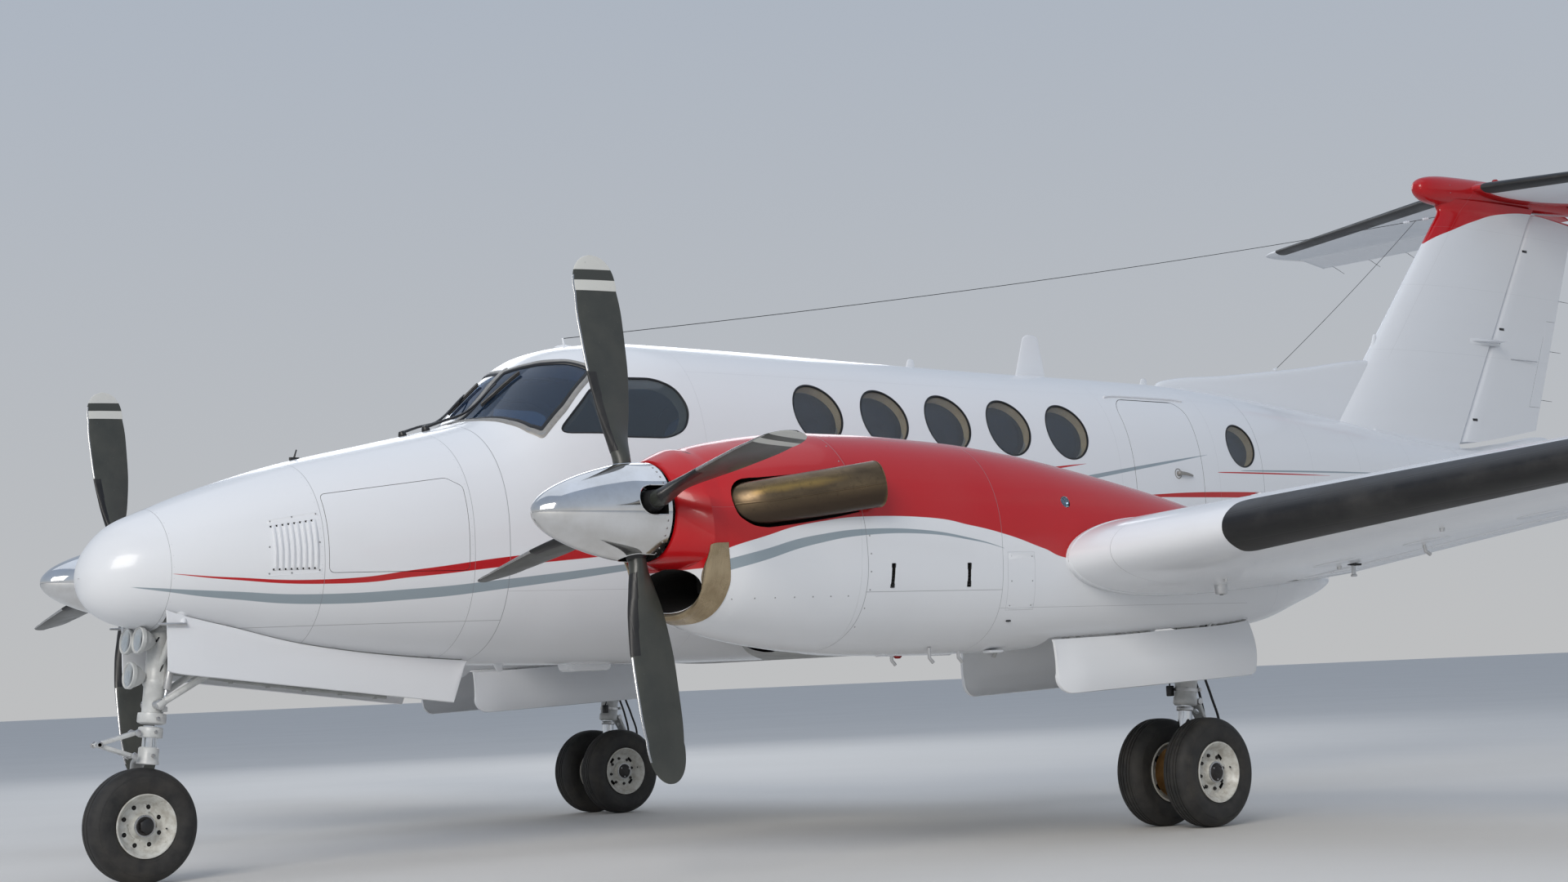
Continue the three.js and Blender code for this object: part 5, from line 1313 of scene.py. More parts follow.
door_line2 = round_rect(*DOOR)
exit_line = round_rect(*EXIT)
cutters = [prism(screen_line, "z", 1.98, 2.9, 2)]
for o in (storm, sidewin):
    cutters += [side_prism(o, .35, .95, 2), side_prism(o, .35, .95, 2).mirrored()]
cutters.append(side_prism(door_hole, .1, .95, 2))
cutters.append(side_prism(grow(exit_line, .003), .2, .95, 2).mirrored())
for s in CABIN_WINDOWS_S:
    cutters.append(side_prism(circle2(s, window_z(s), WINDOW_R), .4, .95, 2))
    if s != CABIN_WINDOWS_S[2]:
        cutters.append(side_prism(circle2(s, window_z(s), WINDOW_R), .4, .95, 2).mirrored())
for q in (1, -1):
    c = side_prism(circle2(*SMALL_WINDOW), .3, .95, 2)
    cutters.append(c if q > 0 else c.mirrored())
for c in cutters:
    shell_me = boolean(shell_me, raw(c))
piece("cabin_shell_skin", shell_me, FUS_MATS, replaces="cabin_shell")

# --- cockpit glazing
for q, side in ((1, "left"), (-1, "right")):
    # each windscreen pane, its rubber and the screwed metal frame
    half = np.array([(0.011, 1.822)] + SCREEN[1:-1] + [(0.011, 2.158)])
    line = rounded(half, [.02, .25, .3, .08, .035, .5, .3, .03, .3, .25, .02])
    if area2(line) < 0:
        line = line[::-1]
    me = keep(prism(grow(line, -.010), "z", 1.98, 2.9, 0), fus_solid(1.76, 2.52, -.006, step=.02))
    me = boolean(me, raw(fus_solid(1.74, 2.6, -.018, step=.02)))
    rub = resample(line, .012)
    gas = strip(rub, [(-.026, -.004), (-.023, .0005), (-.012, .0022), (-.004, .0012), (-.004, -.010), (-.022, -.010)], on_top)
    frm = strip(rub, [(-.010, -.006), (-.010, .0016), (-.008, .0030), (.009, .0030), (.012, .0010), (.012, -.004)], on_top)
    if q < 0:
        me, gas, frm = mirror_mesh(me), gas.mirrored(), frm.mirrored()
    piece(f"windscreen_pane_{side}", me, [MAT["screen_glass"]], replaces=["windshield"] if q > 0 else [])
    piece(f"windscreen_rubber_{side}", gas, [MAT["gasket"]], angle=50)
    bolts = Geo()
    pts = resample(grow(line, .001), .048)
    for x, s in pts:
        if x > .020:
            bolts.join(top_bolt(x, s, .0042, .0013, 1, .0028))
    if q < 0:
        bolts = bolts.mirrored()
    piece(f"windscreen_frame_{side}", frm.join(bolts), [MAT["frame"], MAT["screw"]], angle=40)
post = rail([(0, s) for s in np.linspace(1.802, 2.182, 26)], [(-.016, -.004), (-.016, .0035), (-.012, .0055), (.012, .0055), (.016, .0035), (.016, -.004)], on_top)
for s in np.linspace(1.83, 2.16, 8):
    post.join(top_bolt(0, s, .0042, .0013, 1, .0052))
piece("windscreen_post", post, [MAT["frame"], MAT["screw"]], angle=40)

for side, q in (("left", 1), ("right", -1)):
    for key, o in (("storm", storm), ("aft", sidewin)):
        me = keep(side_prism(grow(o, -.006), .35, .95, 0), fus_solid(1.9, 3.1, -.004, step=.02))
        me = boolean(me, raw(fus_solid(1.8, 3.2, -.014, step=.02)))
        rub = resample(o if area2(o) > 0 else o[::-1], .012)
        gas = strip(rub, [(-.009, -.002), (-.007, .0004), (-.002, .0010), (.001, .0006), (.001, -.012), (-.008, -.012)], on_side)
        trim = strip(rub, [(.004, -.070), (.000, -.0125), (-.007, -.0145), (-.020, -.070)], on_side)
        if q < 0:
            me, gas, trim = mirror_mesh(me), gas.mirrored(), trim.mirrored()
        piece(f"cockpit_{key}_pane_{side}", me, [MAT["cockpit_glass"]], replaces=[f"side_window_{side}"] if key == "aft" else [])
        piece(f"cockpit_{key}_rubber_{side}", gas, [MAT["gasket"]], angle=50)
        piece(f"cockpit_{key}_reveal_{side}", trim, [MAT["reveal"]], angle=50)

# --- round cabin windows: rubber lip, cream reveal, tinted pane, inner pane
def window(s, z, r, n=64):
    c = circle2(s, z, r, n)
    lip = strip(c, [(-.007, -.006), (-.0065, .0006), (-.003, .0016), (.002, .0012), (.003, -.002), (.000, -.006)], on_side, 0)
    tunnel = strip(c, [(-.003, -.002), (-.0045, -.0025), (-.0065, -.060), (-.0065, -.070), (-.004, -.080), (.000, -.080), (-.001, -.004)], on_side, 1)
    ring = strip(c, [(-.0045, -.0045), (-.0085, -.0055), (-.0085, -.0065), (-.0045, -.0100)], on_side, 2)

    def disc(rr, d0, d1, mat):
        rings = [on_side(circle2(s, z, rr * k, n), d0) for k in (.02, .25, .5, .75, .97)] + [on_side(circle2(s, z, rr, n), d0 - .001)]
        rings += [on_side(circle2(s, z, rr, n), d1 + .001)] + [on_side(circle2(s, z, rr * k, n), d1) for k in (.97, .75, .5, .25, .02)]
        return outward(loft(rings, mat))
    return lip.join(tunnel, ring), disc(r - .0050, -.0060, -.0105, 0), disc(r - .0070, -.060, -.064, 1)


for q, side in ((1, "left"), (-1, "right")):
    trims, outer_p, inner_p = Geo(), Geo(), Geo()
    for s in CABIN_WINDOWS_S:
        if q < 0 and s == CABIN_WINDOWS_S[2]:
            continue
        a, b, c = window(s, window_z(s), WINDOW_R)
        trims.join(a), outer_p.join(b), inner_p.join(c)
    # padded belt lining between the window frames, inside the wall
    o = round_rect(3.60, 6.04, 2.10, 2.51, .05)
    belt = side_prism(o, .3, .95, 0)
    me = keep(belt, fus_solid(3.3, 6.3, -.0806))
    me = boolean(me, raw(fus_solid(3.2, 6.4, -.0895)))
    for s in CABIN_WINDOWS_S:
        me = boolean(me, raw(side_prism(circle2(s, window_z(s), WINDOW_R - .018), .3, .95, 0)))
    if q < 0:
        me = boolean(me, raw(side_prism(grow(exit_line, .022), .2, .95, 0)))
        me = mirror_mesh(me)
        trims, outer_p, inner_p = trims.mirrored(), outer_p.mirrored(), inner_p.mirrored()
    piece(f"cabin_window_frames_{side}", trims, [MAT["gasket"], MAT["reveal"], MAT["black"]], angle=40)
    piece(f"cabin_window_panes_{side}", outer_p, [MAT["clear"], MAT["cabin_glass"]], replaces=f"cabin_windows_{side}", angle=40)
    piece(f"cabin_window_inner_panes_{side}", inner_p, [MAT["clear"], MAT["cabin_glass"]], angle=40)
    piece(f"cabin_window_belt_{side}", me, [MAT["lining"]])
    a, b, c = window(*SMALL_WINDOW)
    if q < 0:
        a, b, c = a.mirrored(), b.mirrored(), c.mirrored()
    piece(f"rear_window_frame_{side}", a, [MAT["gasket"], MAT["reveal"], MAT["black"]], angle=40)
    piece(f"rear_window_pane_{side}", b.join(c), [MAT["clear"], MAT["cabin_glass"]], replaces="aft_windows" if q > 0 else (), angle=40)

# --- plug exit on the starboard side, with its own window
me = keep(side_prism(exit_line, .3, .95, 2), fus_solid(4.2, 5.4))
me = boolean(me, raw(fus_solid(4.1, 5.5, -.080, mat=1)))
s = CABIN_WINDOWS_S[2]
me = boolean(me, raw(side_prism(circle2(s, window_z(s), WINDOW_R), .4, .95, 2)))
piece("exit_hatch_skin", mirror_mesh(me), FUS_MATS, "exit_hatch", "emergency_exit")
a, b, c = window(s, window_z(s), WINDOW_R)
grip = strip(resample(round_rect(4.70, 4.95, 1.925, 1.985, .028), .02), [(0, .0), (0, -.002), (-.006, -.010), (-.014, -.012), (-.014, .0)], on_side)
piece("exit_window_frame", a.mirrored(), [MAT["gasket"], MAT["reveal"], MAT["black"]], "exit_hatch", angle=40)
piece("exit_window_pane", b.join(c).mirrored(), [MAT["clear"], MAT["cabin_glass"]], "exit_hatch", angle=40)
pull = tube(smooth_path([(-.605, 4.74, 1.915), (-.580, 4.75, 1.912), (-.575, 4.824, 1.910), (-.580, 4.90, 1.912), (-.605, 4.91, 1.915)], 20), .007, 10)
piece("exit_handle_inside", pull, [MAT["frame"]], "exit_hatch")
flap = plate(round_rect(4.785, 4.865, 1.945, 1.975, .012), "x", -.7545, -.7505, .0015)
piece("exit_release_outside", flap, [MAT["red"]], "exit_hatch")

# --- airstair door: outer skin, lining, four treads and hand rails
me = keep(side_prism(door_line2, .1, .95, 2), fus_solid(6.1, 7.3, step=.03))
me = boolean(me, raw(fus_solid(6.0, 7.4, -.080, mat=1, step=.05)))
swing = revolve([(0, 0), (DOOR_HINGE[2], 0), (DOOR_HINGE[2], 1.4), (0, 1.4)], (DOOR_HINGE[0], 6.0, DOOR_HINGE[1]), (0, 1, 0), 360, 2)
me = boolean(me, raw(swing), "INTERSECT")
piece("cabin_door_skin", me, FUS_MATS, "cabin_door_body", "cabin_door")
g = Geo()
for z in (1.42, 1.66, 1.90, 2.14):
    x = float(fus_x(np.array([6.71]), np.array([z]), -.080)[0])
    g.join(rbox((x - .028, 6.71, z), (.060, .50, .020), .006, 0))
    g.join(rbox((x - .056, 6.71, z + .001), (.006, .50, .026), .002, 1))
    for s in (6.465, 6.955):
        g.join(plate([(x - .002, z - .055), (x - .002, z + .012), (x - .054, z + .012), (x - .054, z - .006)], "y", s - .004, s + .004, .001, 1))
    for k in range(7):
        g.join(rbox((x - .010 - .006 * k, 6.71, z + .0105), (.002, .48, .002), .0006, 2))
piece("airstair_treads", g, [MAT["black"], MAT["alu"], MAT["rubber"]], "cabin_door_body", angle=40)
g = Geo()
zz = np.linspace(1.36, 2.30, 24)
for s in (6.43, 6.99):
    p = np.stack([fus_x(np.full(24, s), zz, -.080) - .030 - .012 * np.sin(np.pi * np.linspace(0, 1, 24)), np.full(24, s), zz], 1)
    p[0, 0] += .032
    p[-1, 0] += .032
    g.join(tube(p, .0065, 10, 0))
piece("airstair_hand_rails", g, [MAT["steel"]], "cabin_door_body")
# outside handle in a shallow dish, drip rail, door seal and hinge rod
dish = strip(circle2(6.790, 2.050, .031, 32), [(-.004, -.003), (-.003, .0012), (.000, .0022), (.003, .0012), (.004, -.003)], on_side)
hub = revolve([(0, 0), (.017, 0), (.017, .020), (.013, .026), (0, .027)], on_side([(6.790, 2.050)], 0)[0], fus_n(np.array([6.79]), np.array([2.05]))[0], 24)
arm = tube(smooth_path(np.vstack([on_side([(6.790, 2.050)], .022), on_side([(6.83, 2.047)], .026), on_side([(6.90, 2.040)], .016), on_side([(6.925, 2.038)], .008)]), 18),
           np.linspace(.0125, .007, 18), 12, aspect=.6, hint=(1, 0, 0))
piece("door_handle", dish.join(hub, arm), [MAT["frame"]], "cabin_door_body", angle=40)
gutter = rail([(s, z) for s, z in zip(np.linspace(6.33, 7.09, 26), 2.556 - .010 * np.abs(np.linspace(-1, 1, 26)) ** 6)],
              [(-.004, -.002), (-.004, .010), (-.001, .013), (.003, .011), (.004, -.002)], on_side)
piece("door_drip_rail", gutter, [MAT["white"]], angle=40)
seal = strip(resample(door_hole if area2(door_hole) > 0 else door_hole[::-1], .02), [(.000, -.050), (-.003, -.046), (-.004, -.040), (-.002, -.034), (.001, -.032), (.004, -.040)], on_side)
piece("door_seal", seal, [MAT["rubber"]])
hinge = tube(np.stack([np.full(30, .605), np.linspace(6.42, 7.00, 30), np.full(30, 1.232)], 1), .0055, 8)
piece("door_hinge_rod", hinge, [MAT["steel"]])

# --- tail: aft fuselage, tail cone with the ventral fin, dorsal rivet line
aft = fus_solid(7.70 + G, 10.40 - G, step=.06)
piece("aft_fuselage_skin", aft, FUS_MATS, replaces="aft_fuselage")
s = np.concatenate([np.linspace(10.40 + G, 11.9, 34), np.linspace(11.93, 12.05, 6)])
rings = superellipse(fus_rows(s), s, NF)
tip = superellipse(fus_rows(np.array([12.05])), np.array([12.058]), NF)
tip = rings[-1:].mean(1, keepdims=True) + (tip - rings[-1:].mean(1, keepdims=True)) * .5
tip[:, :, 1] = 12.062
tail_cone = loft(np.vstack([rings, tip]), 0)
piece("tail_cone_skin", tail_cone, FUS_MATS, replaces="tail_cone")
line = rounded([(9.42, 1.695), (11.20, 2.06), (11.30, 1.87), (11.05, 1.80), (10.52, 1.78)], [.01, .01, .02, .05, .25])
line = resample(line, .04)
if area2(line) < 0:
    line = line[::-1]
rings = []
for d, x in ((-.016, -.0145), (-.008, -.0158), (0, -.013), (.003, -.006), (.003, .006), (0, .013), (-.008, .0158), (-.016, .0145)):
    o = grow(line, d - .003)
    rings.append(np.stack([np.full(len(o), x), o[:, 0], o[:, 1]], 1))
piece("ventral_fin", outward(loft(rings)), [MAT["tail"]])
eye = rod((0, 11.18, 1.92), (0, 11.18, 1.835), .014, .012, 16).join(
    revolve([(.020 + .0065 * math.cos(a), .0065 * math.sin(a)) for a in np.linspace(0, 2 * math.pi, 13)[:-1]], (0, 11.18, 1.822), (1, 0, 0), 28, 0, closed=True))
piece("tie_down_ring", eye, [MAT["steel"]])


# --------------------------------------------------------------------- wing
def thick(f, t):
    f = np.asarray(f, float)
    return 5 * t * (.2969 * np.sqrt(f) - .126 * f - .3516 * f**2 + .2843 * f**3 - .1015 * f**4)


def station(table, x):
    """Wing numbers s, z, chord, thickness, angle at half span x."""
    return linear(table, x)[0]


def foil(table, x, f, side, d=0.0):
    """Points (x, s, z) on the wing at half span x and chord fractions f, side 1 above, -1 below, 0 between."""
    s, z, c, t, deg = station(table, x)
    f = np.atleast_1d(np.asarray(f, float))
    u, v, a = f * c, 4 * CAMBER * f * (1 - f) * c + side * (thick(f, t) * c + d), math.radians(deg)
    return np.stack([np.full_like(f, x), s + u * math.cos(a) + v * math.sin(a), z - u * math.sin(a) + v * math.cos(a)], 1)


CHORD = (1 - np.cos(np.linspace(0, np.pi, 34))) / 2          # 0 at the nose, 1 behind
CHORD = CHORD ** 1.15


def foil_ring(table, x, d=0.0):
    up, lo = foil(table, x, CHORD[::-1], 1, d), foil(table, x, CHORD[1:], -1, d)
    return np.vstack([up, lo])


def tip_table():
    """Outer wing stations with a rounded tip."""
    k = WING_OUTER[2:]
    xs = np.concatenate([[3.0605], np.linspace(3.3, 7.9, 24), 8.305 - .325 * (1 - np.sin(np.linspace(0, np.pi / 2, 12)))])
    rows = np.where((xs < 7.98)[:, None], linear(WING_OUTER, xs), pchip(k[:, 0], k[:, 1:], xs))
    return np.column_stack([xs, rows])


WING_FINE = tip_table()


def panel_ring(table, x, hinge, inset=0.0):
    """Moving panel: both skins behind the hinge and a round nose about it."""
    fs = np.linspace(1, hinge, 9)
    up, lo = foil(table, x, fs, 1, -inset), foil(table, x, fs[::-1], -1, -inset)
    c, q = foil(table, x, hinge, 0)[0], up[-1]
    r = math.hypot(q[1] - c[1], q[2] - c[2])
    a = math.atan2(c[1] - q[1], q[2] - c[2])
    b = math.atan2(c[1] - lo[0][1], lo[0][2] - c[2])
    t = np.linspace(a, b if b > a else b + 2 * math.pi, 16)[1:-1]
    nose = np.stack([np.full_like(t, x), c[1] - r * np.sin(t), c[2] + r * np.cos(t)], 1)
    return np.vstack([up, nose, lo])


def panel_body(table, x0, x1, hinge):
    e = .0022
    xs = [x0, x0 + e * .3, x0 + e] + list(np.linspace(x0 + .05, x1 - .05, 9)) + [x1 - e, x1 - e * .3, x1]
    ins = [e, .3 * e, 0] + [0] * 9 + [0, .3 * e, e]
    return outward(loft([panel_ring(table, x, hinge, i) for x, i in zip(xs, ins)]))


def panel_room(table, x0, x1, hinge, ends):
    def front(x):
        c, u = foil(table, x, hinge, 0)[0], foil(table, x, hinge, 1)[0]
        return c[1] - math.hypot(u[1] - c[1], u[2] - c[2]) - MOVE
    a, b = x0 - ends, x1 + ends
    return prism([(a, front(a)), (b, front(b)), (b, 6.2), (a, 6.2)], "z", .5, 2.6, 3)


def on_wing(table, outline, side, lo=-.004, hi=.0012, mat=0):
    """Thin plate following the skin; outline is (x, s)."""
    rings = []
    o = np.asarray(outline, float)
    for d, k in ((lo, 0), (hi - .0004, 0), (hi, -.0008)):
        pts = []
        for x, s in grow(o, k):
            st = station(table, x)
            f = np.clip((s - st[0]) / (st[2] * math.cos(math.radians(st[4]))), .001, 1)
            pts.append(foil(table, x, f, side, d)[0])
        rings.append(pts)
    return outward(loft(rings, mat))


def skin_at(table, x, s, side, d=0.0):
    st = station(table, x)
    return foil(table, x, np.clip((s - st[0]) / (st[2] * math.cos(math.radians(st[4]))), .001, 1), side, d)[0]


def wing_screw(table, x, s, side, mat, r=.0042):
    p = skin_at(table, x, s, side, -.002)
    n = unit(skin_at(table, x, s, side, .01) - p)
    return revolve([(0, 0), (r, 0), (r, .0026), (r * .75, .0032), (r * .3, .0032), (0, .0026)], p, n, 10, mat)


WING_MATS = [MAT["wing"], MAT["dark"], MAT["screw"], MAT["well"], MAT["black"], MAT["alu"], MAT["white"]]
outer = loft([foil_ring(WING_FINE, x) for x in WING_FINE[:, 0]])
rooms = [panel_room(WING_OUTER, *p[1:]) for p in PANELS[1:]]
body = cut(outer, *rooms)
# extras on the outer wing: jack pad, access plates, fuel caps, drains, vents, wicks, aileron rod fairing
ex = Geo()
ex.join(revolve([(0, 0), (.026, .004), (.030, .008), (.032, .03), (.035, .19), (0, .195)], (3.30, 4.15, 1.165), (0, 0, 1), 24, 5),
        revolve([(0, -.0015), (.009, -.0015), (.009, .006), (0, .006)], (3.30, 4.15, 1.166), (0, 0, 1), 16, 1))
for cx, cs, r in ((3.82, 3.86, .046), (6.9, 4.46, .030)):
    ex.join(on_wing(WING_OUTER, circle2(cx, cs, r, 36), 1, hi=.0016, mat=6))
    p = skin_at(WING_OUTER, cx, cs, 1)
    n = unit(skin_at(WING_OUTER, cx, cs, 1, .01) - p)
    ex.join(revolve([(0, -.002), (r * .55, -.002), (r * .55, .0030), (r * .50, .0042), (0, .0042)], p, n, 30, 5),
            bar(p + n * .004 + np.array((-r * .4, 0, 0)), p + n * .004 + np.array((r * .4, 0, 0)), .008, .005, (0, 1, 0), .002, 5))
for k, x in enumerate((3.75, 4.25, 4.85, 5.45, 6.05, 6.65, 7.25)):
    st = station(WING_OUTER, x)
    cs = st[0] + st[2] * .52
    w, h = .115, .075 * st[2] / 1.6 + .03
    ov = np.array([(x + w * math.cos(t), cs + h * math.sin(t)) for t in 2 * np.pi * np.arange(36) / 36])
    ex.join(on_wing(WING_OUTER, ov, -1, hi=.0011, mat=6))
    for t in 2 * np.pi * np.arange(14) / 14:
        ex.join(wing_screw(WING_OUTER, x + (w - .010) * math.cos(t), cs + (h - .010) * math.sin(t), -1, 2, .0034))
for x, f in ((3.45, .30), (4.6, .30), (3.55, .66), (5.2, .66)):
    st = station(WING_OUTER, x)
    p = foil(WING_OUTER, x, f, -1)[0]
    ex.join(revolve([(0, -.014), (.010, -.014), (.013, 0), (.013, .004), (0, .004)], p, (0, 0, 1), 16, 5))
p = foil(WING_OUTER, 4.10, .62, -1)[0]
ex.join(tube([(4.10, p[1], p[2] + .01), (4.10, p[1] + .012, p[2] - .03), (4.10, p[1] + .045, p[2] - .045)], .009, 12, 5, hint=(1, 0, 0)))
# fairing over the aileron rod and the small post that hangs behind the nacelle's outboard side
p = foil(WING_OUTER, 6.35, .62, -1)[0]
ex.join(loft([[(6.35 + w * math.cos(t), p[1] + ds, p[2] + .012 - h * max(0, math.sin(t)) + .004 * min(0, math.sin(t))) for t in 2 * np.pi * np.arange(16) / 16]
              for ds, w, h in ((-.11, .004, .016), (-.09, .014, .026), (-.04, .024, .040), (.03, .026, .044), (.08, .020, .036), (.115, .006, .018))], 6))
p = foil(WING_OUTER, 3.52, .735, -1)[0]
ex.join(rbox(p + np.array((0, 0, -.020)), (.010, .026, .055), .003, 5), rbox(p + np.array((0, .0, -.050)), (.018, .034, .012), .004, 5))
ex.join(outward(loft([[(3.62 + .02 * q, p[1] - .12 + a, p[2] + b) for a, b in ((-.03, .004), (.03, .004), (.03, -.006), (-.03, -.003))] for q in (-1, 1)], 1)))
# wicks on the tip
for x in (8.02, 8.12):
    te = foil(WING_FINE, x, 1, 0)[0]
    ex.join(rod(te + np.array((0, -.012, 0)), te + np.array((0, .02, 0)), .0042, .0036, 8, 5), rod(te, te + np.array((.004, .145, -.002)), .0022, .0014, 8, 4))
body = add_geo(body, ex)
both("wing_{side}", body, WING_MATS, replaces=["wing_{side}"])

# tip light: clear cover moulded to the tip's nose with a coloured bulb behind it
for side, q, lens in (("left", 1, MAT["lens_red"]), ("right", -1, MAT["lens_green"])):
    xs = np.linspace(8.13, 8.285, 10)
    rings = []
    for x in xs:
        fs = np.linspace(.13, 0, 9)
        a = np.vstack([foil(WING_FINE, x, fs, 1, .0022), foil(WING_FINE, x, fs[::-1][1:], -1, .0022)])
        b = np.vstack([foil(WING_FINE, x, fs, 1, -.004), foil(WING_FINE, x, fs[::-1][1:], -1, -.004)])
        b[:, 1] += .006
        rings.append(np.vstack([a, b[::-1]]))
    g = outward(loft(rings, 0))
    piece(f"tip_light_{side}", g if q > 0 else g.mirrored(), [lens])

# de-icing boots on the outer wing, a thin rubber skin over the nose
def boot_shell(table, xs, share, lo, mat=0, up=.075, down=.088, thickness=.0016):
    rings = []
    for x in xs:
        k = share(x)
        fu, fd = up * k * np.linspace(1, 0, 15)**1.6, down * k * np.linspace(0, 1, 15)[1:]**1.6
        base = np.vstack([foil(table, x, fu, 1), foil(table, x, fd, -1)])
        t = np.gradient(base[:, 1:], axis=0)
        t /= np.linalg.norm(t, axis=1, keepdims=True)
        n = np.stack([np.zeros(len(t)), t[:, 1], -t[:, 0]], 1)
        d = np.full((len(t), 1), thickness)
        d[0] = d[-1] = .0002
        rings.append(np.vstack([base + n * d, (base - n * .003)[::-1]]))
    return outward(loft(rings, mat))


def corner(x0, r):
    return lambda x: 1.0 if x > x0 + r else .80 + .20 * math.sqrt(max(0, 1 - ((x0 + r - x) / r)**2))


xs = np.concatenate([3.89 + .06 * (1 - np.cos(np.linspace(0, np.pi / 2, 9))), np.linspace(4.0, 7.95, 22), [8.03, 8.10]])
both("wing_boot_{side}", boot_shell(WING_FINE, xs, corner(3.89, .06), 0), [MAT["boot_wing"]])

# aileron and flaps
for name, x0, x1, hinge, ends in PANELS:
    table = WING_CENTRE if name == "flap_inner" else WING_OUTER
    g = panel_body(table, x0, x1, hinge)
    if name == "aileron":
        a = cut(g, box(6.02, 6.0225, 5.02, 6.2, 1.2, 2.3, 1), box(6.74, 6.7425, 4.9, 6.2, 1.2, 2.3, 1))
        ex = Geo()
        for x in (6.95, 7.30, 7.65, 7.88):
            te = foil(table, x, 1, 0)[0]
            ex.join(rod(te + np.array((0, -.012, 0)), te + np.array((0, .02, 0)), .0042, .0036, 8, 2), rod(te, te + np.array((.006, .145, -.012)), .0022, .0014, 8, 1))
        c = foil(table, 6.38, .90, -1)[0]
        ex.join(rod(c + np.array((0, -.12, -.010)), c + np.array((0, .035, -.012)), .004, .004, 8, 2), rbox(c + np.array((0, .035, -.006)), (.010, .022, .020), .003, 2))
        both("aileron_{side}", add_geo(a, ex), [MAT["wing"], MAT["black"], MAT["alu"]], "aileron_{side}_body", ["aileron_{side}"])
    else:
        ex = Geo()
        k = name[5:]
        for x in np.arange(x0 + .16, x1 - .05, .31):
            fs = np.linspace(hinge + .03, .985, 8)
            a = foil(table, x, fs, -1, -.0006)
            ex.join(tube(a, .0028, 8, 0, 1.4, hint=(1, 0, 0)))
        g.join(ex)
        both("flap_{side}_" + k, g, [MAT["wing"]], "flap_{side}_" + k + "_body", ["flap_{side}_" + k])

# centre wing: two stubs, the slab that carries them under the floor, and the fillet where they meet the fuselage
def stub_solid():
    xs = np.concatenate([[.660], np.linspace(.72, 3.06, 12)])
    return outward(loft([foil_ring(WING_CENTRE, x) for x in xs], 0))


root = foil_ring(WING_CENTRE, .660)
other = root.copy()
other[:, 0] *= -1
carry = keep(outward(loft([other, root], 3)), box(-2, 2, 3, 6, .8, FLOOR_Z - .045, 3))
stub = stub_solid()
centre = fuse(carry, raw(stub), raw(stub_solid().mirrored()))
room = panel_room(WING_CENTRE, *PANELS[0][1:])
well = box(NX - .300, NX + .300, 3.55, 4.775, .7, 1.33, 3)
centre = cut(centre, room, room.mirrored(), well, well.mirrored())


def root_fillet(r=.055):
    """Quarter-round fairing over the stub and round its nose, where it leaves the fuselage."""
    n = 90
    f = .985 * (np.linspace(1, 0, n)**1.6)
    base = np.vstack([foil(WING_CENTRE, .70, f, 1), foil(WING_CENTRE, .70, f[::-1][1:22], -1)])
    c = np.gradient(base, axis=0)
    nrm = np.stack([np.zeros(len(c)), c[:, 2], -c[:, 1]], 1)
    nrm /= np.linalg.norm(nrm, axis=1, keepdims=True)
    fade = np.minimum(1, np.linspace(len(base) / 14, 0.02, len(base)))[:, None]**.7
    rings = []
    for h, d in [(-.03, r), (-.012, r)] + [(r * (1 - math.cos(t)), r * (1 - math.sin(t))) for t in np.linspace(0.05, np.pi / 2, 9)] + [(r + .004, -.004), (r + .004, -.010)]:
        p = base + nrm * (d * fade)
        zz = np.maximum(p[:, 2], .99)
        x = fus_x(p[:, 1], np.clip(zz, fus_rows(p[:, 1])[:, 0] + .03, None)) + h
        q = p.copy()
        q[:, 0] = np.maximum(x, .56)
        rings.append(q)
    inner = base - nrm * .012
    inner[:, 0] = rings[0][:, 0]
    rings.append(inner)
    return outward(loft(np.swapaxes(np.array(rings), 0, 1), 0))


ex = Geo()
for x in (1.15, 1.75):
    st = station(WING_CENTRE, x)
    cs = st[0] + st[2] * .40
    ov = np.array([(x + .13 * math.cos(t), cs + .10 * math.sin(t)) for t in 2 * np.pi * np.arange(36) / 36])
    ex.join(on_wing(WING_CENTRE, ov, -1, hi=.0011, mat=6))
    for t in 2 * np.pi * np.arange(14) / 14:
        ex.join(wing_screw(WING_CENTRE, x + .120 * math.cos(t), cs + .090 * math.sin(t), -1, 2, .0034))
ex.join(root_fillet())
ex.join(ex.mirrored())
centre = add_geo(centre, ex)
# heat exchanger inlets in the noses of the stubs
slotcut = rbox((1.33, 3.36, foil(WING_CENTRE, 1.33, 0, 0)[0][2] - .002), (.46, .16, .075), .03, 1, seg=4)
centre = cut(centre, slotcut, slotcut.mirrored())
gr = Geo()
for k in range(9):
    x = 1.15 + k * .045
    z = foil(WING_CENTRE, 1.33, 0, 0)[0][2]
    gr.join(rbox((x, 3.425, z), (.006, .014, .072), .002, 5))
gr.join(gr.mirrored())
centre = add_geo(centre, gr)
piece("wing_center", centre, WING_MATS, replaces="wing_center")


# ------------------------------------------------------------------ nacelle
def nac_rings(s, off=0.0, n=96):
    return superellipse(nac_rows(s), s, n, off, NX)


def nac_side(o, d):
    """Skin points on the outboard side of the nacelle for an (s, z) outline."""
    o = np.asarray(o, float)
    return np.column_stack([NX + nac_x(o[:, 0], o[:, 1], d), o[:, 0], o[:, 1]])


def nac_plate(outline, lo, hi, mat):
    return outward(loft([nac_side(outline, lo), nac_side(grow(outline, -.0003), hi - .0004), nac_side(grow(outline, -.0010), hi)], mat))


def nac_screw(s, z, mat, r=.0045, q=1):
    p = nac_side([(s, z)], -.003)[0]
    n = unit(nac_side([(s, z)], .01)[0] - p + np.array((0, 0, (z - 1.45) * .02)))
    g = revolve([(0, 0), (r, 0), (r, .0034), (r * .8, .0042), (r * .25, .0042), (0, .0030)], p, n, 12, mat)
    return g if q > 0 else other_side(g)


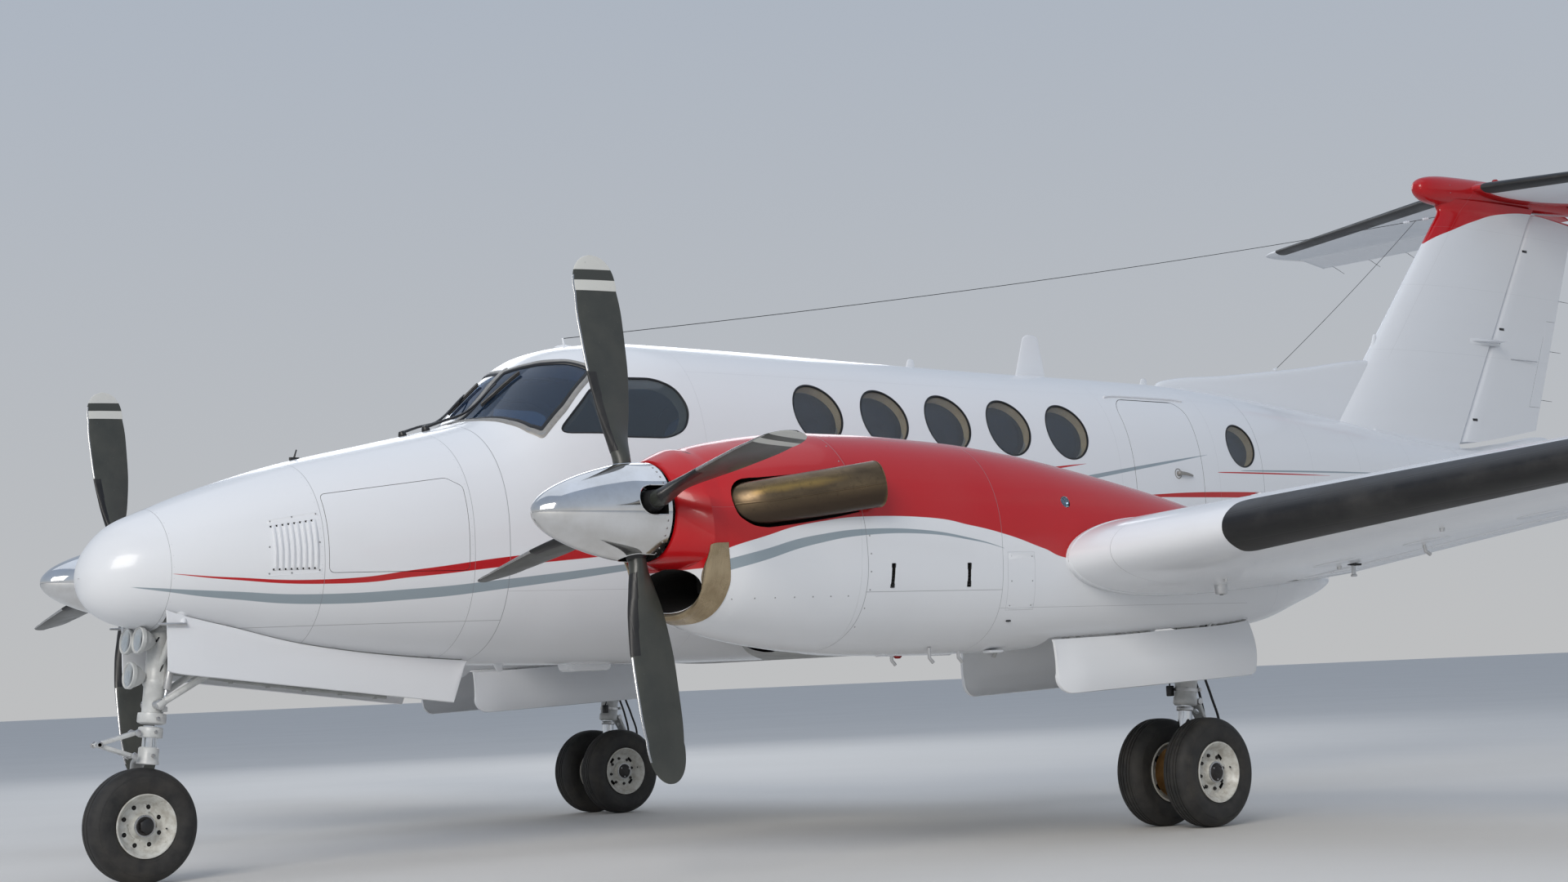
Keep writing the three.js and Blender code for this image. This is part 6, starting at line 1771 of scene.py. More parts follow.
def other_side(g):
    """Port nacelle geometry reflected about that nacelle's own centre plane."""
    h = g.mirrored()
    return h.moved((2 * NX, 0, 0))


def stack_path(q, n=26, start=0, extra=0.0):
    p = [(.16, 1.470, 1.607), (.240, 1.472, 1.608), (.308, 1.492, 1.611), (.359, 1.543, 1.617), (.390, 1.630, 1.630), (.418, 1.760, 1.648),
         (.446, 1.940, 1.673), (.474, 2.118, 1.698)]
    if extra:
        p.append((.474 + .028 * extra, 2.118 + .178 * extra, 1.698 + .025 * extra))
    return smooth_path([(NX + q * a, b, c) for a, b, c in p], n)


COWL_MATS = [MAT["nacelle"], MAT["dark"], MAT["screw"], MAT["red"], MAT["black"], MAT["alu"], MAT["well"], MAT["white"]]
# front body: round behind the spinner, growing into the deep chin
ss = np.concatenate([[1.190], [1.192, 1.196], np.linspace(1.21, 1.30, 6)])
k = np.clip((ss - 1.19) / .11, 0, 1)[:, None]
a = np.array([1.374, 1.826, .226, 1.60, 2.0, 2.0])
b = nac_rows([1.36])[0].copy()
b[0] = 1.345
head = a + (b - a) * (k ** .85)
head[0, :4] += (.003, -.003, -.003, 0)
front_s, front_rows = np.concatenate([ss, [1.36, 1.45]]), np.vstack([head, nac_rows([1.36, 1.45])])
upper = outward(loft(superellipse(front_rows, front_s, 96, 0, NX)))
s3 = np.concatenate([[1.300, 1.303, 1.312], np.linspace(1.33, COWL_END - .0004, 30)])
e3 = np.array([-.012, -.006, -.001] + [0] * 30)
full = superellipse(nac_rows(s3), s3, 96, 0, NX)
for i, e in enumerate(e3):
    c = np.array((NX, s3[i], 1.48))
    full[i] = c + (full[i] - c) * (1 + e / .35)
cowl = fuse(raw(outward(loft(full))), raw(upper))
bore = [rod((NX, 1.10, PROP_Z), (NX, 1.236, PROP_Z), .213, .213, 64, 1, 0), rod((NX, 1.232, PROP_Z), (NX, 2.2, PROP_Z), .225, .225, 64, 1, 0)]
ell = lambda a, b, zc=1.265, n=64: [(NX + a * math.cos(t), zc + b * (1.0 if math.sin(t) < 0 else .86) * math.sin(t)) for t in 2 * np.pi * np.arange(n) / n]


def duct_rings():
    out = []
    for s, a, b, zc in ((1.20, .236, .104, 1.262), (1.30, .234, .102, 1.262), (1.36, .224, .094, 1.264), (1.48, .212, .088, 1.275), (1.66, .200, .085, 1.31), (1.80, .190, .085, 1.35)):
        out.append([(x, s, z) for x, z in ell(a, b, zc)])
    return out


# the duct's walls take the near-black painted shade material
duct = outward(loft(duct_rings(), 1))


def stack_hole(q, grow_by=.008):
    p = stack_path(q, 22)
    p = np.vstack([p, p[-1] + (p[-1] - p[-2]) * 5])
    return tube(p, .086 + grow_by, 30, 1, 1.24, hint=(0, 0, 1), power=2.2)


cowl = cut(cowl, *bore, duct, raw(stack_hole(1)), raw(stack_hole(-1)))
ex = Geo()
# screws by each stack opening, and fasteners along the seams
for s, z in ((1.266, 1.605), (1.356, 1.588)):
    for q in (1, -1):
        ex.join(nac_screw(max(s, 1.31), z, 2, .0052, q))
for z in np.arange(1.06, 1.93, .075):
    s = float(np.interp(z, [.90, 1.02, 1.218, 1.419, 1.70, 1.97], [1.975, 2.061, 2.088, 2.081, 2.05, 2.03])) - .022
    if s < COWL_END - .006 and not 1.5 < z < 1.8:
        for q in (1, -1):
            ex.join(nac_screw(s, z, 2, .0040, q))
for s in np.arange(1.42, 2.0, .095):
    for q in (1, -1):
        ex.join(nac_screw(s, 1.205, 2, .0036, q))
# cooling air gill on top of the cowl
for q in (1, -1):
    x0, s0 = NX + q * .105, 1.335
    zt = float(superellipse(nac_rows([s0]), [s0], 4, 0, 0)[0][1][2]) - .016
    ex.join(tube(smooth_path([(x0 - q * .05, 1.318, zt + .004), (x0 - q * .015, 1.327, zt - .001), (x0 + q * .03, 1.350, zt - .012)], 8), [.003, .008, .010, .010, .009, .008, .006, .003], 12, 4, 1.5, hint=(0, 1, 0)))
# inlet throat: guide vanes behind the mouth
for k in range(-3, 4):
    x = NX + k * .052
    h = .080 * math.sqrt(1 - (k * .052 / .20)**2)
    ex.join(outward(loft([[(x + dx, 1.60 + ds, z) for dx, ds in ((-.001, -.03), (.0035, -.01), (.0035, .02), (.001, .035), (-.0025, .02), (-.0025, -.01))] for z in (1.30 - h, 1.30 + h)], 5)))
p = [(NX - .19, 1.66, 1.262), (NX + .19, 1.66, 1.262)]
ex.join(rod(p[0], p[1], .006, .006, 10, 5))
cowl = add_geo(cowl, ex)
both("cowling_{side}", cowl, COWL_MATS, replaces=["cowling_{side}"])

def lip_skin(s, c, q):
    """Distance from the inlet's centre to the nacelle skin, in the direction (c, q)."""
    ring = superellipse(nac_rows([s]), [s], 720, 0, 0)[0]
    x, z = ring[:, 0], ring[:, 2] - 1.262
    r = float(np.interp(math.atan2(q, c), np.arctan2(z, x), np.hypot(x, z), period=2 * math.pi))
    if q <= 0 or s >= 1.45:
        return r
    # the round front body stands proud of the cheeks near the lip's ends
    row = np.array([[np.interp(s, front_s, front_rows[:, k]) for k in range(front_rows.shape[1])]])
    ring = superellipse(row, [s], 720, 0, 0)[0]
    x, z = ring[:, 0], ring[:, 2] - 1.262
    gap = np.abs((np.arctan2(z, x) - math.atan2(q, c) + np.pi) % (2 * np.pi) - np.pi)
    far = np.hypot(x, z)[gap < .012]
    return max(r, float(far.max())) if len(far) else r


# metal lip: a band that follows the skin round the inlet, rolled over into the duct, its ends cut square on the cheeks
def lip_geo():
    face, rings = 1.286, []
    for deg in np.linspace(-208, 28, 79):
        t = math.radians(deg)
        c, q = math.cos(t), math.sin(t)
        up = min(1.0, max(0.0, deg / 28, (-180 - deg) / 28))
        k = up * up * (3 - 2 * up)
        rear = 1.392 - .030 * max(0.0, -q)**2 - .022 * k
        ri = 1 / math.sqrt((c / .234)**2 + (q / (.102 if q < 0 else .088))**2)
        r0, rr = lip_skin(1.322, c, q), lip_skin(rear, c, q)
        ri = ri * (1 - k) + (r0 - .036) * k
        rc = ri + .5 * (r0 + .002 - ri)
        prof = [(rr - .006, rear + .0005), (rr + .0004, rear + .0005), (rr + .0020, rear - .0015)]
        prof += [(lip_skin(s, c, q) + .0024, s) for s in np.linspace(rear - .006, 1.322, 4)]
        prof += [(rc + (r0 + .0024 - rc) * math.cos(a), 1.322 - (1.322 - face) * math.sin(a)) for a in np.linspace(0, math.pi / 2, 8)[1:]]
        prof += [(rc - (rc - ri + .002) * math.cos(a), 1.322 - (1.322 - face) * math.sin(a)) for a in np.linspace(math.pi / 2, 0, 8)[1:]]
        prof += [(ri - .0015, 1.36), (ri + .002, 1.40), (ri + .012, 1.40)]
        rings.append([(NX + r * c, s, 1.262 + r * q) for r, s in prof])
    return outward(loft(rings, 0))


both("inlet_lip_{side}", lip_geo(), [MAT["lip"]], angle=50)

# rear nacelle with wheel well, louvres, vents and ice light
ss = np.concatenate([[COWL_END + .0004], np.linspace(2.12, 5.62, 60), 5.79 - .17 * (1 - np.sin(np.linspace(0, np.pi / 2, 9)))])
rear = outward(loft(nac_rings(ss), 0))
well = box(NX - .300, NX + .300, 3.33, 4.79, .7, 1.33, 6)
stubg = Geo()
xs = np.linspace(2.05, 3.0598, 8)
stubg.join(outward(loft([foil_ring(WING_CENTRE, x, .0003) for x in xs], 7)))
rear = cut(rear, rod((NX, 1.9, PROP_Z), (NX, 2.45, PROP_Z), .225, .225, 48, 1, 0), well, raw(stubg))
rear = cut(rear, *[rbox((NX + q * (.440 + .01), s, 1.291), (.07, .020, .107), .004, 1, seg=3) for s in (2.236, 2.70) for q in (1, -1)])
ice_well = [rod((NX + nac_x(3.39, 1.635) - .028, 3.39, 1.632), (NX + nac_x(3.39, 1.635) + .08, 3.39, 1.66), .030, .030, 30, 1, 0)]
ice_well.append(other_side(ice_well[0]))
rear = cut(rear, *ice_well)
ex = Geo()
for q in (1, -1):
    for s in (2.236, 2.70):
        x = NX + nac_x(s, 1.291) - .008
        for i in range(7):
            z = 1.291 + (i - 3) * .0145
            g = rbox((x - .004, s, z), (.012, .019, .0035), .001, 4)
            ex.join(g if q > 0 else other_side(g))
        fr = rounded([(s - .0125, 1.2355), (s + .0125, 1.2355), (s + .0125, 1.3465), (s - .0125, 1.3465)], .004, 3)
        inn = grow(fr, -.0022)
        ring = np.array([nac_side(fr, -.004), nac_side(fr, .0010), nac_side(inn, .0010), nac_side(inn, -.004)])
        g = outward(loft(ring, 4, close=True))
        ex.join(g if q > 0 else other_side(g))
    # round screws on the access hatch and along the firewall seam
    for z in np.arange(1.07, 1.55, .08):
        s = float(np.interp(z, [.90, 1.02, 1.218, 1.419, 1.70], [1.975, 2.061, 2.088, 2.081, 2.05])) + .020
        ex.join(nac_screw(s, z, 2, .0040, q))
    # small teardrop vent low on the side
    for s, z in ((2.985, 1.075),):
        g = rbox((NX + nac_x(s, z) + .002, s, z), (.010, .030, .009), .004, 4)
        ex.join(g if q > 0 else other_side(g))
    # flush fuel drain post under the nacelle
for dx, s in ((.16, 2.86), (.22, 2.62), (-.18, 2.74)):
    zb = float(nac_rows([s])[0][0])
    ex.join(tube([(NX + dx, s, zb + .03), (NX + dx, s, zb - .018), (NX + dx, s + .022, zb - .040)], .0085, 12, 5, hint=(1, 0, 0)))
for dx, s in ((.05, 2.50), (-.06, 2.95), (.20, 3.05)):
    zb = float(nac_rows([s])[0][0])
    ex.join(rbox((NX + dx, s, zb + .002), (.060, .085, .014), .005, 7), rbox((NX + dx, s + .040, zb + .001), (.048, .012, .011), .002, 1))
# small hatch plate, raised a hair, with its corner screws
for q in (1, -1):
    o = rounded([(2.955, 1.130), (3.120, 1.130), (3.120, 1.392), (2.955, 1.392)], .02, 5)
    g = nac_plate(o, -.004, .0012, 0)
    for s, z in ((2.970, 1.147), (3.105, 1.147), (2.970, 1.375), (3.105, 1.375), (2.970, 1.26), (3.105, 1.26)):
        g.join(nac_screw(s, z, 2, .0036))
    ex.join(g if q > 0 else other_side(g))
# inside the wheel well: ribs, beam and lines
for s in np.linspace(3.46, 4.66, 7):
    ex.join(rbox((NX, s, 1.316), (.59, .016, .030), .003, 6))
    for q in (1, -1):
        ex.join(rbox((NX + q * .292, s, 1.19), (.018, .014, .26), .003, 6))
for q in (1, -1):
    ex.join(rbox((NX + q * .20, 4.06, 1.312), (.022, 1.44, .038), .004, 6))
    ex.join(tube(smooth_path([(NX + q * .25, 3.36, 1.30), (NX + q * .255, 3.75, 1.285), (NX + q * .245, 4.2, 1.295), (NX + q * .25, 4.77, 1.30)], 26), .006, 10, 5))
    ex.join(tube(smooth_path([(NX + q * .09, 3.34, 1.30), (NX + q * .10, 3.8, 1.292), (NX + q * .08, 4.3, 1.30)], 22), .005, 10, 4))
    # piano hinges along the well's edges
    for s in np.arange(3.36, 4.74, .046):
        r = nac_rows([s])[0]
        zb = r[3] - (r[3] - r[0]) * (1 - (.300 / r[2])**r[5])**(1 / r[5])
        ex.join(rod((NX + q * .3035, s, zb + .0045), (NX + q * .3035, s + .034, zb + .0045), .0042, .0042, 10, 5, .1))
rear = add_geo(rear, ex)
both("nacelle_{side}", rear, COWL_MATS, replaces=["nacelle_{side}"])

# ice light: reflector bowl and flush lens
g = Geo()
lens = Geo()
xl = NX + float(nac_x(3.39, 1.635))
for q in (1,):
    c = np.array((xl - .006, 3.39, 1.638))
    ax = unit((1, 0, .12))
    g.join(revolve([(0, -.018), (.010, -.018), (.020, -.012), (.0265, -.001), (.0275, .0015), (.0285, .0015), (.0285, -.014), (.012, -.021), (0, -.021)], c, ax, 30, 0))
    lens.join(revolve([(0, .0005), (.0262, .0005), (.0262, .0032), (.014, .0062), (0, .0072)], c, ax, 30, 0))
g.join(other_side(g))
lens.join(other_side(lens))
both("ice_light_{side}", g, [MAT["bulb"]])
both("ice_lens_{side}", lens, [MAT["cockpit_glass"]])

# wing-root ring where the wing's nose meets the nacelle
ring = []
for h, d in ((-.004, .0004), (-.004, .0022), (-.002, .0036), (.008, .0036), (.010, .0022), (.010, .0004), (.010, -.006), (-.004, -.006)):
    f = np.concatenate([.42 * np.linspace(1, 0, 24)**1.7, .42 * np.linspace(0, 1, 24)[1:]**1.7])
    up, lo = foil(WING_OUTER, 3.072 + h, f[:24], 1, d), foil(WING_OUTER, 3.072 + h, f[24:], -1, d)
    ring.append(np.vstack([up, lo]))
ring = np.array(ring)
g = outward(loft(np.swapaxes(ring, 0, 1), 0))
both("root_band_{side}", g, [MAT["white"]])

# ------------------------------------------------------------------- engine
eng = Geo()
eng.join(revolve([(0, 1.176), (.060, 1.176), (.060, 1.195), (.128, 1.200), (.150, 1.215), (.158, 1.240), (.205, 1.245), (.212, 1.262), (.212, 1.40), (.185, 1.42), (.185, 1.56), (.212, 1.58), (.215, 1.62), (.215, 2.05), (.190, 2.08), (.170, 2.42), (0, 2.43)], (NX, 0, PROP_Z), (0, 1, 0), 64, 0))
for k in range(12):
    t = 2 * math.pi * k / 12
    c = (NX + .182 * math.cos(t), 1.243, PROP_Z + .182 * math.sin(t))
    eng.join(revolve([(0, -.010), (.009, -.010), (.009, .002), (0, .002)], c, (0, 1, 0), 6, 1))
for k in range(10):
    t = 2 * math.pi * k / 10
    c = (NX + .135 * math.cos(t), 1.205, PROP_Z + .135 * math.sin(t))
    eng.join(revolve([(0, -.008), (.007, -.008), (.007, .002), (0, .002)], c, (0, 1, 0), 6, 1))


def stack_geo(q):
    p = stack_path(q, 40)
    t = np.linspace(0, 1, 40)
    rr = np.interp(t, [0, .25, .5, 1], [.080, .082, .083, .086])
    outer = tube(p, rr, 44, 0, 1.22, hint=(0, 0, 1), power=2.25)
    p2 = stack_path(q, 40)[9:]
    p2 = np.vstack([p2, p2[-1] + (p2[-1] - p2[-2]) * 1.5])
    r2 = np.concatenate([rr[9:] - .0045, [rr[-1] - .0035]])
    inner = tube(p2, r2, 44, 2, 1.22, hint=(0, 0, 1), power=2.25)
    m = cut(outer, inner)
    # weld seam along the outboard face and a rolled hem round the mouth
    ex = Geo()
    seam = []
    for i in range(7, 40):
        tan = unit(p[min(i + 1, 39)] - p[i - 1])
        side = unit(np.cross(tan, (0, 0, 1))) * (1 if q > 0 else -1)
        if side[0] * q < 0:
            side = -side
        seam.append(p[i] + side * (rr[i] + .0002))
    ex.join(tube(seam, .0026, 8, 0, 1.6, hint=(0, 0, 1)))
    tan = unit(p[-1] - p[-2])
    u = unit(np.array((0, 0, 1.0)) - tan * tan[2])
    v = np.cross(tan, u)
    hem = []
    for a in 2 * np.pi * np.arange(64) / 64:
        c, s_ = math.cos(a), math.sin(a)
        e = 2 / 2.25
        cc, sc = math.copysign(abs(c)**e, c), math.copysign(abs(s_)**e, s_)
        hem.append(p[-1] - tan * .0015 + (rr[-1] - .0018) * (1.22 * cc * u + sc * v))
    ex.join(tube(hem, .0034, 8, 0, hint=tuple(tan), close=True))
    return add_geo(m, ex)


both("engine_{side}", fuse(raw(eng)), [MAT["steel"], MAT["screw"], MAT["dark"]], replaces=["engine_{side}"])
for nm, q in (("outer", 1), ("inner", -1)):
    both("stack_{side}_" + nm, stack_geo(q), [MAT["stack"], MAT["screw"], MAT["dark"]], angle=40)

# --------------------------------------------------------------- propellers
SPIN = np.array([(0, .595), (.010, .5965), (.020, .600), (.030, .604), (.050, .620), (.085, .662), (.140, .775), (.186, .920), (.212, 1.050), (.219, 1.172)])
zs = np.concatenate([np.linspace(0, .12, 14)**1.0, np.linspace(.14, 1, 46)])
arc = np.concatenate([[0], np.cumsum(np.linalg.norm(np.diff(SPIN, axis=0), axis=1))])
arc /= arc[-1]
prof = np.column_stack([np.maximum(pchip(arc, SPIN[:, 0], zs), 0), pchip(arc, SPIN[:, 1], zs)])
prof[0, 0] = 0
BLADES = np.array([(.09, .08, .08, 90), (.235, .082, .078, 90), (.33, .12, .058, 99), (.48, .185, .042, 95), (.70, .228, .028, 90), (.90, .232, .020, 86),
                   (1.05, .205, .014, 84), (1.14, .150, .011, 83), (1.19, .060, .008, 82)])


def blade_section(r, n=36):
    """Airfoil ring of the feathered blade at radius r, standing up from the hub."""
    rr = min(max(r, .09), 1.194)
    c, t, a = pchip(BLADES[:, 0], BLADES[:, 1:], [min(rr, 1.19)])[0]
    if rr > 1.02:
        k = (rr - 1.02) / (1.194 - 1.02)
        c = .2125 * math.sqrt(max(0.0, 1 - k**2.6)) + .006
        t = .0155 - .008 * k
    mix = np.clip((rr - .24) / .16, 0, 1)
    mix = mix * mix * (3 - 2 * mix)
    u = 2 * np.pi * np.arange(n) / n
    p0, q0 = .5 * c * np.cos(u), .5 * t * np.sin(u)
    # airfoil: nose at -c/2 towards the front, flat on one face
    f = (1 + np.cos(u)) / 2
    shape = 1.4845 * np.sqrt(np.maximum(f, 0)) - .63 * f - 1.758 * f**2 + 1.4215 * f**3 - .5075 * f**4
    p1 = c * (f - .5)
    q1 = np.where(np.sin(u) >= 0, 1.25, -.75) * shape * t * .98 + .10 * t
    p, q = p0 * (1 - mix) + p1 * mix, q0 * (1 - mix) + q1 * mix
    a = math.radians(a)
    return np.stack([p * math.cos(a) - q * math.sin(a), p * math.sin(a) + q * math.cos(a), np.full(n, r)], 1)


rs = np.concatenate([[.09, .12, .16, .20, .235], np.linspace(.25, 1.02, 30), 1.194 - .174 * (1 - np.sin(np.linspace(.09, np.pi / 2, 15)))])
rings = np.array([blade_section(r) for r in rs])
blade = loft(rings, 0)
blade = outward(blade)
# the face on the local +x side carries the tip bands
v = np.array(blade.v)
for i, f in enumerate(blade.f):
    pts = v[list(f)]
    nx = np.cross(pts[1] - pts[0], pts[2] - pts[0])[0] if len(f) == 4 else 0
    blade.m[i] = 1 if nx > 0 else 0


def blade_boot():
    out = []
    for r in np.linspace(.275, .640, 24):
        sec = blade_section(r, 120)
        i = int(np.argmin(sec[:, 1]))
        k = 17
        idx = [(i + j) % 120 for j in range(-k, k + 1)]
        seg = sec[idx]
        cen = sec.mean(0)
        d = seg - cen
        d /= np.linalg.norm(d, axis=1, keepdims=True)
        o = seg + d * .0016
        o[0], o[-1] = seg[0] + d[0] * .0002, seg[-1] + d[-1] * .0002
        inner = seg - d * .003
        out.append(np.vstack([o, inner[::-1]]))
    return outward(loft(out, 2))


def nose_strip():
    """Bright guard along the outer leading edge."""
    out = []
    for r in np.linspace(.645, 1.10, 26):
        sec = blade_section(r, 120)
        i = int(np.argmin(sec[:, 1]))
        k = 7
        idx = [(i + j) % 120 for j in range(-k, k + 1)]
        seg = sec[idx]
        d = seg - sec.mean(0)
        d /= np.linalg.norm(d, axis=1, keepdims=True)
        o = seg + d * .0008
        o[0], o[-1] = seg[0] + d[0] * .0001, seg[-1] + d[-1] * .0001
        out.append(np.vstack([o, (seg - d * .002)[::-1]]))
    return outward(loft(out, 3))


strip3 = nose_strip()
boot = blade_boot()
HUBC = np.array((NX, PROP_S, PROP_Z))
ANG = [0, 90, 180, 270]
TIP = -11.1


def around(g, deg):
    """Turned about the propeller's axis, which runs aft."""
    return g.turned((0, 0, 0), (0, 1, 0), deg)


clamp = Geo()
clamp.join(revolve([(0, .10), (.058, .10), (.060, .104), (.060, .150), (.054, .160), (.046, .205), (.043, .212), (0, .212)], (0, 0, 0), (0, 0, 1), 40, 4))
clamp.join(rbox((.050, 0, .128), (.026, .10, .030), .004, 4), revolve([(0, -.058), (.008, -.058), (.008, .058), (0, .058)], (.062, 0, .128), (0, 1, 0), 10, 5))
prop = Geo()
for d in ANG:
    for g in (blade, boot, strip3, clamp):
        prop.join(around(g, d + TIP))
prop.join(revolve([(0, .930 - PROP_S), (.050, .930 - PROP_S), (.060, .940 - PROP_S), (.104, .975 - PROP_S), (.112, .990 - PROP_S), (.112, 1.150 - PROP_S), (.100, 1.168 - PROP_S), (.0, 1.168 - PROP_S)], (0, 0, 0), (0, 1, 0), 40, 5))
prop_l = prop.moved(HUBC)
prop_r = prop.moved(HUBC * (-1, 1, 1))
PROP_MATS = [MAT["blade_a"], MAT["blade_b"], MAT["boot_prop"], MAT["steel"], MAT["black"], MAT["alu"]]
piece("propeller_left", prop_l, PROP_MATS, "prop_left", "propeller_left", angle=36)
piece("propeller_right", prop_r, PROP_MATS, "prop_right", "propeller_right", angle=36)

# spinner: thin shell with a D-shaped slot for every blade and screws round its base
skin = revolve([(r, s - PROP_S) for r, s in prof] + [(.2185, 1.1715 - PROP_S), (.214, 1.172 - PROP_S), (.205, 1.168 - PROP_S), (.205, 1.160 - PROP_S)]
               + [(max(r - .005, 0), s + .0045 - PROP_S) for r, s in prof[::-1] if .003 < r < .2165 and s > .612], (0, 0, 0), (0, 1, 0), 100, 0)


def slot_cutter():
    """Round in front, square behind, reaching out through the shell."""
    o = [(.066 * math.cos(t), -.022 + .066 * math.sin(t)) for t in np.linspace(0, -math.pi, 21)]
    o += [(-.066, .052), (.066, .052)]
    return prism(o, "z", .135, .30, 1)


sp = raw(skin)
for d in ANG:
    sp = boolean(sp, raw(around(slot_cutter(), d + TIP)))
ex = Geo()
# backing plate and screws
ex.join(revolve([(.118, 1.150 - PROP_S), (.206, 1.150 - PROP_S), (.206, 1.156 - PROP_S), (.118, 1.156 - PROP_S)], (0, 0, 0), (0, 1, 0), 72, 1, closed=True))
for k in range(40):
    t = 2 * math.pi * (k + .5) / 40
    a = math.degrees(t)
    rad = float(np.interp(1.150, prof[:, 1], prof[:, 0]))
    rel = ((a - TIP) % 90)
    n = np.array((math.sin(t), 0, math.cos(t)))
    if min(rel, 90 - rel) < 19:
        continue
    ex.join(revolve([(0, -.003), (.0048, -.003), (.0048, .0006), (.0036, .0020), (.0012, .0020), (0, .0008)], n * rad + np.array((0, 1.150 - PROP_S, 0)), n, 12, 2))
# raised rim of every slot
for d in ANG:
    pts = []
    for t in np.linspace(0, -math.pi, 25):
        pts.append((.0665 * math.cos(t), -.022 + .0665 * math.sin(t)))
    pts = [(.0665, .050)] + pts + [(-.0665, .050)]
    path = []
    for x, s in pts:
        rr = float(np.interp(s + PROP_S, prof[:, 1], prof[:, 0])) - .001
        path.append((x, s, math.sqrt(rr * rr - x * x)))
    ex.join(around(tube(path, .0030, 8, 0, hint=(0, 0, 1)), d + TIP))
sp = add_geo(sp, ex)
for nm, q in (("left", 1), ("right", -1)):
    m = sp.copy()
    m.transform(Matrix.Translation((q * NX, PROP_S, PROP_Z)))
    piece(f"spinner_{nm}", m, [MAT["polished"], MAT["dark"], MAT["screw"]], f"prop_{nm}", f"spinner_{nm}", angle=40)


# ------------------------------------------------------------- landing gear
MAT["brake"] = simple("brake_disc", (.46, .26, .10), .38, .9, var=.5, scale=20)
MAT["hose"] = simple("hose_rubber", (.016, .016, .017), .5, var=.4, bump_scale=400, bump=.3)
MAT["grease"] = simple("dark_hub", (.045, .042, .04), .4, .6, var=.5, scale=30)


def mapped(g, origin, x, d, n):
    """Geometry of (u, v, w) set on its own three directions."""
    h = Geo()
    m = np.array([unit(x), unit(d), unit(n)])
    h.add(np.array(g.v) @ m + np.asarray(origin, float), g.f, g.m)
    return outward(h)


def link(a, b, wa, wb, th, holes=(), mat=0, side=(1, 0, 0)):
    """Tapered link between two pins with lightening holes; returns a mesh-ready Geo list (plate cut by holes is a mesh)."""
    a, b = np.asarray(a, float), np.asarray(b, float)
    length = np.linalg.norm(b - a)
    x, y, z = frame_of(b - a, side)
    o = []
    for t in np.linspace(-np.pi, 0, 9):
        o.append((wa / 2 * math.cos(t), wa / 2 * .35 * math.sin(t)))
    for t in np.linspace(0, np.pi, 9):
        o.append((wb / 2 * math.cos(t), length + wb / 2 * .5 * math.sin(t)))
    pl = plate(o, "z", -th / 2, th / 2, min(.003, th * .3), mat)
    m = raw(pl)
    for u, v, r in holes:
        m = boolean(m, raw(prism(circle2(u, v * length, r, 28), "z", -th, th, mat)))
    # rows are the link's own axes
    rot = Matrix((x, z, np.cross(x, z))).transposed().to_4x4()
    m.transform(Matrix.Translation((0, S0, 0)))
    m.transform(rot)
    m.transform(Matrix.Translation((a[0], a[1] - S0, a[2])))
    return m


def join_meshes(name, *parts):
    bm = bmesh.new()
    for p in parts:
        if isinstance(p, Geo):
            p = p.mesh()
        bm.from_mesh(p)
    me = bpy.data.meshes.new(name)
    bm.to_mesh(me)
    bm.free()
    for b in BLANK:
        me.materials.append(b)
    return me


GEAR_MATS = [MAT["gear"], MAT["chrome"], MAT["steel"], MAT["hose"], MAT["orange"], MAT["black"], MAT["alu"], MAT["bulb"]]


def strut(top, low, prof, mat=0, n=44):
    """Turned strut: profile of (radius, part of the length from the top)."""
    top, low = np.asarray(top, float), np.asarray(low, float)
    length = np.linalg.norm(low - top)
    return revolve([(0, 0)] + [(r, t * length) for r, t in prof] + [(0, prof[-1][1] * length)], top, low - top, n, mat)


top, low = (NX, MS + .13, 1.31), (NX, MS + .035, .62)
g = strut(top, low, [(.040, 0), (.050, .004), (.056, .02), (.058, .05), (.058, .18), (.0665, .20), (.0665, .235), (.0575, .25), (.0565, .62), (.0575, .70), (.0640, .72),
                     (.0640, .80), (.0575, .82), (.0570, .93), (.0625, .945), (.0625, .985), (.058, .995), (.052, 1.0)])
a = np.array(low)
ax = unit(np.array((NX, MS, AXLE_Z)) - np.array((NX, MS + .04, .66)))
g.join(revolve([(0, -.10), (.036, -.10), (.036, 0.0), (.036, .33), (0, .33)], np.array((NX, MS + .0375, .64)), ax, 44, 1),
       revolve([(.036, .006), (.043, .006), (.045, .010), (.045, .024), (.040, .028), (.036, .028)], a, unit(a - np.array(top)), 36, 6, closed=True))
# foot: forged collar on the piston and the axle block
g.join(revolve([(0, -.02), (.040, -.02), (.045, -.012), (.046, .075), (.042, .100), (.038, .112), (0, .112)], (NX, MS, AXLE_Z), -ax, 40, 0),
       revolve([(0, -.056), (.048, -.056), (.0535, -.050), (.0535, .050), (.048, .056), (0, .056)], (NX, MS, AXLE_Z), (1, 0, 0), 40, 0))
for q in (1, -1):
    g.join(revolve([(.030, .052), (.046, .052), (.047, .056), (.047, .062), (.030, .062)], (NX, MS, AXLE_Z), (q, 0, 0), 36, 6, closed=True))
# trunnion with its end caps, side braces into the cylinder
g.join(rod((NX - .262, MS + .12, 1.26), (NX + .262, MS + .12, 1.26), .035, .035, 32, 0),
       rod((NX - .10, MS + .12, 1.26), (NX + .10, MS + .12, 1.26), .052, .052, 36, 0, .12))
for q in (1, -1):
    g.join(rod((NX + q * .20, MS + .12, 1.255), (NX + q * .045, MS + .088, 1.02), .017, .021, 20, 0))
    g.join(rod((NX + q * .235, MS + .12, 1.26), (NX + q * .262, MS + .12, 1.26), .044, .044, 28, 6))
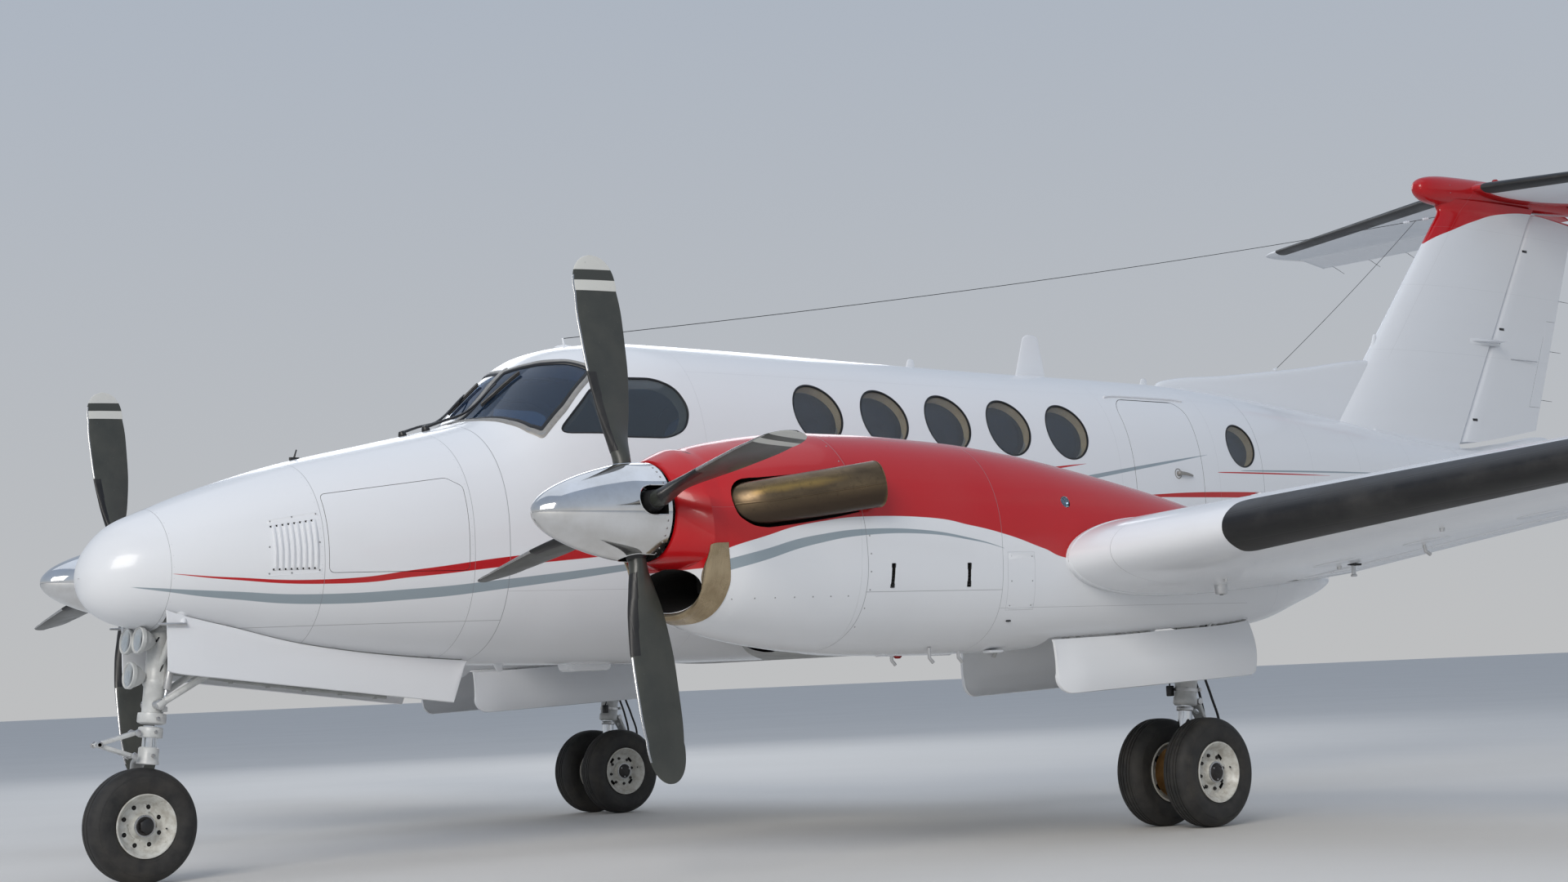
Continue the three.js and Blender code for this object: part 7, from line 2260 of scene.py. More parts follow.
# lugs for the links
g.join(bar((NX, MS + .03, .65), (NX, MS + .105, .636), .060, .034, (1, 0, 0), .008, 0),
       bar((NX, MS + .01, AXLE_Z + .055), (NX, MS + .045, AXLE_Z + .022), .056, .036, (1, 0, 0), .008, 0))
for c in ((MS + .10, .640), (MS + .19, .480), (MS + .040, AXLE_Z + .022)):
    g.join(rod((NX - .046, c[0], c[1]), (NX + .046, c[0], c[1]), .0135, .0135, 20, 2),
           rod((NX - .052, c[0], c[1]), (NX - .044, c[0], c[1]), .019, .019, 6, 6), rod((NX + .044, c[0], c[1]), (NX + .052, c[0], c[1]), .019, .019, 6, 6))
up = link((NX, MS + .10, .640), (NX, MS + .19, .480), .086, .052, .020, [(0, .30, .017), (0, .66, .012)])
dn = link((NX, MS + .040, AXLE_Z + .022), (NX, MS + .19, .480), .086, .052, .020, [(0, .26, .018), (0, .58, .014)])
# folding drag brace with its knee
for q in (1, -1):
    g.join(rod((NX + q * .022, MS + .05, .76), (NX + q * .022, MS - .42, 1.12), .0125, .0125, 18, 0))
g.join(rod((NX, MS - .42, 1.12), (NX, MS - .78, 1.30), .024, .022, 24, 0), rod((NX - .042, MS - .42, 1.12), (NX + .042, MS - .42, 1.12), .022, .022, 24, 2),
       rod((NX - .042, MS + .055, .758), (NX + .042, MS + .055, .758), .020, .020, 24, 2), rod((NX - .10, MS - .78, 1.297), (NX + .10, MS - .78, 1.297), .018, .018, 20, 0),
       bar((NX, MS - .34, 1.065), (NX, MS - .50, 1.165), .030, .046, (1, 0, 0), .008, 0))
# hydraulic lines and their clips
g.join(tube(smooth_path([(NX + .03, MS + .175, 1.26), (NX + .045, MS + .185, 1.05), (NX + .035, MS + .150, .80), (NX + .038, MS + .20, .66), (NX + .050, MS + .235, .52), (NX + .052, MS + .15, .36), (NX + .050, MS + .075, .31)], 60), .0068, 12, 3),
       tube(smooth_path([(NX - .03, MS + .175, 1.26), (NX - .045, MS + .185, 1.02), (NX - .035, MS + .150, .80), (NX - .038, MS + .20, .66), (NX - .050, MS + .235, .52), (NX - .052, MS + .15, .36), (NX - .050, MS + .075, .31)], 60), .0068, 12, 3))
for z in (1.10, .84, .70):
    s = MS + .035 + (z - .62) * .1377
    g.join(revolve([(.057, -.008), (.0635, -.008), (.0635, .008), (.057, .008)], (NX, s, z), unit(np.array(top) - a), 40, 6, closed=True),
           rbox((NX, s + .066, z), (.094, .016, .018), .003, 6))
g.join(rbox((NX, MS + .075, .30), (.112, .030, .022), .004, 6))
# charging valve, jack point, squat switch
g.join(rod((NX, MS + .13, 1.305), (NX, MS + .136, 1.325), .012, .010, 14, 4), revolve([(0, -.075), (.012, -.072), (.020, -.060), (.020, -.045), (0, -.045)], (NX, MS, AXLE_Z), (0, 0, 1), 20, 6),
       rbox((NX - .048, MS - .02, .70), (.030, .034, .055), .005, 5), tube(smooth_path([(NX - .05, MS - .02, .725), (NX - .06, MS + .0, .80), (NX - .055, MS + .05, .95), (NX - .05, MS + .08, 1.1)], 26), .0042, 10, 3))
# brake callipers on the inner faces of both wheels
for q in (1, -1):
    sec = []
    for t in np.linspace(math.radians(205), math.radians(275), 16):
        sec.append([(NX + q * x, MS - r * math.cos(t), AXLE_Z - r * math.sin(t)) for x, r in ((.060, .076), (.074, .076), (.074, .127), (.0735, .1335), (.0865, .1335), (.0865, .1445), (.060, .1445))])
    g.join(outward(loft(sec, 6)))
    for deg in (222, 258):
        t = math.radians(deg)
        g.join(revolve([(0, -.004), (.019, -.004), (.019, .010), (.016, .013), (0, .013)], (NX + q * .0575, MS - .104 * math.cos(t), AXLE_Z - .104 * math.sin(t)), (-q, 0, 0), 20, 6))
        g.join(bar((NX + q * .052, MS, AXLE_Z), (NX + q * .060, MS - .10 * math.cos(t), AXLE_Z - .10 * math.sin(t)), .012, .030, (1, 0, 0), .004, 0))
leg = join_meshes("leg", g, up, dn)
both("main_gear_leg_{side}", leg, GEAR_MATS, replaces=["main_gear_leg_{side}"], angle=38)

# ------------------------------------------------------------------- wheels
W2 = .085


def tyre_geo(grooves, n=80):
    """Tyre about the x axis at the origin: bead, bulged sidewall, tread with grooves."""
    side = [(.1506, -.0600), (.1512, -.0662), (.158, -.0715), (.168, -.0762), (.180, -.0805), (.195, -.0838), (.210, -.0848), (.225, -.0840), (.2345, -.0822), (.245, -.0785),
            (.256, -.0720), (.2645, -.0650), (.2705, -.0575), (.2745, -.0500), (.2772, -.0420)]
    ribs = []
    for r, h in side:
        ribs.append((r, h))
    crown = []
    hs = sorted({round(h, 5) for c in grooves for h in (c - .0042, c - .0030, c + .0030, c + .0042)} | {-.034, 0.0, .034})
    for h in hs:
        deep = any(abs(h - c) < .0035 for c in grooves)
        r = .2795 - .0024 * (abs(h) / .042)**2
        crown.append((r - (.0045 if deep else 0), h))
    p = side + [c for c in crown if abs(c[1]) < .0415] + [(r, -h) for r, h in side[::-1]]
    p += [(.1490, .058), (.1490, -.058)]
    return revolve(p, (0, 0, 0), (1, 0, 0), n, 0, closed=True)


def side_rib(r, h, w=.0016):
    return [revolve([(r - w, q * (h - .0015)), (r - w * .3, q * (h + .0010)), (r + w * .3, q * (h + .0010)), (r + w, q * (h - .0015)), (r, q * (h - .004))], (0, 0, 0), (1, 0, 0), 96, 0, closed=True) for q in (1, -1)]


def wheel_rim(bore, bolts, hub):
    """Wheel with its dish towards +x at the origin."""
    face = [(.1497, -.050), (.1497, -.066), (.1555, -.0735), (.1545, -.0775), (.1490, -.0775), (.1440, -.0700), (.138, -.060), (.131, -.045), (.120, -.040), (.070, -.040), (.060, -.054), (bore, -.054)]
    dish = [(bore, .056), (.050, .056), (.056, .050), (.060, .030), (.066, .022), (.112, .020), (.120, .026), (.129, .048), (.137, .062), (.1440, .0700), (.1490, .0775), (.1545, .0775), (.1555, .0735), (.1497, .066), (.1497, .050)]
    return revolve(dish + face, (0, 0, 0), (1, 0, 0), 96, 0, closed=True)


def bolt(r, t, x, mat=1, size=.0085, q=1):
    c = (x, r * math.cos(t), r * math.sin(t))
    return revolve([(0, -.006 * q), (size * 1.25, -.006 * q), (size * 1.25, .0015 * q), (size, .002 * q), (size, .009 * q), (size * .75, .011 * q), (0, .011 * q)], c, (1, 0, 0), 6 if mat == 1 else 16, mat)


RIM_MATS = [MAT["rim"], MAT["grease"], MAT["dark"], MAT["brake"], MAT["steel"], MAT["rubber"]]


def main_wheel():
    """One main wheel, dish outward along +x."""
    m = raw(wheel_rim(.027, 8, True))
    for k in range(4):
        t0 = math.radians(90 * k + 45)
        o = []
        for r, ts in ((.094, np.linspace(-.20, .20, 8)), (.112, np.linspace(.17, -.17, 8))):
            o += [(r * math.cos(t0 + t), r * math.sin(t0 + t)) for t in ts]
        m = boolean(m, raw(prism(rounded(o, .003, 2), "x", -.06, .06, 2)))
    ex = Geo()
    for k in range(8):
        ex.join(bolt(.086, 2 * math.pi * (k + .25) / 8, .0215))
    # hub cap, ring and valve
    ex.join(revolve([(0, .050), (.044, .050), (.047, .054), (.047, .060), (.040, .066), (.034, .068), (.030, .0665), (.026, .068), (.012, .069), (0, .069)], (0, 0, 0), (1, 0, 0), 40, 1),
            revolve([(.047, .054), (.0545, .054), (.0545, .0585), (.047, .0595)], (0, 0, 0), (1, 0, 0), 40, 4, closed=True))
    for k in range(3):
        t = 2 * math.pi * k / 3 + .4
        ex.join(revolve([(0, .058), (.0042, .058), (.0042, .0685), (0, .0685)], (0, .036 * math.cos(t), .036 * math.sin(t)), (1, 0, 0), 10, 4))
    ex.join(rod((.045, .118, .02), (.060, .108, .018), .0045, .0038, 10, 5))
    # brake disc behind
    ex.join(revolve([(.052, -.081), (.126, -.081), (.128, -.080), (.128, -.074), (.126, -.073), (.052, -.073)], (0, 0, 0), (1, 0, 0), 72, 3, closed=True))
    for k in range(6):
        t = 2 * math.pi * k / 6
        ex.join(rbox((-.060, .064 * math.cos(t), .064 * math.sin(t)), (.034, .012, .012), .002, 4, ((1, 0, 0), (0, math.cos(t), math.sin(t)), (0, -math.sin(t), math.cos(t)))))
    return add_geo(m, ex)


def placed(me, off, flip=False):
    m = me.copy()
    m.transform(Matrix.Translation((0, S0, 0)))
    if flip:
        m.transform(Matrix.Rotation(math.pi, 4, "Z"))
    m.transform(Matrix.Translation((off[0], off[1] - S0, off[2])))
    return m


wheel = main_wheel()
axle = rod((-.215, 0, 0), (.215, 0, 0), .0268, .0268, 32, 4)
tread = raw(tyre_geo([-.030, -.012, .012, .030]).join(*side_rib(.168, .0762), *side_rib(.238, .0811)))
for nm, q in (("left", 1), ("right", -1)):
    c = (q * NX, MS, AXLE_Z)
    rims = join_meshes("rims", placed(wheel, (c[0] + .16, MS, AXLE_Z)), placed(wheel, (c[0] - .16, MS, AXLE_Z), True), axle.moved(c))
    piece(f"main_rims_{nm}", rims, RIM_MATS, f"main_wheels_{nm}", f"main_rims_{nm}", angle=36)
    for place, off in (("outer", q), ("inner", -q)):
        piece(f"main_tyre_{nm}_{place}", placed(tread, (c[0] + off * .16, MS, AXLE_Z)), [MAT["tyre"]], f"main_wheels_{nm}", f"main_tyre_{nm}_{place}", angle=36)

# ---------------------------------------------------------------- nose gear
NG_TOP, NG_LOW = np.array((0, .135, 1.32)), np.array((0, .066, .760))
NG_AX = unit(NG_TOP - NG_LOW)


def on_strut(z, x=0.0, ds=0.0):
    return np.array((x, NG_LOW[1] + (z - NG_LOW[2]) * NG_AX[1] / NG_AX[2] + ds, z))


g = strut(on_strut(1.32), on_strut(.765), [(.045, 0), (.0545, .01), (.056, .03), (.056, .10), (.062, .11), (.062, .17), (.056, .18), (.0545, .50), (.0545, .60), (.060, .615), (.060, .66), (.0535, .68),
                                           (.0525, .86), (.0525, .90), (.0685, .905), (.070, .925), (.070, .980), (.0665, .99), (.050, 1.0)])
g.join(rod((-.232, .135, 1.27), (.232, .135, 1.27), .032, .032, 30, 0), rod((-.07, .135, 1.27), (.07, .135, 1.27), .047, .047, 34, 0, .12))
for q in (1, -1):
    g.join(rod((q * .205, .135, 1.27), (q * .232, .135, 1.27), .042, .042, 28, 6))
    g.join(rod((q * .165, .135, 1.262), on_strut(1.05, q * .040), .014, .017, 18, 0))
    a, b, c = on_strut(.86, q * .075), np.array((q * .15, .72, 1.22)), np.array((q * .15, 1.10, 1.426))
    g.join(rod(a, b, .0165, .0165, 22, 0), rod(b, c, .0165, .0165, 22, 0), rod(a - (b - a) * .02, a + (b - a) * .04, .022, .019, 20, 0))
    g.join(rod(b - np.array((q * .026, 0, 0)), b + np.array((q * .026, 0, 0)), .026, .026, 24, 6))
g.join(rod(on_strut(.86, -.088), on_strut(.86, .088), .027, .027, 26, 6), rod((-.2, .72, 1.22), (.2, .72, 1.22), .0185, .0185, 24, 0))
# steering actuator and its rod beside the cylinder
g.join(rod((.062, .165, 1.13), (.062, .120, .93), .020, .020, 22, 6), rod((.062, .122, .94), (.060, .105, .845), .0095, .0095, 14, 1), rbox((.052, .110, .835), (.030, .030, .026), .005, 0),
       tube(smooth_path([(.062, .185, 1.12), (.05, .215, 1.18), (.03, .20, 1.25), (.03, .19, 1.31)], 24), .0055, 10, 3))
# wiring to the lamps
g.join(tube(smooth_path([(.055, .075, 1.165), (.045, .100, 1.19), (.02, .175, 1.22), (.015, .19, 1.31)], 24), .0042, 10, 3),
       tube(smooth_path([(-.055, .075, 1.165), (-.045, .100, 1.19), (-.02, .175, 1.22), (-.015, .19, 1.31)], 24), .0042, 10, 3),
       tube(smooth_path([(0, .045, .997), (.04, .08, 1.0), (.058, .11, 1.06), (.055, .14, 1.16)], 24), .0042, 10, 3))
lens_geo = Geo()
for x, z in ((.070, 1.165), (-.070, 1.165), (0.0, .997)):
    c = np.array((x, on_strut(z)[1] - .075, z))
    e = np.array((x, on_strut(z)[1] - .145, z + .010))
    d = unit(e - c)
    L = np.linalg.norm(e - c)
    # shell, rim and retaining ring
    g.join(revolve([(0, -.020), (.014, -.018), (.030, -.006), (.042, .010), (.052, .028), (.058, .044), (.0635, .048), (.066, .052), (.066, L - .002), (.0635, L + .001), (.0595, L + .001),
                    (.0580, L - .003), (.0560, L - .010), (.050, L - .024), (.040, L - .038), (.026, L - .048), (.010, L - .052), (0, L - .0525)], c, d, 48, 0))
    refl = revolve([(.0577, L - .0035), (.0558, L - .0095), (.0497, L - .0235), (.0395, L - .0373), (.0255, L - .0472), (.0095, L - .0512), (0, L - .0517), (0, L - .0519), (.010, L - .0515), (.026, L - .0475),
                    (.040, L - .0375), (.0502, L - .0236), (.0562, L - .0096), (.0579, L - .0034)], c, d, 48, 7)
    g.join(refl)
    g.join(revolve([(0, L - .0515), (.006, L - .0500), (.007, L - .034), (.005, L - .026), (0, L - .025)], c, d, 16, 7))
    lens_geo.join(revolve([(0, L - .0005), (.030, L - .0010), (.0590, L - .0042), (.0590, L - .0060), (.030, L - .0035), (0, L - .0030)], c, d, 44, 0))
    for k in range(6):
        t = 2 * math.pi * (k + .5) / 6
        u, w, _ = frame_of(d)
        p = c + d * (L + .0005) + (u * math.cos(t) + w * math.sin(t)) * .0622
        g.join(revolve([(0, -.003), (.0026, -.003), (.0026, .0008), (0, .0012)], p, d, 8, 6))
    g.join(bar((x, c[1] + .004, z), on_strut(z) * (1, 1, 1), .030, .016, (0, 0, 1), .004, 0))
# bottom collar bolts
for q in (1, -1):
    p = on_strut(.792)
    g.join(rod(p + np.array((q * .066, 0, 0)), p + np.array((q * .078, 0, 0)), .010, .010, 6, 2))
piece("nose_gear_leg", g, GEAR_MATS, replaces="nose_gear_leg", angle=38)
piece("lamp_glass", lens_geo, [MAT["clear"]])

g = Geo()
p0 = on_strut(.7575)
g.join(revolve([(0, 0), (.036, 0), (.036, .165), (0, .165)], p0, -NG_AX, 44, 1))
g.join(revolve([(0, 0), (.052, 0), (.058, .003), (.060, .008), (.060, .046), (.057, .051), (.040, .053), (0, .053)], on_strut(.752), -NG_AX, 44, 0),
       revolve([(0, 0), (.044, 0), (.050, .006), (.050, .062), (.054, .068), (.054, .082), (0, .082)], on_strut(.655), -NG_AX, 44, 0))
for z in (.728, .615):
    for q in (1, -1):
        p = on_strut(z)
        g.join(rod(p + np.array((q * .046, 0, 0)), p + np.array((q * .066, 0, 0)), .009, .009, 6, 2))
apex = np.array((0, -.215, .680))
ua, la = np.array((0, .010, .728)), np.array((0, -.010, .618))
g.join(rod(apex - (.040, 0, 0), apex + (.040, 0, 0), .011, .011, 18, 2), rod(apex + (.030, 0, 0), apex + (.040, 0, 0), .018, .018, 6, 6), rod(apex - (.040, 0, 0), apex - (.030, 0, 0), .018, .018, 6, 6))
for c in (ua, la):
    g.join(rod(c + (-.040, -.030, 0), c + (.040, -.030, 0), .0115, .0115, 18, 2), rod(c + (.034, -.030, 0), c + (.044, -.030, 0), .018, .018, 6, 6), rod(c + (-.044, -.030, 0), c + (-.034, -.030, 0), .018, .018, 6, 6))
up = link(ua + (0, -.030, 0), apex, .072, .046, .018, [(0, .30, .013), (0, .64, .010)])
dn = link(la + (0, -.030, 0), apex, .070, .044, .018, [(0, .32, .012)])
# crown and the single arm down the starboard side
crown = tube(smooth_path([(.032, .050, .604), (-.030, .050, .602), (-.085, .048, .598), (-.112, .044, .580), (-.119, .038, .545), (-.119, .020, .43), (-.119, .006, .32), (-.119, 0, AXLE_Z)], 44),
             np.interp(np.linspace(0, 1, 44), [0, .2, .34, .5, .85, 1], [.017, .018, .0165, .0125, .011, .011]), 22, 0, 2.3, hint=(0, 1, 0), power=2.8)
g.join(crown)
g.join(revolve([(0, -.014), (.042, -.014), (.048, -.010), (.048, .010), (.042, .014), (0, .014)], (-.119, 0, AXLE_Z), (1, 0, 0), 36, 0),
       rod((-.131, 0, AXLE_Z), (.074, 0, AXLE_Z), .0268, .0268, 32, 2), revolve([(0, 0), (.036, 0), (.036, .010), (.030, .014), (0, .014)], (.0680, 0, AXLE_Z), (1, 0, 0), 6, 5),
       rod((-.146, 0, AXLE_Z), (-.131, 0, AXLE_Z), .030, .030, 6, 2))
fork = join_meshes("fork", g, up, dn)
piece("nose_gear_fork", fork, GEAR_MATS, "nose_fork", "nose_gear_fork", angle=38)


def nose_wheel_geo():
    dish = [(.0300, .052), (.046, .052), (.052, .047), (.056, .030), (.064, .018), (.108, .014), (.118, .022), (.128, .046), (.137, .062), (.1440, .0700), (.1490, .0775), (.1545, .0775), (.1555, .0735), (.1497, .066), (.1497, .050)]
    p = dish + [(r, -h) for r, h in dish[::-1]]
    m = raw(revolve(p, (0, 0, 0), (1, 0, 0), 96, 0, closed=True))
    # two shallow kidney grooves round the hub and a ring of sunk bolts, on both faces
    for x0, x1 in ((.0095, .06), (-.06, -.0095)):
        for k in range(2):
            t0 = math.radians(180 * k + 25)
            o = []
            for r, ts in ((.0675, np.linspace(-.62, .62, 18)), (.0785, np.linspace(.60, -.60, 18))):
                o += [(r * math.cos(t0 + t), r * math.sin(t0 + t)) for t in ts]
            m = boolean(m, raw(prism(rounded(o, .004, 3), "x", x0, x1, 0)))
        for k in range(8):
            t = 2 * math.pi * (k + .5) / 8
            m = boolean(m, raw(prism(circle2(.097 * math.cos(t), .097 * math.sin(t), .0115, 24), "x", x0 - .0015 * (x0 > 0), x1 + .0015 * (x0 < 0), 2)))
    ex = Geo()
    for k in range(8):
        t = 2 * math.pi * (k + .5) / 8
        ex.join(bolt(.097, t, .0085, 1, .0062), bolt(.097, t, -.0085, 1, .0062, -1))
    ex.join(revolve([(.0300, .050), (.046, .050), (.046, .057), (.043, .0605), (.0300, .0605)], (0, 0, 0), (1, 0, 0), 40, 1, closed=True),
            revolve([(.0300, -.050), (.046, -.050), (.046, -.057), (.043, -.0605), (.0300, -.0605)], (0, 0, 0), (1, 0, 0), 40, 1, closed=True),
            revolve([(.046, .0505), (.054, .0505), (.054, .0545), (.046, .0555)], (0, 0, 0), (1, 0, 0), 40, 4, closed=True),
            rod((.040, .118, -.02), (.056, .108, -.018), .0045, .0038, 10, 5))
    return add_geo(m, ex)


nose_w = nose_wheel_geo()
piece("nose_rim", placed(nose_w, (0, 0, AXLE_Z)), RIM_MATS, "nose_wheel", "nose_rim", angle=36)
nt_ = raw(tyre_geo([-.016, .016]).join(*side_rib(.172, .0775), *side_rib(.242, .0797)))
piece("nose_tyre", placed(nt_, (0, 0, AXLE_Z)), [MAT["tyre"]], "nose_wheel", "nose_tyre", angle=36)


# --------------------------------------------------------------- gear doors
def under(rows, x):
    zb, zt, w, zm, nt, nb = rows.T
    return zm - (zm - zb) * (1 - np.clip(x / w, 0, .999)**nb)**(1 / nb)


def door_geo(rowf, xc, x0, x1, s0, s1, low0, low1, bulge, front=.085, rear=.03, slant=0.0):
    """Curved door hanging beside its well: outboard skin and inboard face in one shell."""
    ks = np.concatenate([[0], .06 * (1 - np.cos(np.linspace(.25, np.pi / 2, 9))), np.linspace(.08, .955, 26), 1 - .03 * (1 - np.sin(np.linspace(.2, np.pi / 2, 6)))])
    if slant:
        ks = np.unique(np.concatenate([ks, [1 - slant]]))
    rings = []
    for k in ks:
        s = s0 + (s1 - s0) * k
        zt = float(under(rowf([s]), np.array([x0 - .006]))[0]) - MOVE
        zl = low0 + (low1 - low0) * k
        if k < .06:
            zl += front * (1 - math.sqrt(max(0, 1 - (1 - k / .06)**2)))
        if slant and k > 1 - slant:
            zl = zt + (zl - zt) * max(.04, (1 - k) / slant)
        elif k > .97:
            zl += rear * (1 - math.sqrt(max(0, 1 - (1 - (1 - k) / .03)**2)))
        b = bulge * min(1, .3 + k / .10 * .7)
        ring = []
        u = np.linspace(0, 1, 14)
        f = np.sin(u * 2.25)
        for uu, ff in zip(u, f):
            ring.append((xc + x1 + b * ff - (.004 if uu == 0 else 0), s, zt + (zl - zt) * uu))
        ring.append((xc + (x0 + x1) / 2 + b * f[-1], s, zl - .0035))
        for uu, ff in list(zip(u, f))[::-1]:
            ring.append((xc + x0 + b * ff + .004 * (0 < uu < 1), s, zt + (zl - zt) * uu))
        rings.append(ring)
    g = outward(loft(rings, 0))
    return g


def door_detail(rowf, xc, x0, s0, s1, low0, low1, bulge, n, mat=1):
    """Pressed stiffeners across and along the inner face."""
    ex = Geo()
    for i in range(n):
        k = (i + .7) / (n + .4)
        s = s0 + (s1 - s0) * k
        zt = float(under(rowf([s]), np.array([x0 - .006]))[0]) - MOVE
        zl = low0 + (low1 - low0) * k
        pts = []
        for u in np.linspace(.10, .93, 9):
            pts.append((xc + x0 + bulge * math.sin(u * 2.25) + .002, s, zt + (zl - zt) * u))
        ex.join(tube(pts, .0075, 10, mat, 1.7, hint=(0, 1, 0)))
    for u in (.30, .86):
        pts = []
        for k in np.linspace(.08, .95, 20):
            s = s0 + (s1 - s0) * k
            zt = float(under(rowf([s]), np.array([x0 - .006]))[0]) - MOVE
            zl = low0 + (low1 - low0) * k
            pts.append((xc + x0 + bulge * min(1, .3 + k / .10 * .7) * math.sin(u * 2.25) + .002, s, zt + (zl - zt) * u))
        ex.join(tube(pts, .006, 10, mat, 1.6, hint=(0, 0, 1)))
    return ex


DOOR_MATS = [MAT["white"], MAT["well"], MAT["gear"], MAT["screw"], MAT["rubber"]]
g = door_geo(fus_rows, 0, .245, .262, .04, 1.70, 1.010, .796, .012, front=.012, slant=.05)
g.join(door_detail(fus_rows, 0, .245, .06, 1.60, 1.008, .806, .012, 7))
for s in (.35, .95, 1.5):
    zt = float(under(fus_rows([s]), np.array([.239]))[0])
    g.join(tube(smooth_path([(.249, s, zt - .05), (.228, s, zt - .01), (.226, s, zt + .05), (.230, s, zt + .10)], 14), .0065, 10, 2, 1.6, hint=(0, 1, 0)))
both("nose_gear_door_{side}", g, DOOR_MATS, replaces=["nose_gear_door_{side}"], angle=36)
g = door_geo(nac_rows, NX, .306, .326, 3.34, 4.76, .720, .770, .045)
for s in (3.55, 4.05, 4.55):
    zt = float(under(nac_rows([s]), np.array([.300]))[0])
    g.join(tube(smooth_path([(NX + .318, s, zt - .08), (NX + .285, s, zt - .03), (NX + .280, s, zt + .04), (NX + .285, s, zt + .12)], 14), .0075, 10, 2, 1.7, hint=(0, 1, 0)))
g.join(rod((NX + .335, 4.36, .90), (NX + .262, 4.66, 1.22), .009, .009, 14, 2))
inner = other_side(g)
both("main_gear_door_{side}_outer", g, DOOR_MATS, replaces=["main_gear_door_{side}_outer"], angle=36)
both("main_gear_door_{side}_inner", inner, DOOR_MATS, replaces=["main_gear_door_{side}_inner"], angle=36)


# --------------------------------------------------------------------- tail
TAIL_MATS = [MAT["tail"], MAT["dark"], MAT["black"], MAT["alu"], MAT["white"], MAT["screw"]]


def stab_numbers(x):
    k = abs(x) / STAB["half"]
    le = STAB["root"][0] + (STAB["tip"][0] - STAB["root"][0]) * k
    return le, STAB["te"] - le


def stab_ring(x, ds=0.0, kt=1.0, kc=1.6, d=0.0):
    le, c = stab_numbers(x)
    le, c = le + ds, c - ds * kc
    up = np.stack([np.full(34, x), le + CHORD[::-1] * c, STAB["z"] + thick(CHORD[::-1], STAB["t"] * kt) * c + d], 1)
    lo = np.stack([np.full(33, x), le + CHORD[1:] * c, STAB["z"] - thick(CHORD[1:], STAB["t"] * kt) * c - d], 1)
    return np.vstack([up, lo])


def stab_half(x0=0.0, d=0.0):
    rings = [stab_ring(x, d=d) for x in np.linspace(x0, 2.60, 20)]
    for a in np.linspace(0, np.pi / 2, 12)[1:]:
        x = 2.60 + .205 * math.sin(a)
        q = 1 - math.cos(a)
        rings.append(stab_ring(x, .115 * q**1.1, max(.16, math.cos(a)**.7), 1.5, d))
    return outward(loft(rings))


def bullet_geo(g=0.0):
    ss = np.concatenate([[10.500], 10.5 + .35 * (1 - np.cos(np.linspace(.12, np.pi / 2, 12))), np.linspace(10.95, 12.9, 28), [12.98, 13.02, 13.05]])
    r = pchip(np.sqrt(BULLET[:, 0] - 10.499), BULLET[:, 1:], np.sqrt(ss - 10.499))
    rows = np.column_stack([r[:, 0] - g, r[:, 1] + g, r[:, 2] + g, (r[:, 0] + r[:, 1]) / 2, np.full(len(ss), 2.2), np.full(len(ss), 2.2)])
    return outward(loft(superellipse(rows, ss, 56), 0, fan=True))


def elev_nose(x):
    le, c = stab_numbers(x)
    return float(thick((STAB["hinge"] - le) / c, STAB["t"]) * c)


ea, eb = ELEV_X[0] - MOVE, ELEV_X[1] + MOVE
room = prism([(ea, STAB["hinge"] - elev_nose(ELEV_X[0]) - MOVE), (eb, STAB["hinge"] - elev_nose(ELEV_X[1]) - MOVE), (eb, 13.2), (ea, 13.2)], "z", 4.2, 4.7, 4)
centre_room = box(-.2, .2, STAB["hinge"] - elev_nose(0) - MOVE, 13.2, 4.2, 4.7, 4)
stab = cut(raw(stab_half()), room)
stab = fuse(stab, mirror_mesh(stab))
stab = cut(stab, centre_room)
stab = fuse(stab, bullet_geo())
stab = cut(stab, rod((-.3, STAB["hinge"], STAB["z"]), (.3, STAB["hinge"], STAB["z"]), .032, .032, 30, 1, 0))
ex = Geo()
# base of the beacon on the bullet and screws round the bullet's nose cap
ex.join(revolve([(0, -.012), (.034, -.012), (.040, -.002), (.040, .004), (.030, .006), (0, .006)], (0, 11.55, 4.512), (0, 0, 1), 30, 3))
for k in range(12):
    t = 2 * math.pi * (k + .5) / 12
    r = pchip(BULLET[:, 0], BULLET[:, 1:], [10.80])[0]
    ex.join(revolve([(0, -.004), (.0038, -.004), (.0038, .0012), (.001, .0016), (0, .0008)],
                    ((r[2]) * math.cos(t), 10.80, (r[0] + r[1]) / 2 + (r[1] - r[0]) / 2 * math.sin(t)), (math.cos(t), 0, math.sin(t)), 10, 5))
stab = add_geo(stab, ex)
piece("stabilizer", stab, TAIL_MATS, replaces="stabilizer")
piece("beacon", revolve([(.0, .036), (.016, .034), (.026, .024), (.030, .008), (.030, .0), (0, .0)], (0, 11.55, 4.519), (0, 0, 1), 32, 0), [MAT["lens_red"]])
g = revolve([(0, -.02), (.018, -.02), (.021, -.006), (.016, .008), (.006, .013), (0, .014)], (0, 13.046, 4.4235), (0, 1, 0), 24, 0)
piece("tail_light", g, [MAT["clear"]])

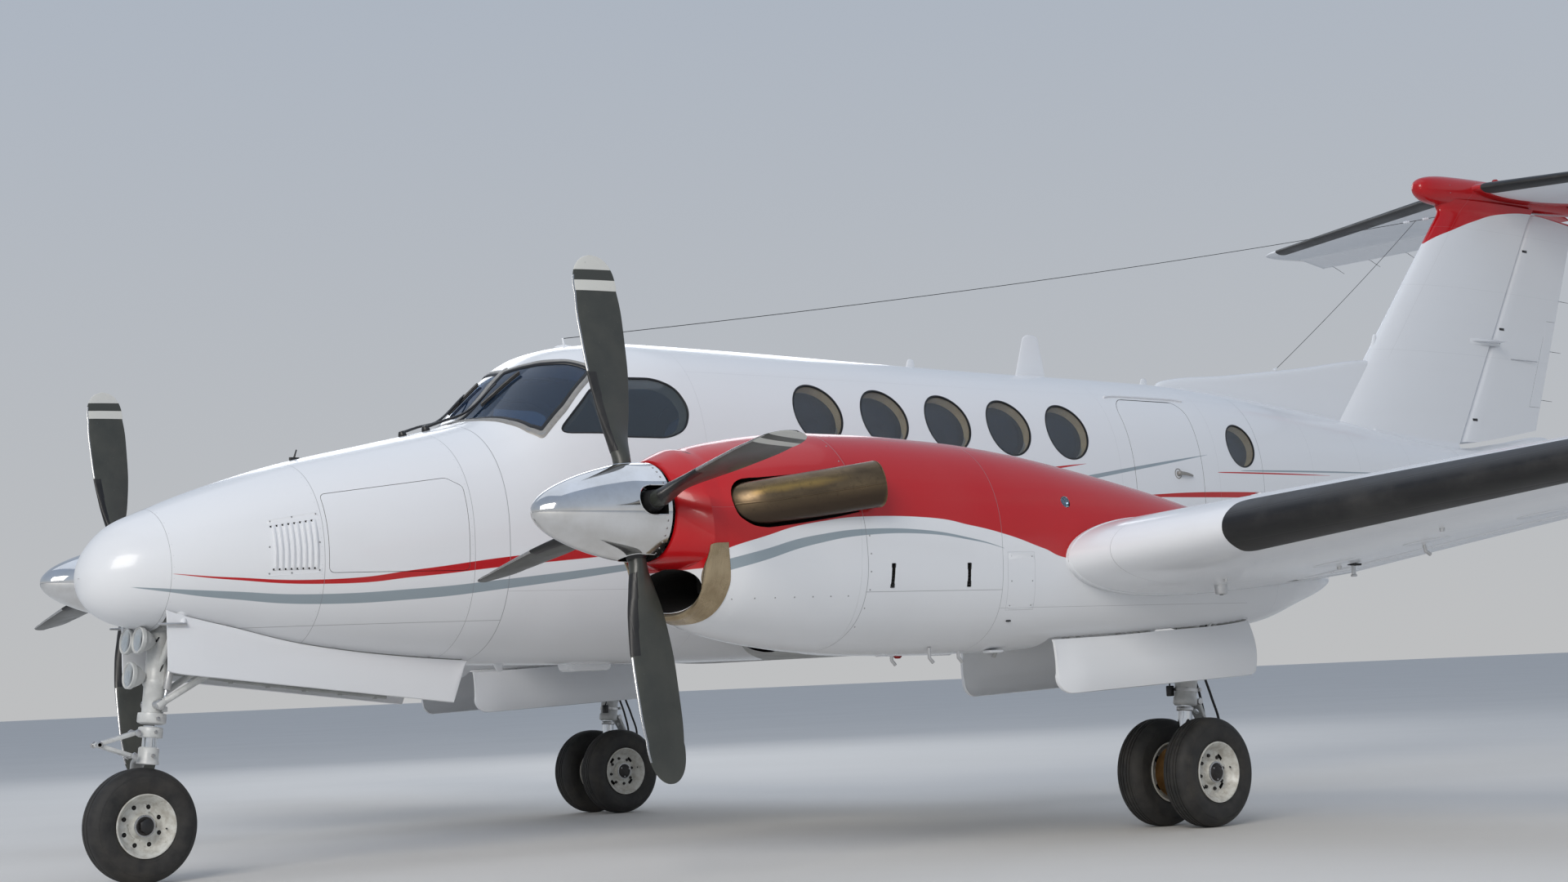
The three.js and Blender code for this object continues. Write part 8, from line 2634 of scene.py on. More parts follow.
# stabilizer boots
def stab_boot():
    rings = []
    xs = np.concatenate([.175 + .06 * (1 - np.cos(np.linspace(0, np.pi / 2, 7))), np.linspace(.26, 2.50, 16), 2.50 + .06 * np.sin(np.linspace(.3, np.pi / 2, 6))])
    for x in xs:
        k = 1.0
        if x < .235:
            k = .5 + .5 * math.sqrt(max(0, 1 - ((.235 - x) / .06)**2))
        if x > 2.50:
            k = .5 + .5 * math.sqrt(max(0, 1 - ((x - 2.50) / .061)**2))
        le, c = stab_numbers(x)
        w = .105 * k / c
        f = w * (np.linspace(1, 0, 14)**1.6)
        z = lambda f, d: thick(f, STAB["t"]) * c + d
        def side(f, q, d, ds=0.0):
            return np.stack([np.full(len(f), x), le + f * c + ds, STAB["z"] + q * z(f, d)], 1)
        a = np.vstack([side(f, 1, .0016), side(f[::-1][1:], -1, .0016)])
        a[0], a[-1] = side(f[:1], 1, .0002)[0], side(f[:1], -1, .0002)[0]
        a[12:15, 1] -= .0012
        b = np.vstack([side(f, 1, -.002, .003), side(f[::-1][1:], -1, -.002, .003)])
        b[13, 2] = STAB["z"]
        rings.append(np.vstack([a, b[::-1]]))
    return outward(loft(rings, 0))


g = stab_boot()
both("stab_boot_{side}", g, [MAT["boot_stab"]])

# elevator: two halves on one torque tube, hanging on its stop
def elev_half():
    def ring(x, inset=0.0):
        le, c = stab_numbers(x)
        h, r = (STAB["hinge"] - le) / c, elev_nose(x)
        fs = np.linspace(1, h, 9)
        up = np.stack([np.full(9, x), le + fs * c, STAB["z"] + thick(fs, STAB["t"]) * c - inset], 1)
        lo = np.stack([np.full(9, x), le + fs[::-1] * c, STAB["z"] - thick(fs[::-1], STAB["t"]) * c + inset], 1)
        a = np.linspace(0, np.pi, 16)[1:-1]
        nose = np.stack([np.full(14, x), STAB["hinge"] - (r - inset) * np.sin(a), STAB["z"] + (r - inset) * np.cos(a)], 1)
        return np.vstack([up, nose, lo])
    e = .0022
    xs = [ELEV_X[0], ELEV_X[0] + .3 * e, ELEV_X[0] + e] + list(np.linspace(.16, 2.60, 8)) + [ELEV_X[1] - e, ELEV_X[1] - .3 * e, ELEV_X[1]]
    return outward(loft([ring(x, i) for x, i in zip(xs, [e, .3 * e, 0] + [0] * 8 + [0, .3 * e, e])]))


half = cut(elev_half(), box(.42, .422, 12.585, 13.0, 4.2, 4.7, 1), box(1.30, 1.302, 12.585, 13.0, 4.2, 4.7, 1))
half = cut(half, box(.42, 1.302, 12.585, 12.587, 4.3995, 4.46, 1))
ex = Geo()
for x in (1.75, 2.15, 2.55):
    ex.join(rod((x, 12.715, STAB["z"]), (x, 12.752, STAB["z"]), .0042, .0036, 8, 3), rod((x, 12.75, STAB["z"]), (x + .006, 12.90, STAB["z"] - .012), .0022, .0014, 8, 2))
c = (.86, 12.56, STAB["z"] - .024)
ex.join(rod((.86, 12.47, STAB["z"] - .034), (.86, 12.62, STAB["z"] - .028), .0035, .0035, 8, 3), rbox((.86, 12.62, STAB["z"] - .020), (.008, .020, .022), .002, 3))
for x in np.arange(.30, 2.6, .24):
    if not .42 < x < 1.31:
        le, cc = stab_numbers(x)
        fs = np.linspace((STAB["hinge"] + .03 - le) / cc, .985, 6)
        for q in (1, -1):
            ex.join(tube(np.stack([np.full(6, x), le + fs * cc, STAB["z"] + q * (thick(fs, STAB["t"]) * cc - .0012)], 1), .0022, 8, 0, 1.5, hint=(1, 0, 0)))
half = add_geo(half, ex)
tubeg = rod((-.15, STAB["hinge"], STAB["z"]), (.15, STAB["hinge"], STAB["z"]), .024, .024, 30, 3, .05)
whole = half.copy()
other = mirror_mesh(half)
bm = bmesh.new()
bm.from_mesh(whole)
bm.from_mesh(other)
bm.from_mesh(tubeg.mesh())
hinge = Vector((0, STAB["hinge"] - S0, STAB["z"]))
bmesh.ops.rotate(bm, verts=bm.verts, cent=hinge, matrix=Matrix.Rotation(math.radians(-ELEV_DROOP), 3, "X"))
el = bpy.data.meshes.new("elevator")
bm.to_mesh(el)
bm.free()
piece("elevator", el, TAIL_MATS, "elevator_body", "elevator")


# fin and rudder
def fin_numbers(z):
    k = (z - FIN["z"][0]) / (FIN["z"][1] - FIN["z"][0])
    le = FIN["le"][0] + (FIN["le"][1] - FIN["le"][0]) * k
    te = FIN["te"][0] + (FIN["te"][1] - FIN["te"][0]) * k
    t = FIN["t"][0] + (FIN["t"][1] - FIN["t"][0]) * k
    h = FIN["hinge"][0] + (FIN["hinge"][1] - FIN["hinge"][0]) * k
    return le, te - le, t, h


def fin_x(s, z):
    le, c, t, h = fin_numbers(z)
    return float(thick(min(max((s - le) / c, 0), 1), t) * c)


def fin_ring(z, d=0.0):
    le, c, t, _ = fin_numbers(z)
    f = CHORD
    r = np.stack([thick(f[::-1], t) * c + d, le + f[::-1] * c, np.full(34, z)], 1)
    l = np.stack([-thick(f[1:], t) * c - d, le + f[1:] * c, np.full(33, z)], 1)
    return np.vstack([r, l])


fin = outward(loft([fin_ring(z) for z in np.linspace(2.36, 4.40, 24)]))
# dorsal strake: thin and rounded on top, thickening into the fin
top = pchip([7.36, 7.47, 8.15, 9.0, 9.73, 10.1], [2.690, 2.763, 2.832, 2.925, 3.018, 3.030], np.linspace(7.36, 10.1, 60))
rings = []
for s, zt in zip(np.linspace(7.36, 10.1, 60), top):
    w = float(np.interp(s, [7.36, 7.45, 7.9, 10.1], [.010, .024, .034, .036]))
    zb = 2.40
    rings.append([(w * 1.05, s, zb), (w, s, zt - .05), (w * .93, s, zt - .028), (w * .72, s, zt - .011), (w * .38, s, zt - .0025), (0, s, zt),
                  (-w * .38, s, zt - .0025), (-w * .72, s, zt - .011), (-w * .93, s, zt - .028), (-w, s, zt - .05), (-w * 1.05, s, zb)])
dorsal = outward(loft(rings))
fin = fuse(fin, dorsal)


def hinge_front(z):
    le, c, t, h = fin_numbers(z)
    return h


def half_thick(k):
    z = FIN["z"][k]
    le, c, t, h = fin_numbers(z)
    return float(thick((h - le) / c, t) * c)


za, zb = 2.2, 4.6
rroom = prism([(hinge_front(za) - half_thick(0) - .007, za), (hinge_front(zb) - half_thick(1) - .007, zb), (13.2, zb), (13.2, za)], "x", -.3, .3, 4)
fus_body = outward(loft(superellipse(fus_rows(np.linspace(7.2, 12.04, 60)), np.linspace(7.2, 12.04, 60), 96, -.0004)))
fin = cut(fin, rroom, fus_body, raw(bullet_geo(.0004)))

ex = Geo()
# concave fairing under the bullet
rings = []
for h in np.linspace(0, 1, 9):
    z = 4.185 + .135 * h
    le, c, t, hg = fin_numbers(z)
    d = .030 * h**2.2
    e = hinge_front(z) - half_thick(1) - .014
    f = CHORD[CHORD * c + le < e]
    f = np.concatenate([f, [(e - le) / c]])
    ahead = .14 * h**2.4
    r = np.stack([thick(f[::-1], t) * c + d + .0004, le + f[::-1] * c - ahead * (1 - f[::-1])**3, np.full(len(f), z)], 1)
    r[-1, 0] = 0.0
    l = r[::-1][1:].copy()
    l[:, 0] *= -1
    rings.append(np.vstack([r, l]))
fair = outward(loft(rings))
fair = cut(fair, raw(bullet_geo(.0004)))
# rounded edge strip where the strake meets the fin
a = [(0, 9.745, 3.004), (0, 9.800, 3.052), (0, 9.842, 3.125), (0, 9.872, 3.215)]
ex.join(tube(smooth_path(a, 18), np.interp(np.linspace(0, 1, 18), [0, .3, 1], [.018, .022, .010]), 16, 4, 1.3, hint=(0, 1, 0)))
# foot fillets of the fin along the fuselage
for s0, s1 in ((9.25, 10.55),):
    for q in (1, -1):
        rows = []
        for s in np.linspace(7.46, 10.66, 70):
            zt = float(fus_top(0, s))
            x = .035 if s < 9.6 else max(.035, fin_x(s, zt + .06))
            x = float(np.interp(s, [7.46, 7.6], [.008, x])) if s < 7.6 else x
            r = .045 if s > 7.6 else .015
            ring = []
            for t in np.linspace(0, np.pi / 2, 7):
                xx = x + r * (1 - math.sin(t))
                base = float(fus_top(xx, s, .0004))
                ring.append((q * xx, s, base + r * (1 - math.cos(t)) + .0002))
            ring.append((q * (x - .006), s, ring[-1][2]))
            ring.append((q * (x - .006), s, float(fus_top(x, s)) - .004))
            ring.append((q * (x + r), s, float(fus_top(x + r, s)) - .004))
            rows.append(ring)
        ex.join(outward(loft(rows, 0)))
# vertical side blades with their base plates
for q in (1, -1):
    x = fin_x(11.05, 3.215)
    ex.join(rbox((q * (x + .002), 11.10, 3.212), (.010, .40, .050), .004, 0))
    blade = [[(q * (x - .004), 10.915, 3.2105), (q * (x - .004), 11.290, 3.2105), (q * (x + .105), 11.275, 3.2115), (q * (x + .020), 10.975, 3.2115)],
            [(q * (x - .004), 10.915, 3.2145), (q * (x - .004), 11.290, 3.2145), (q * (x + .105), 11.275, 3.2130), (q * (x + .020), 10.975, 3.2130)]]
    ex.join(outward(loft(blade, 0)))
# rudder hinge brackets on the fin's rear face
for z in (2.60, 3.22, 3.33, 3.98):
    f = hinge_front(z) - half_thick(0 if z < 3.3 else 1)
    ex.join(rbox((0, f - .022, z), (.030, .040, .030), .004, 2))
fin = add_geo(fin, ex)
bm = bmesh.new()
bm.from_mesh(fin)
bm.from_mesh(fair)
fm = bpy.data.meshes.new("fin")
bm.to_mesh(fm)
bm.free()
piece("tail_fin", fm, TAIL_MATS, replaces="tail_fin")


def rudder_ring(z, inset=0.0):
    le, c, t, h = fin_numbers(z)
    f = (h - le) / c
    r = float(thick(f, t) * c)
    fs = np.linspace(1, f, 9)
    a = np.linspace(0, np.pi, 16)[1:-1]
    right_ = np.stack([thick(fs, t) * c - inset, le + fs * c, np.full(9, z)], 1)
    nose = np.stack([r * np.cos(a), h - r * np.sin(a), np.full(14, z)], 1)
    left_ = np.stack([-thick(fs[::-1], t) * c + inset, le + fs[::-1] * c, np.full(9, z)], 1)
    return np.vstack([right_, nose, left_])


rud = outward(loft([rudder_ring(z) for z in np.linspace(2.36, 4.40, 12)]))
keepo = rounded([(10.5, 2.420), (10.95, 2.428), (11.30, 2.472), (11.90, 2.560), (12.6, 2.64), (12.72, 4.262), (12.05, 4.288), (11.7, 4.29)], .012, 3)
rud = keep(rud, prism(keepo, "x", -.3, .3, 0))
# trim tab, cut out by narrow slots
def te_at(z):
    le, c, t, h = fin_numbers(z)
    return le + c
tab = prism([(te_at(2.74) - .175, 2.74), (te_at(2.74) - .173, 2.74), (te_at(3.44) - .143, 3.44), (te_at(3.44) - .145, 3.44)], "x", .0195, .10, 1)
rud = cut(rud, prism([(te_at(2.74) - .175, 2.738), (12.9, 2.738), (12.9, 2.740), (te_at(2.74) - .175, 2.740)], "x", -.3, .3, 1),
          prism([(te_at(3.44) - .145, 3.440), (12.9, 3.440), (12.9, 3.442), (te_at(3.44) - .145, 3.442)], "x", -.3, .3, 1), tab, tab.mirrored())
ex = Geo()
for z in (2.80, 3.20, 3.62, 4.10):
    le, c, t, h = fin_numbers(z)
    ex.join(rod((0, le + c - .012, z), (0, le + c + .022, z), .0042, .0036, 8, 3), rod((0, le + c + .02, z), (0, le + c + .150, z - .006), .0022, .0014, 8, 2))
for z in (3.10,):
    le, c, t, h = fin_numbers(z)
    x = float(thick(.80, t) * c)
    ex.join(rod((x + .014, le + .74 * c, z), (x - .004, le + .905 * c, z), .0035, .0035, 8, 3))
for z in (2.60, 3.22, 3.33, 3.98):
    le, c, t, h = fin_numbers(z)
    for q in (1, -1):
        ex.join(rbox((q * (float(thick((h - le) / c, t) * c) - .002), h + .012, z), (.008, .060, .020), .003, 2))
rud = add_geo(rud, ex)
piece("rudder", rud, TAIL_MATS, "rudder_body", "rudder")


# ------------------------------------------------------------ seen through glass
FLOOR_MATS = [MAT["carpet"], MAT["alu"], MAT["leather"], MAT["lining"]]
g = Geo()
rows = []
for s in np.linspace(1.875, 7.605, 60):
    w = float(fus_x(s, FLOOR_Z - .02)) - .084
    rows.append([(w, s, FLOOR_Z), (w - .004, s, FLOOR_Z + .004), (-w + .004, s, FLOOR_Z + .004), (-w, s, FLOOR_Z), (-w, s, FLOOR_Z - .022), (w, s, FLOOR_Z - .022)])
g.join(outward(loft(rows, 0)))
# metal sill by the airstair door, aisle strip edges
g.join(rbox((.585, 6.71, FLOOR_Z + .005), (.050, .62, .006), .002, 1))
for x in (-.135, .135):
    g.join(rbox((x, 4.30, FLOOR_Z + .0045), (.012, 3.40, .004), .0015, 1))
piece("cabin_floor", g, FLOOR_MATS, replaces="cabin_floor")

# instrument panel with hood, displays, gauges, yokes and pedestal
PANEL_MATS = [MAT["panel"], MAT["black"], MAT["display"], MAT["alu"], MAT["leather"], MAT["white"], MAT["rubber"]]
g = Geo()
prof = np.array([(1.875, 1.20), (1.92, 1.20), (2.06, 1.86), (2.12, 2.10), (2.16, 2.128), (2.158, 2.150), (2.05, 2.172), (1.90, 2.165), (1.875, 2.10)])
n = 41
us = np.linspace(-1, 1, n)
rows = []
for u in us:
    ring = []
    for s, z in resample(prof, .09):
        w = min(.47, float(fus_x(s, min(z, 2.17))) - .090) if z > 1.25 else .47
        drop = .030 * abs(u)**3 if z > 2.08 else 0
        ring.append((u * w, s, z - drop))
    rows.append(ring)
g.join(outward(loft(rows, 0)))
hood = [(2.10, 2.118), (2.175, 2.118), (2.190, 2.132), (2.180, 2.150), (2.05, 2.185), (1.95, 2.178), (1.95, 2.150)]
rows = []
for u in us:
    ring = []
    for s, z in hood:
        w = min(.462, float(fus_x(s, min(z, 2.17))) - .094)
        ring.append((u * w, s, z - .034 * abs(u)**3 - .004 * math.cos(u * 9)))
    rows.append(ring)
g.join(outward(loft(rows, 4)))
face = lambda z: float(np.interp(z, [1.86, 2.10], [2.06, 2.12]))
nrm = unit(np.array((0, .97, -.24)))
upv = unit(np.array((0, .24, .97)))
for x, z, w, h in ((-.29, 1.985, .17, .15), (.29, 1.985, .17, .15), (0, 1.985, .20, .16), (-.115, 1.80, .10, .06), (.115, 1.80, .10, .06)):
    c = np.array((x, face(z) if z > 1.86 else 2.047, z))
    g.join(rbox(c + nrm * .004, (w + .022, .012, h + .022), .004, 1, ((1, 0, 0), nrm, upv)), rbox(c + nrm * .0095, (w, .004, h), .0015, 2, ((1, 0, 0), nrm, upv)))
    for q in (-1, 1):
        for k in range(5):
            g.join(rbox(c + nrm * .0105 + upv * (h / 2 * .8 * (k - 2) / 2) + np.array((q * (w / 2 + .006), 0, 0)), (.006, .004, .010), .001, 3, ((1, 0, 0), nrm, upv)))
for x in (-.425, -.165, .165, .425):
    for z in (1.90, 1.985, 2.062):
        w = float(fus_x(face(z), z)) - .10
        if abs(x) > w:
            continue
        c = np.array((x, face(z), z))
        g.join(revolve([(0, .001), (.028, .001), (.030, .004), (.030, .009), (.027, .010), (.026, .007), (0, .007)], c, nrm, 28, 1),
               revolve([(0, .0065), (.0255, .0065), (.0255, .0085), (0, .0085)], c, nrm, 24, 2))
for k in range(16):
    x = -.36 + .048 * k
    c = np.array((x, 2.04, 1.742 if abs(x) > .10 else 1.70))
    g.join(rod(c, c + np.array((0, .020, .004)), .0035, .0028, 8, 3), revolve([(0, 0), (.006, 0), (.006, .003), (0, .003)], c, (0, 1, 0), 8, 1))
# pedestal with levers and radios
g.join(rbox((0, 2.255, 1.405), (.205, .59, .41), .014, 0))
for k, x in enumerate((-.070, -.050, -.012, .012, .050, .070)):
    a = np.array((x, 2.06, 1.600))
    b = a + np.array((0, .035, .070))
    g.join(rod(a, b, .0035, .0035, 8, 3), rbox(b, (.017, .020, .026), .005, [1, 1, 6, 6, 6, 6][k]))
for i, s in enumerate((2.22, 2.34, 2.46)):
    for q in (-1, 1):
        g.join(rbox((q * .048, s, 1.6125), (.084, .095, .007), .002, 1), rbox((q * .048, s - .020, 1.6165), (.055, .022, .003), .001, 2))
        for k in range(2):
            g.join(revolve([(0, 0), (.008, 0), (.0075, .014), (0, .014)], (q * .048 + (k - .5) * .044, s + .026, 1.615), (0, 0, 1), 14, 3))
# control yokes and columns
for q in (-1, 1):
    x = q * .29
    g.join(rod((x, 2.05, 1.80), (x, 2.33, 1.86), .016, .016, 20, 3), revolve([(0, -.018), (.030, -.014), (.030, .014), (0, .018)], (x, 2.335, 1.861), (0, .98, .2), 22, 1))
    arc = [(x + dx, 2.338, 1.862 + dz) for dx, dz in ((-.125, .105), (-.140, .060), (-.132, .0), (-.10, -.038), (-.04, -.030), (0, -.012), (.04, -.030), (.10, -.038), (.132, .0), (.140, .060), (.125, .105))]
    g.join(tube(smooth_path(arc, 40), .0115, 12, 6, hint=(0, 1, 0)))
    for p in (-1, 1):
        g.join(tube(smooth_path([(x + p * .125, 2.338, 1.955), (x + p * .132, 2.338, 1.90), (x + p * .132, 2.338, 1.862)], 10), .0165, 14, 6, hint=(0, 1, 0)))
# rudder pedals
for x in (-.36, -.23, .23, .36):
    g.join(rbox((x, 2.03, 1.36), (.085, .012, .12), .004, 3, ((1, 0, 0), (0, .95, .3), (0, -.3, .95))), rod((x, 1.95, 1.50), (x, 2.02, 1.37), .008, .008, 10, 3))
piece("instrument_panel", g, PANEL_MATS, replaces="instrument_panel")
# sun visors with their rods, overhead panel and its switches
g = Geo()
for q in (-1, 1):
    g.join(rbox((q * .24, 2.53, 2.585), (.26, .15, .006), .0025, 1, ((1, 0, .12 * q), (0, 1, -.12), (0, .12, 1))))
    g.join(rod((q * .10, 2.50, 2.60), (q * .38, 2.50, 2.585), .004, .004, 8, 3))
g.join(rbox((0, 2.72, 2.60), (.28, .34, .05), .015, 0))
for k in range(6):
    for j in range(3):
        g.join(rod((-.10 + .04 * k, 2.64 + .06 * j, 2.577), (-.10 + .04 * k, 2.645 + .06 * j, 2.560), .0032, .0028, 8, 3))
piece("overhead_panel", g, PANEL_MATS)

# ------------------------------------------------------------------- seats
SEAT_MATS = [MAT["alu"], MAT["black"], MAT["leather"], MAT["steel"]]


def cushion(name, pts, w, seams, mat, body="airframe", dent=.006, crown=.022, welt=.0045):
    """Padded seat part: a profile in (s, z), w wide along x, puffed between its seams, with welts and sunk stitch lines."""
    pts = np.asarray(pts[0], float), float(pts[1])
    outline, x0 = pts
    o = rounded(outline, .032, 7)
    o = resample(o, .020)
    cen = o.mean(0)
    m = 26
    us = np.linspace(-1, 1, m)
    rings = []
    per = np.arange(len(o)) / len(o)
    for u in us:
        edge = 1 - abs(u)**7
        puff = crown * (1 - u**4) - .026 * (abs(u)**9)
        valley = sum(math.exp(-((u - c) / .030)**2) for c in seams)
        puff -= dent * valley
        wob = .0018 * math.sin(9 * u + x0 * 7) + .0012 * math.sin(23 * u)
        d = grow(o, puff + wob)
        # soft rumples, different all round
        rum = .0016 * np.sin(per * 2 * np.pi * 7 + u * 4 + x0) * np.cos(u * 6) + .0012 * np.sin(per * 2 * np.pi * 17 - u * 9)
        k = 1 - .10 * abs(u)**12
        d = cen + (d - cen) * (k + rum[:, None] / .18)
        rings.append(np.column_stack([np.full(len(o), x0 + u * w / 2), d[:, 0], d[:, 1]]))
    g = outward(loft(rings, 0, fan=True))
    # piping round both side seams
    for q in (-1, 1):
        i = 1 if q < 0 else m - 2
        r = rings[i]
        g.join(tube(r[::2], welt, 6, 1, hint=(1, 0, 0), close=True))
    ob = piece(name, g, [MAT["cloth"], MAT["leather"]], body, angle=60)
    return ob


def seat(i, x, s, f):
    """One seat: base frame, cushion, back, head rest, arm rests, belt."""
    P = lambda u, z: (s - f * u, FLOOR_Z + z)
    base = Geo()
    base.join(rbox((x, s, FLOOR_Z + .075), (.34, .36, .07), .012, 1), rbox((x, s - f * .0, FLOOR_Z + .165), (.37, .40, .10), .02, 2))
    for dx in (-.17, .17):
        base.join(rbox((x + dx, s, FLOOR_Z + .030), (.030, .42, .030), .006, 0))
        for ds in (-.17, .17):
            base.join(rod((x + dx, s + ds, FLOOR_Z + .015), (x + dx, s + ds, FLOOR_Z + .075), .014, .014, 14, 3))
    # back shell, arms
    pts = [P(.215, .24), P(.30, .44), P(.425, .93), P(.41, .955), P(.395, .93), P(.275, .44), P(.19, .24)]
    base.join(prism(pts, "x", x - .165, x + .165, 2))
    if abs(x) > .3 and s > 3:
        for dx in (-.212, .212):
            if abs(x + dx) > .5:
                continue
            base.join(rbox((x + dx, s - f * .03, FLOOR_Z + .56), (.045, .30, .040), .014, 2), rbox((x + dx, s - f * .12, FLOOR_Z + .45), (.028, .05, .20), .008, 2))
    # belt across the cushion
    base.join(tube(smooth_path([(x - .19, s - f * .10, FLOOR_Z + .36), (x - .12, s - f * .02, FLOOR_Z + .452), (x, s + f * .01, FLOOR_Z + .462), (x + .12, s - f * .02, FLOOR_Z + .452), (x + .19, s - f * .10, FLOOR_Z + .36)], 24), .0016, 8, 1, 14, hint=(0, 1, 0)),
              rbox((x + .02, s + f * .012, FLOOR_Z + .466), (.05, .045, .010), .003, 3))
    piece(f"seat_frame_{i}", base, SEAT_MATS, replaces="seats" if i == 0 else ())
    cushion(f"seat_cushion_{i}", ([P(-.235, .245), P(-.225, .375), P(-.15, .405), P(.155, .405), P(.175, .31), P(.175, .245)], x), .385, (-.42, .42), 0, crown=.020)
    cushion(f"seat_back_{i}", ([P(.180, .40), P(.255, .42), P(.365, .83), P(.315, .86), P(.262, .78), P(.195, .60), P(.165, .44)], x), .375, (-.40, .40), 0, crown=.014)
    cushion(f"seat_head_{i}", ([P(.325, .875), P(.390, .875), P(.415, .985), P(.345, .995), P(.305, .94)], x), .265, (), 0, crown=.010)


for i, (x, s, f) in enumerate(SEATS):
    seat(i, x, s, f)
g = Geo()
for x in (-.47, -.21, .21, .47):
    g.join(rbox((x, 4.23, FLOOR_Z + .0075), (.032, 3.54, .009), .003, 0))
    for s in np.arange(2.56, 5.96, .10):
        g.join(rbox((x, s, FLOOR_Z + .0125), (.014, .05, .002), .0005, 1))
piece("seat_rails", g, [MAT["alu"], MAT["black"]])

# ------------------------------------------------------- aerials and small parts
g = Geo()
for s, z0, h, c0, c1, t in ((5.17, 2.70, .105, .10, .05, .016), (6.22, 2.69, .325, .30, .13, .022), (7.30, 2.68, .095, .10, .05, .016)):
    rings = []
    for k in np.concatenate([np.linspace(0, .9, 12), 1 - .1 * (1 - np.sin(np.linspace(.15, 1.5, 6)))]):
        c = c0 + (c1 - c0) * k
        if k > .9:
            c *= math.sqrt(max(.05, 1 - ((k - .9) / .1)**2 * .8))
        off = (c0 - c) * .62 if k <= .9 else (c0 - (c0 + (c1 - c0) * k)) * .62 + (c0 + (c1 - c0) * k - c) * .5
        f = (1 - np.cos(2 * np.pi * np.arange(28) / 28)) / 2
        q = np.sign(np.sin(2 * np.pi * np.arange(28) / 28))
        w = np.sqrt(np.maximum(f, 0)) * (1 - f)**.8 * 1.9 * t / 2 * (1 - .35 * k)
        rings.append(np.column_stack([q * w, s - c0 / 2 + off + f * c, np.full(28, z0 + h * k)]))
    g.join(outward(loft(rings, 0)))
    zt = float(fus_top(0, s))
    o = np.array([(.026 * math.sin(a) * (1 + c0), s + (c0 / 2 + .035) * math.cos(a)) for a in 2 * np.pi * np.arange(40) / 40])
    g.join(outward(loft([[(x, ss_, float(fus_top(x, ss_, d))) for x, ss_ in grow(o, e)] for d, e in ((-.004, 0), (.002, 0), (.0035, -.002), (.0042, -.006))], 0)))
    for a in (0.5, 1.6, 2.64, 3.64, 4.7, 5.78):
        x, ss_ = .018 * math.sin(a) * (1 + c0), s + (c0 / 2 + .022) * math.cos(a)
        g.join(revolve([(0, -.003), (.0036, -.003), (.0036, .0048), (0, .0055)], (x, ss_, float(fus_top(x, ss_))), (0, 0, 1), 10, 1))
# round navigation pucks
for s, x, r, h in ((2.565, 0, .052, .016), (2.72, 0, .040, .014)):
    zt = float(fus_top(x, s))
    g.join(revolve([(0, h), (r * .45, h * .95), (r * .80, h * .72), (r * .95, h * .40), (r, .002), (r, -.008), (0, -.008)], (x, s, zt), (0, 0, 1), 36, 0))
# belly: flat box, blade and drain mast
for s, x, l, w, h in ((2.63, 0, .145, .068, .036),):
    zb = float(fus_bottom(x, s))
    rings = []
    for d, k in ((.012, 1.0), (-.006, 1.0), (-.024, .96), (-.034, .86), (-.037, .70)):
        o = round_rect(-w * k, w * k, s - l * k, s + l * k, .028 * k, 6)
        rings.append([(a, b, zb + d) for a, b in o])
    g.join(outward(loft(rings, 0)))
for s, x, h, c in ((5.95, 0, .16, .14), (1.95, .12, .055, .07)):
    zb = float(fus_bottom(x, s))
    rings = []
    for k in np.linspace(0, 1, 10):
        cc = c * (1 - .5 * k) * (1 if k < .95 else .7)
        f = (1 - np.cos(2 * np.pi * np.arange(22) / 22)) / 2
        q = np.sign(np.sin(2 * np.pi * np.arange(22) / 22))
        rings.append(np.column_stack([x + q * np.sqrt(f) * (1 - f)**.8 * .014, s + .45 * c * k + f * cc, np.full(22, zb + .01 - h * k)]))
    g.join(outward(loft(rings, 0)))
piece("aerials", g, [MAT["white"], MAT["screw"], MAT["black"]])
piece("belly_beacon", revolve([(0, -.034), (.016, -.032), (.026, -.022), (.030, -.006), (.030, .010), (0, .010)], (0, 4.95, float(fus_bottom(0, 4.95))), (0, 0, 1), 30, 0), [MAT["lens_red"]])

# HF wire: forward mast, wire to the fin, insulators, tail to the strake
g = Geo()
zt = float(fus_top(0, 2.57))
g.join(rod((0, 2.575, zt - .01), (0, 2.560, 2.800), .0095, .0055, 16, 0), revolve([(0, -.004), (.026, -.004), (.026, .003), (.012, .008), (0, .008)], (0, 2.575, zt), (0, 0, 1), 24, 0))
A, B = np.array((0, 2.562, 2.797)), np.array((0, 10.722, 4.180))
t = np.linspace(0, 1, 44)[:, None]
p = A + (B - A) * t
p[:, 2] -= .055 * 4 * (t[:, 0] * (1 - t[:, 0]))
g.join(tube(p, .0022, 8, 1, hint=(1, 0, 0)))
for k in (.955, .985):
    c = A + (B - A) * k
    c[2] -= .055 * 4 * k * (1 - k)
    g.join(revolve([(0, -.040), (.006, -.038), (.011, -.025), (.008, -.012), (.012, 0), (.008, .012), (.011, .025), (.006, .038), (0, .040)], c, B - A, 18, 0))
c = A + (B - A) * .97
c[2] -= .055 * 4 * .97 * .03
D_ = np.array((0, 8.686, float(np.interp(8.686, [8.15, 9.0], [2.832, 2.925]))))
t = np.linspace(0, 1, 20)[:, None]
p = c + (D_ - c) * t
p[:, 2] -= .02 * 4 * (t[:, 0] * (1 - t[:, 0]))
g.join(tube(p, .0020, 8, 1, hint=(1, 0, 0)), revolve([(0, -.006), (.016, -.006), (.016, .006), (.009, .020), (.006, .034), (0, .036)], D_, unit(c - D_), 20, 0))
piece("wire_aerial", g, [MAT["white"], MAT["black"]])

# nose side: louvred vent, antenna, air sensing tubes, latches
g = Geo()


def nose_side(o, d):
    return on_side(np.asarray(o, float), d)


def nplate(o, lo, hi, mat, r=.0010):
    return outward(loft([nose_side(o, lo), nose_side(grow(o, -.0003), hi - .0004), nose_side(grow(o, -r), hi)], mat))


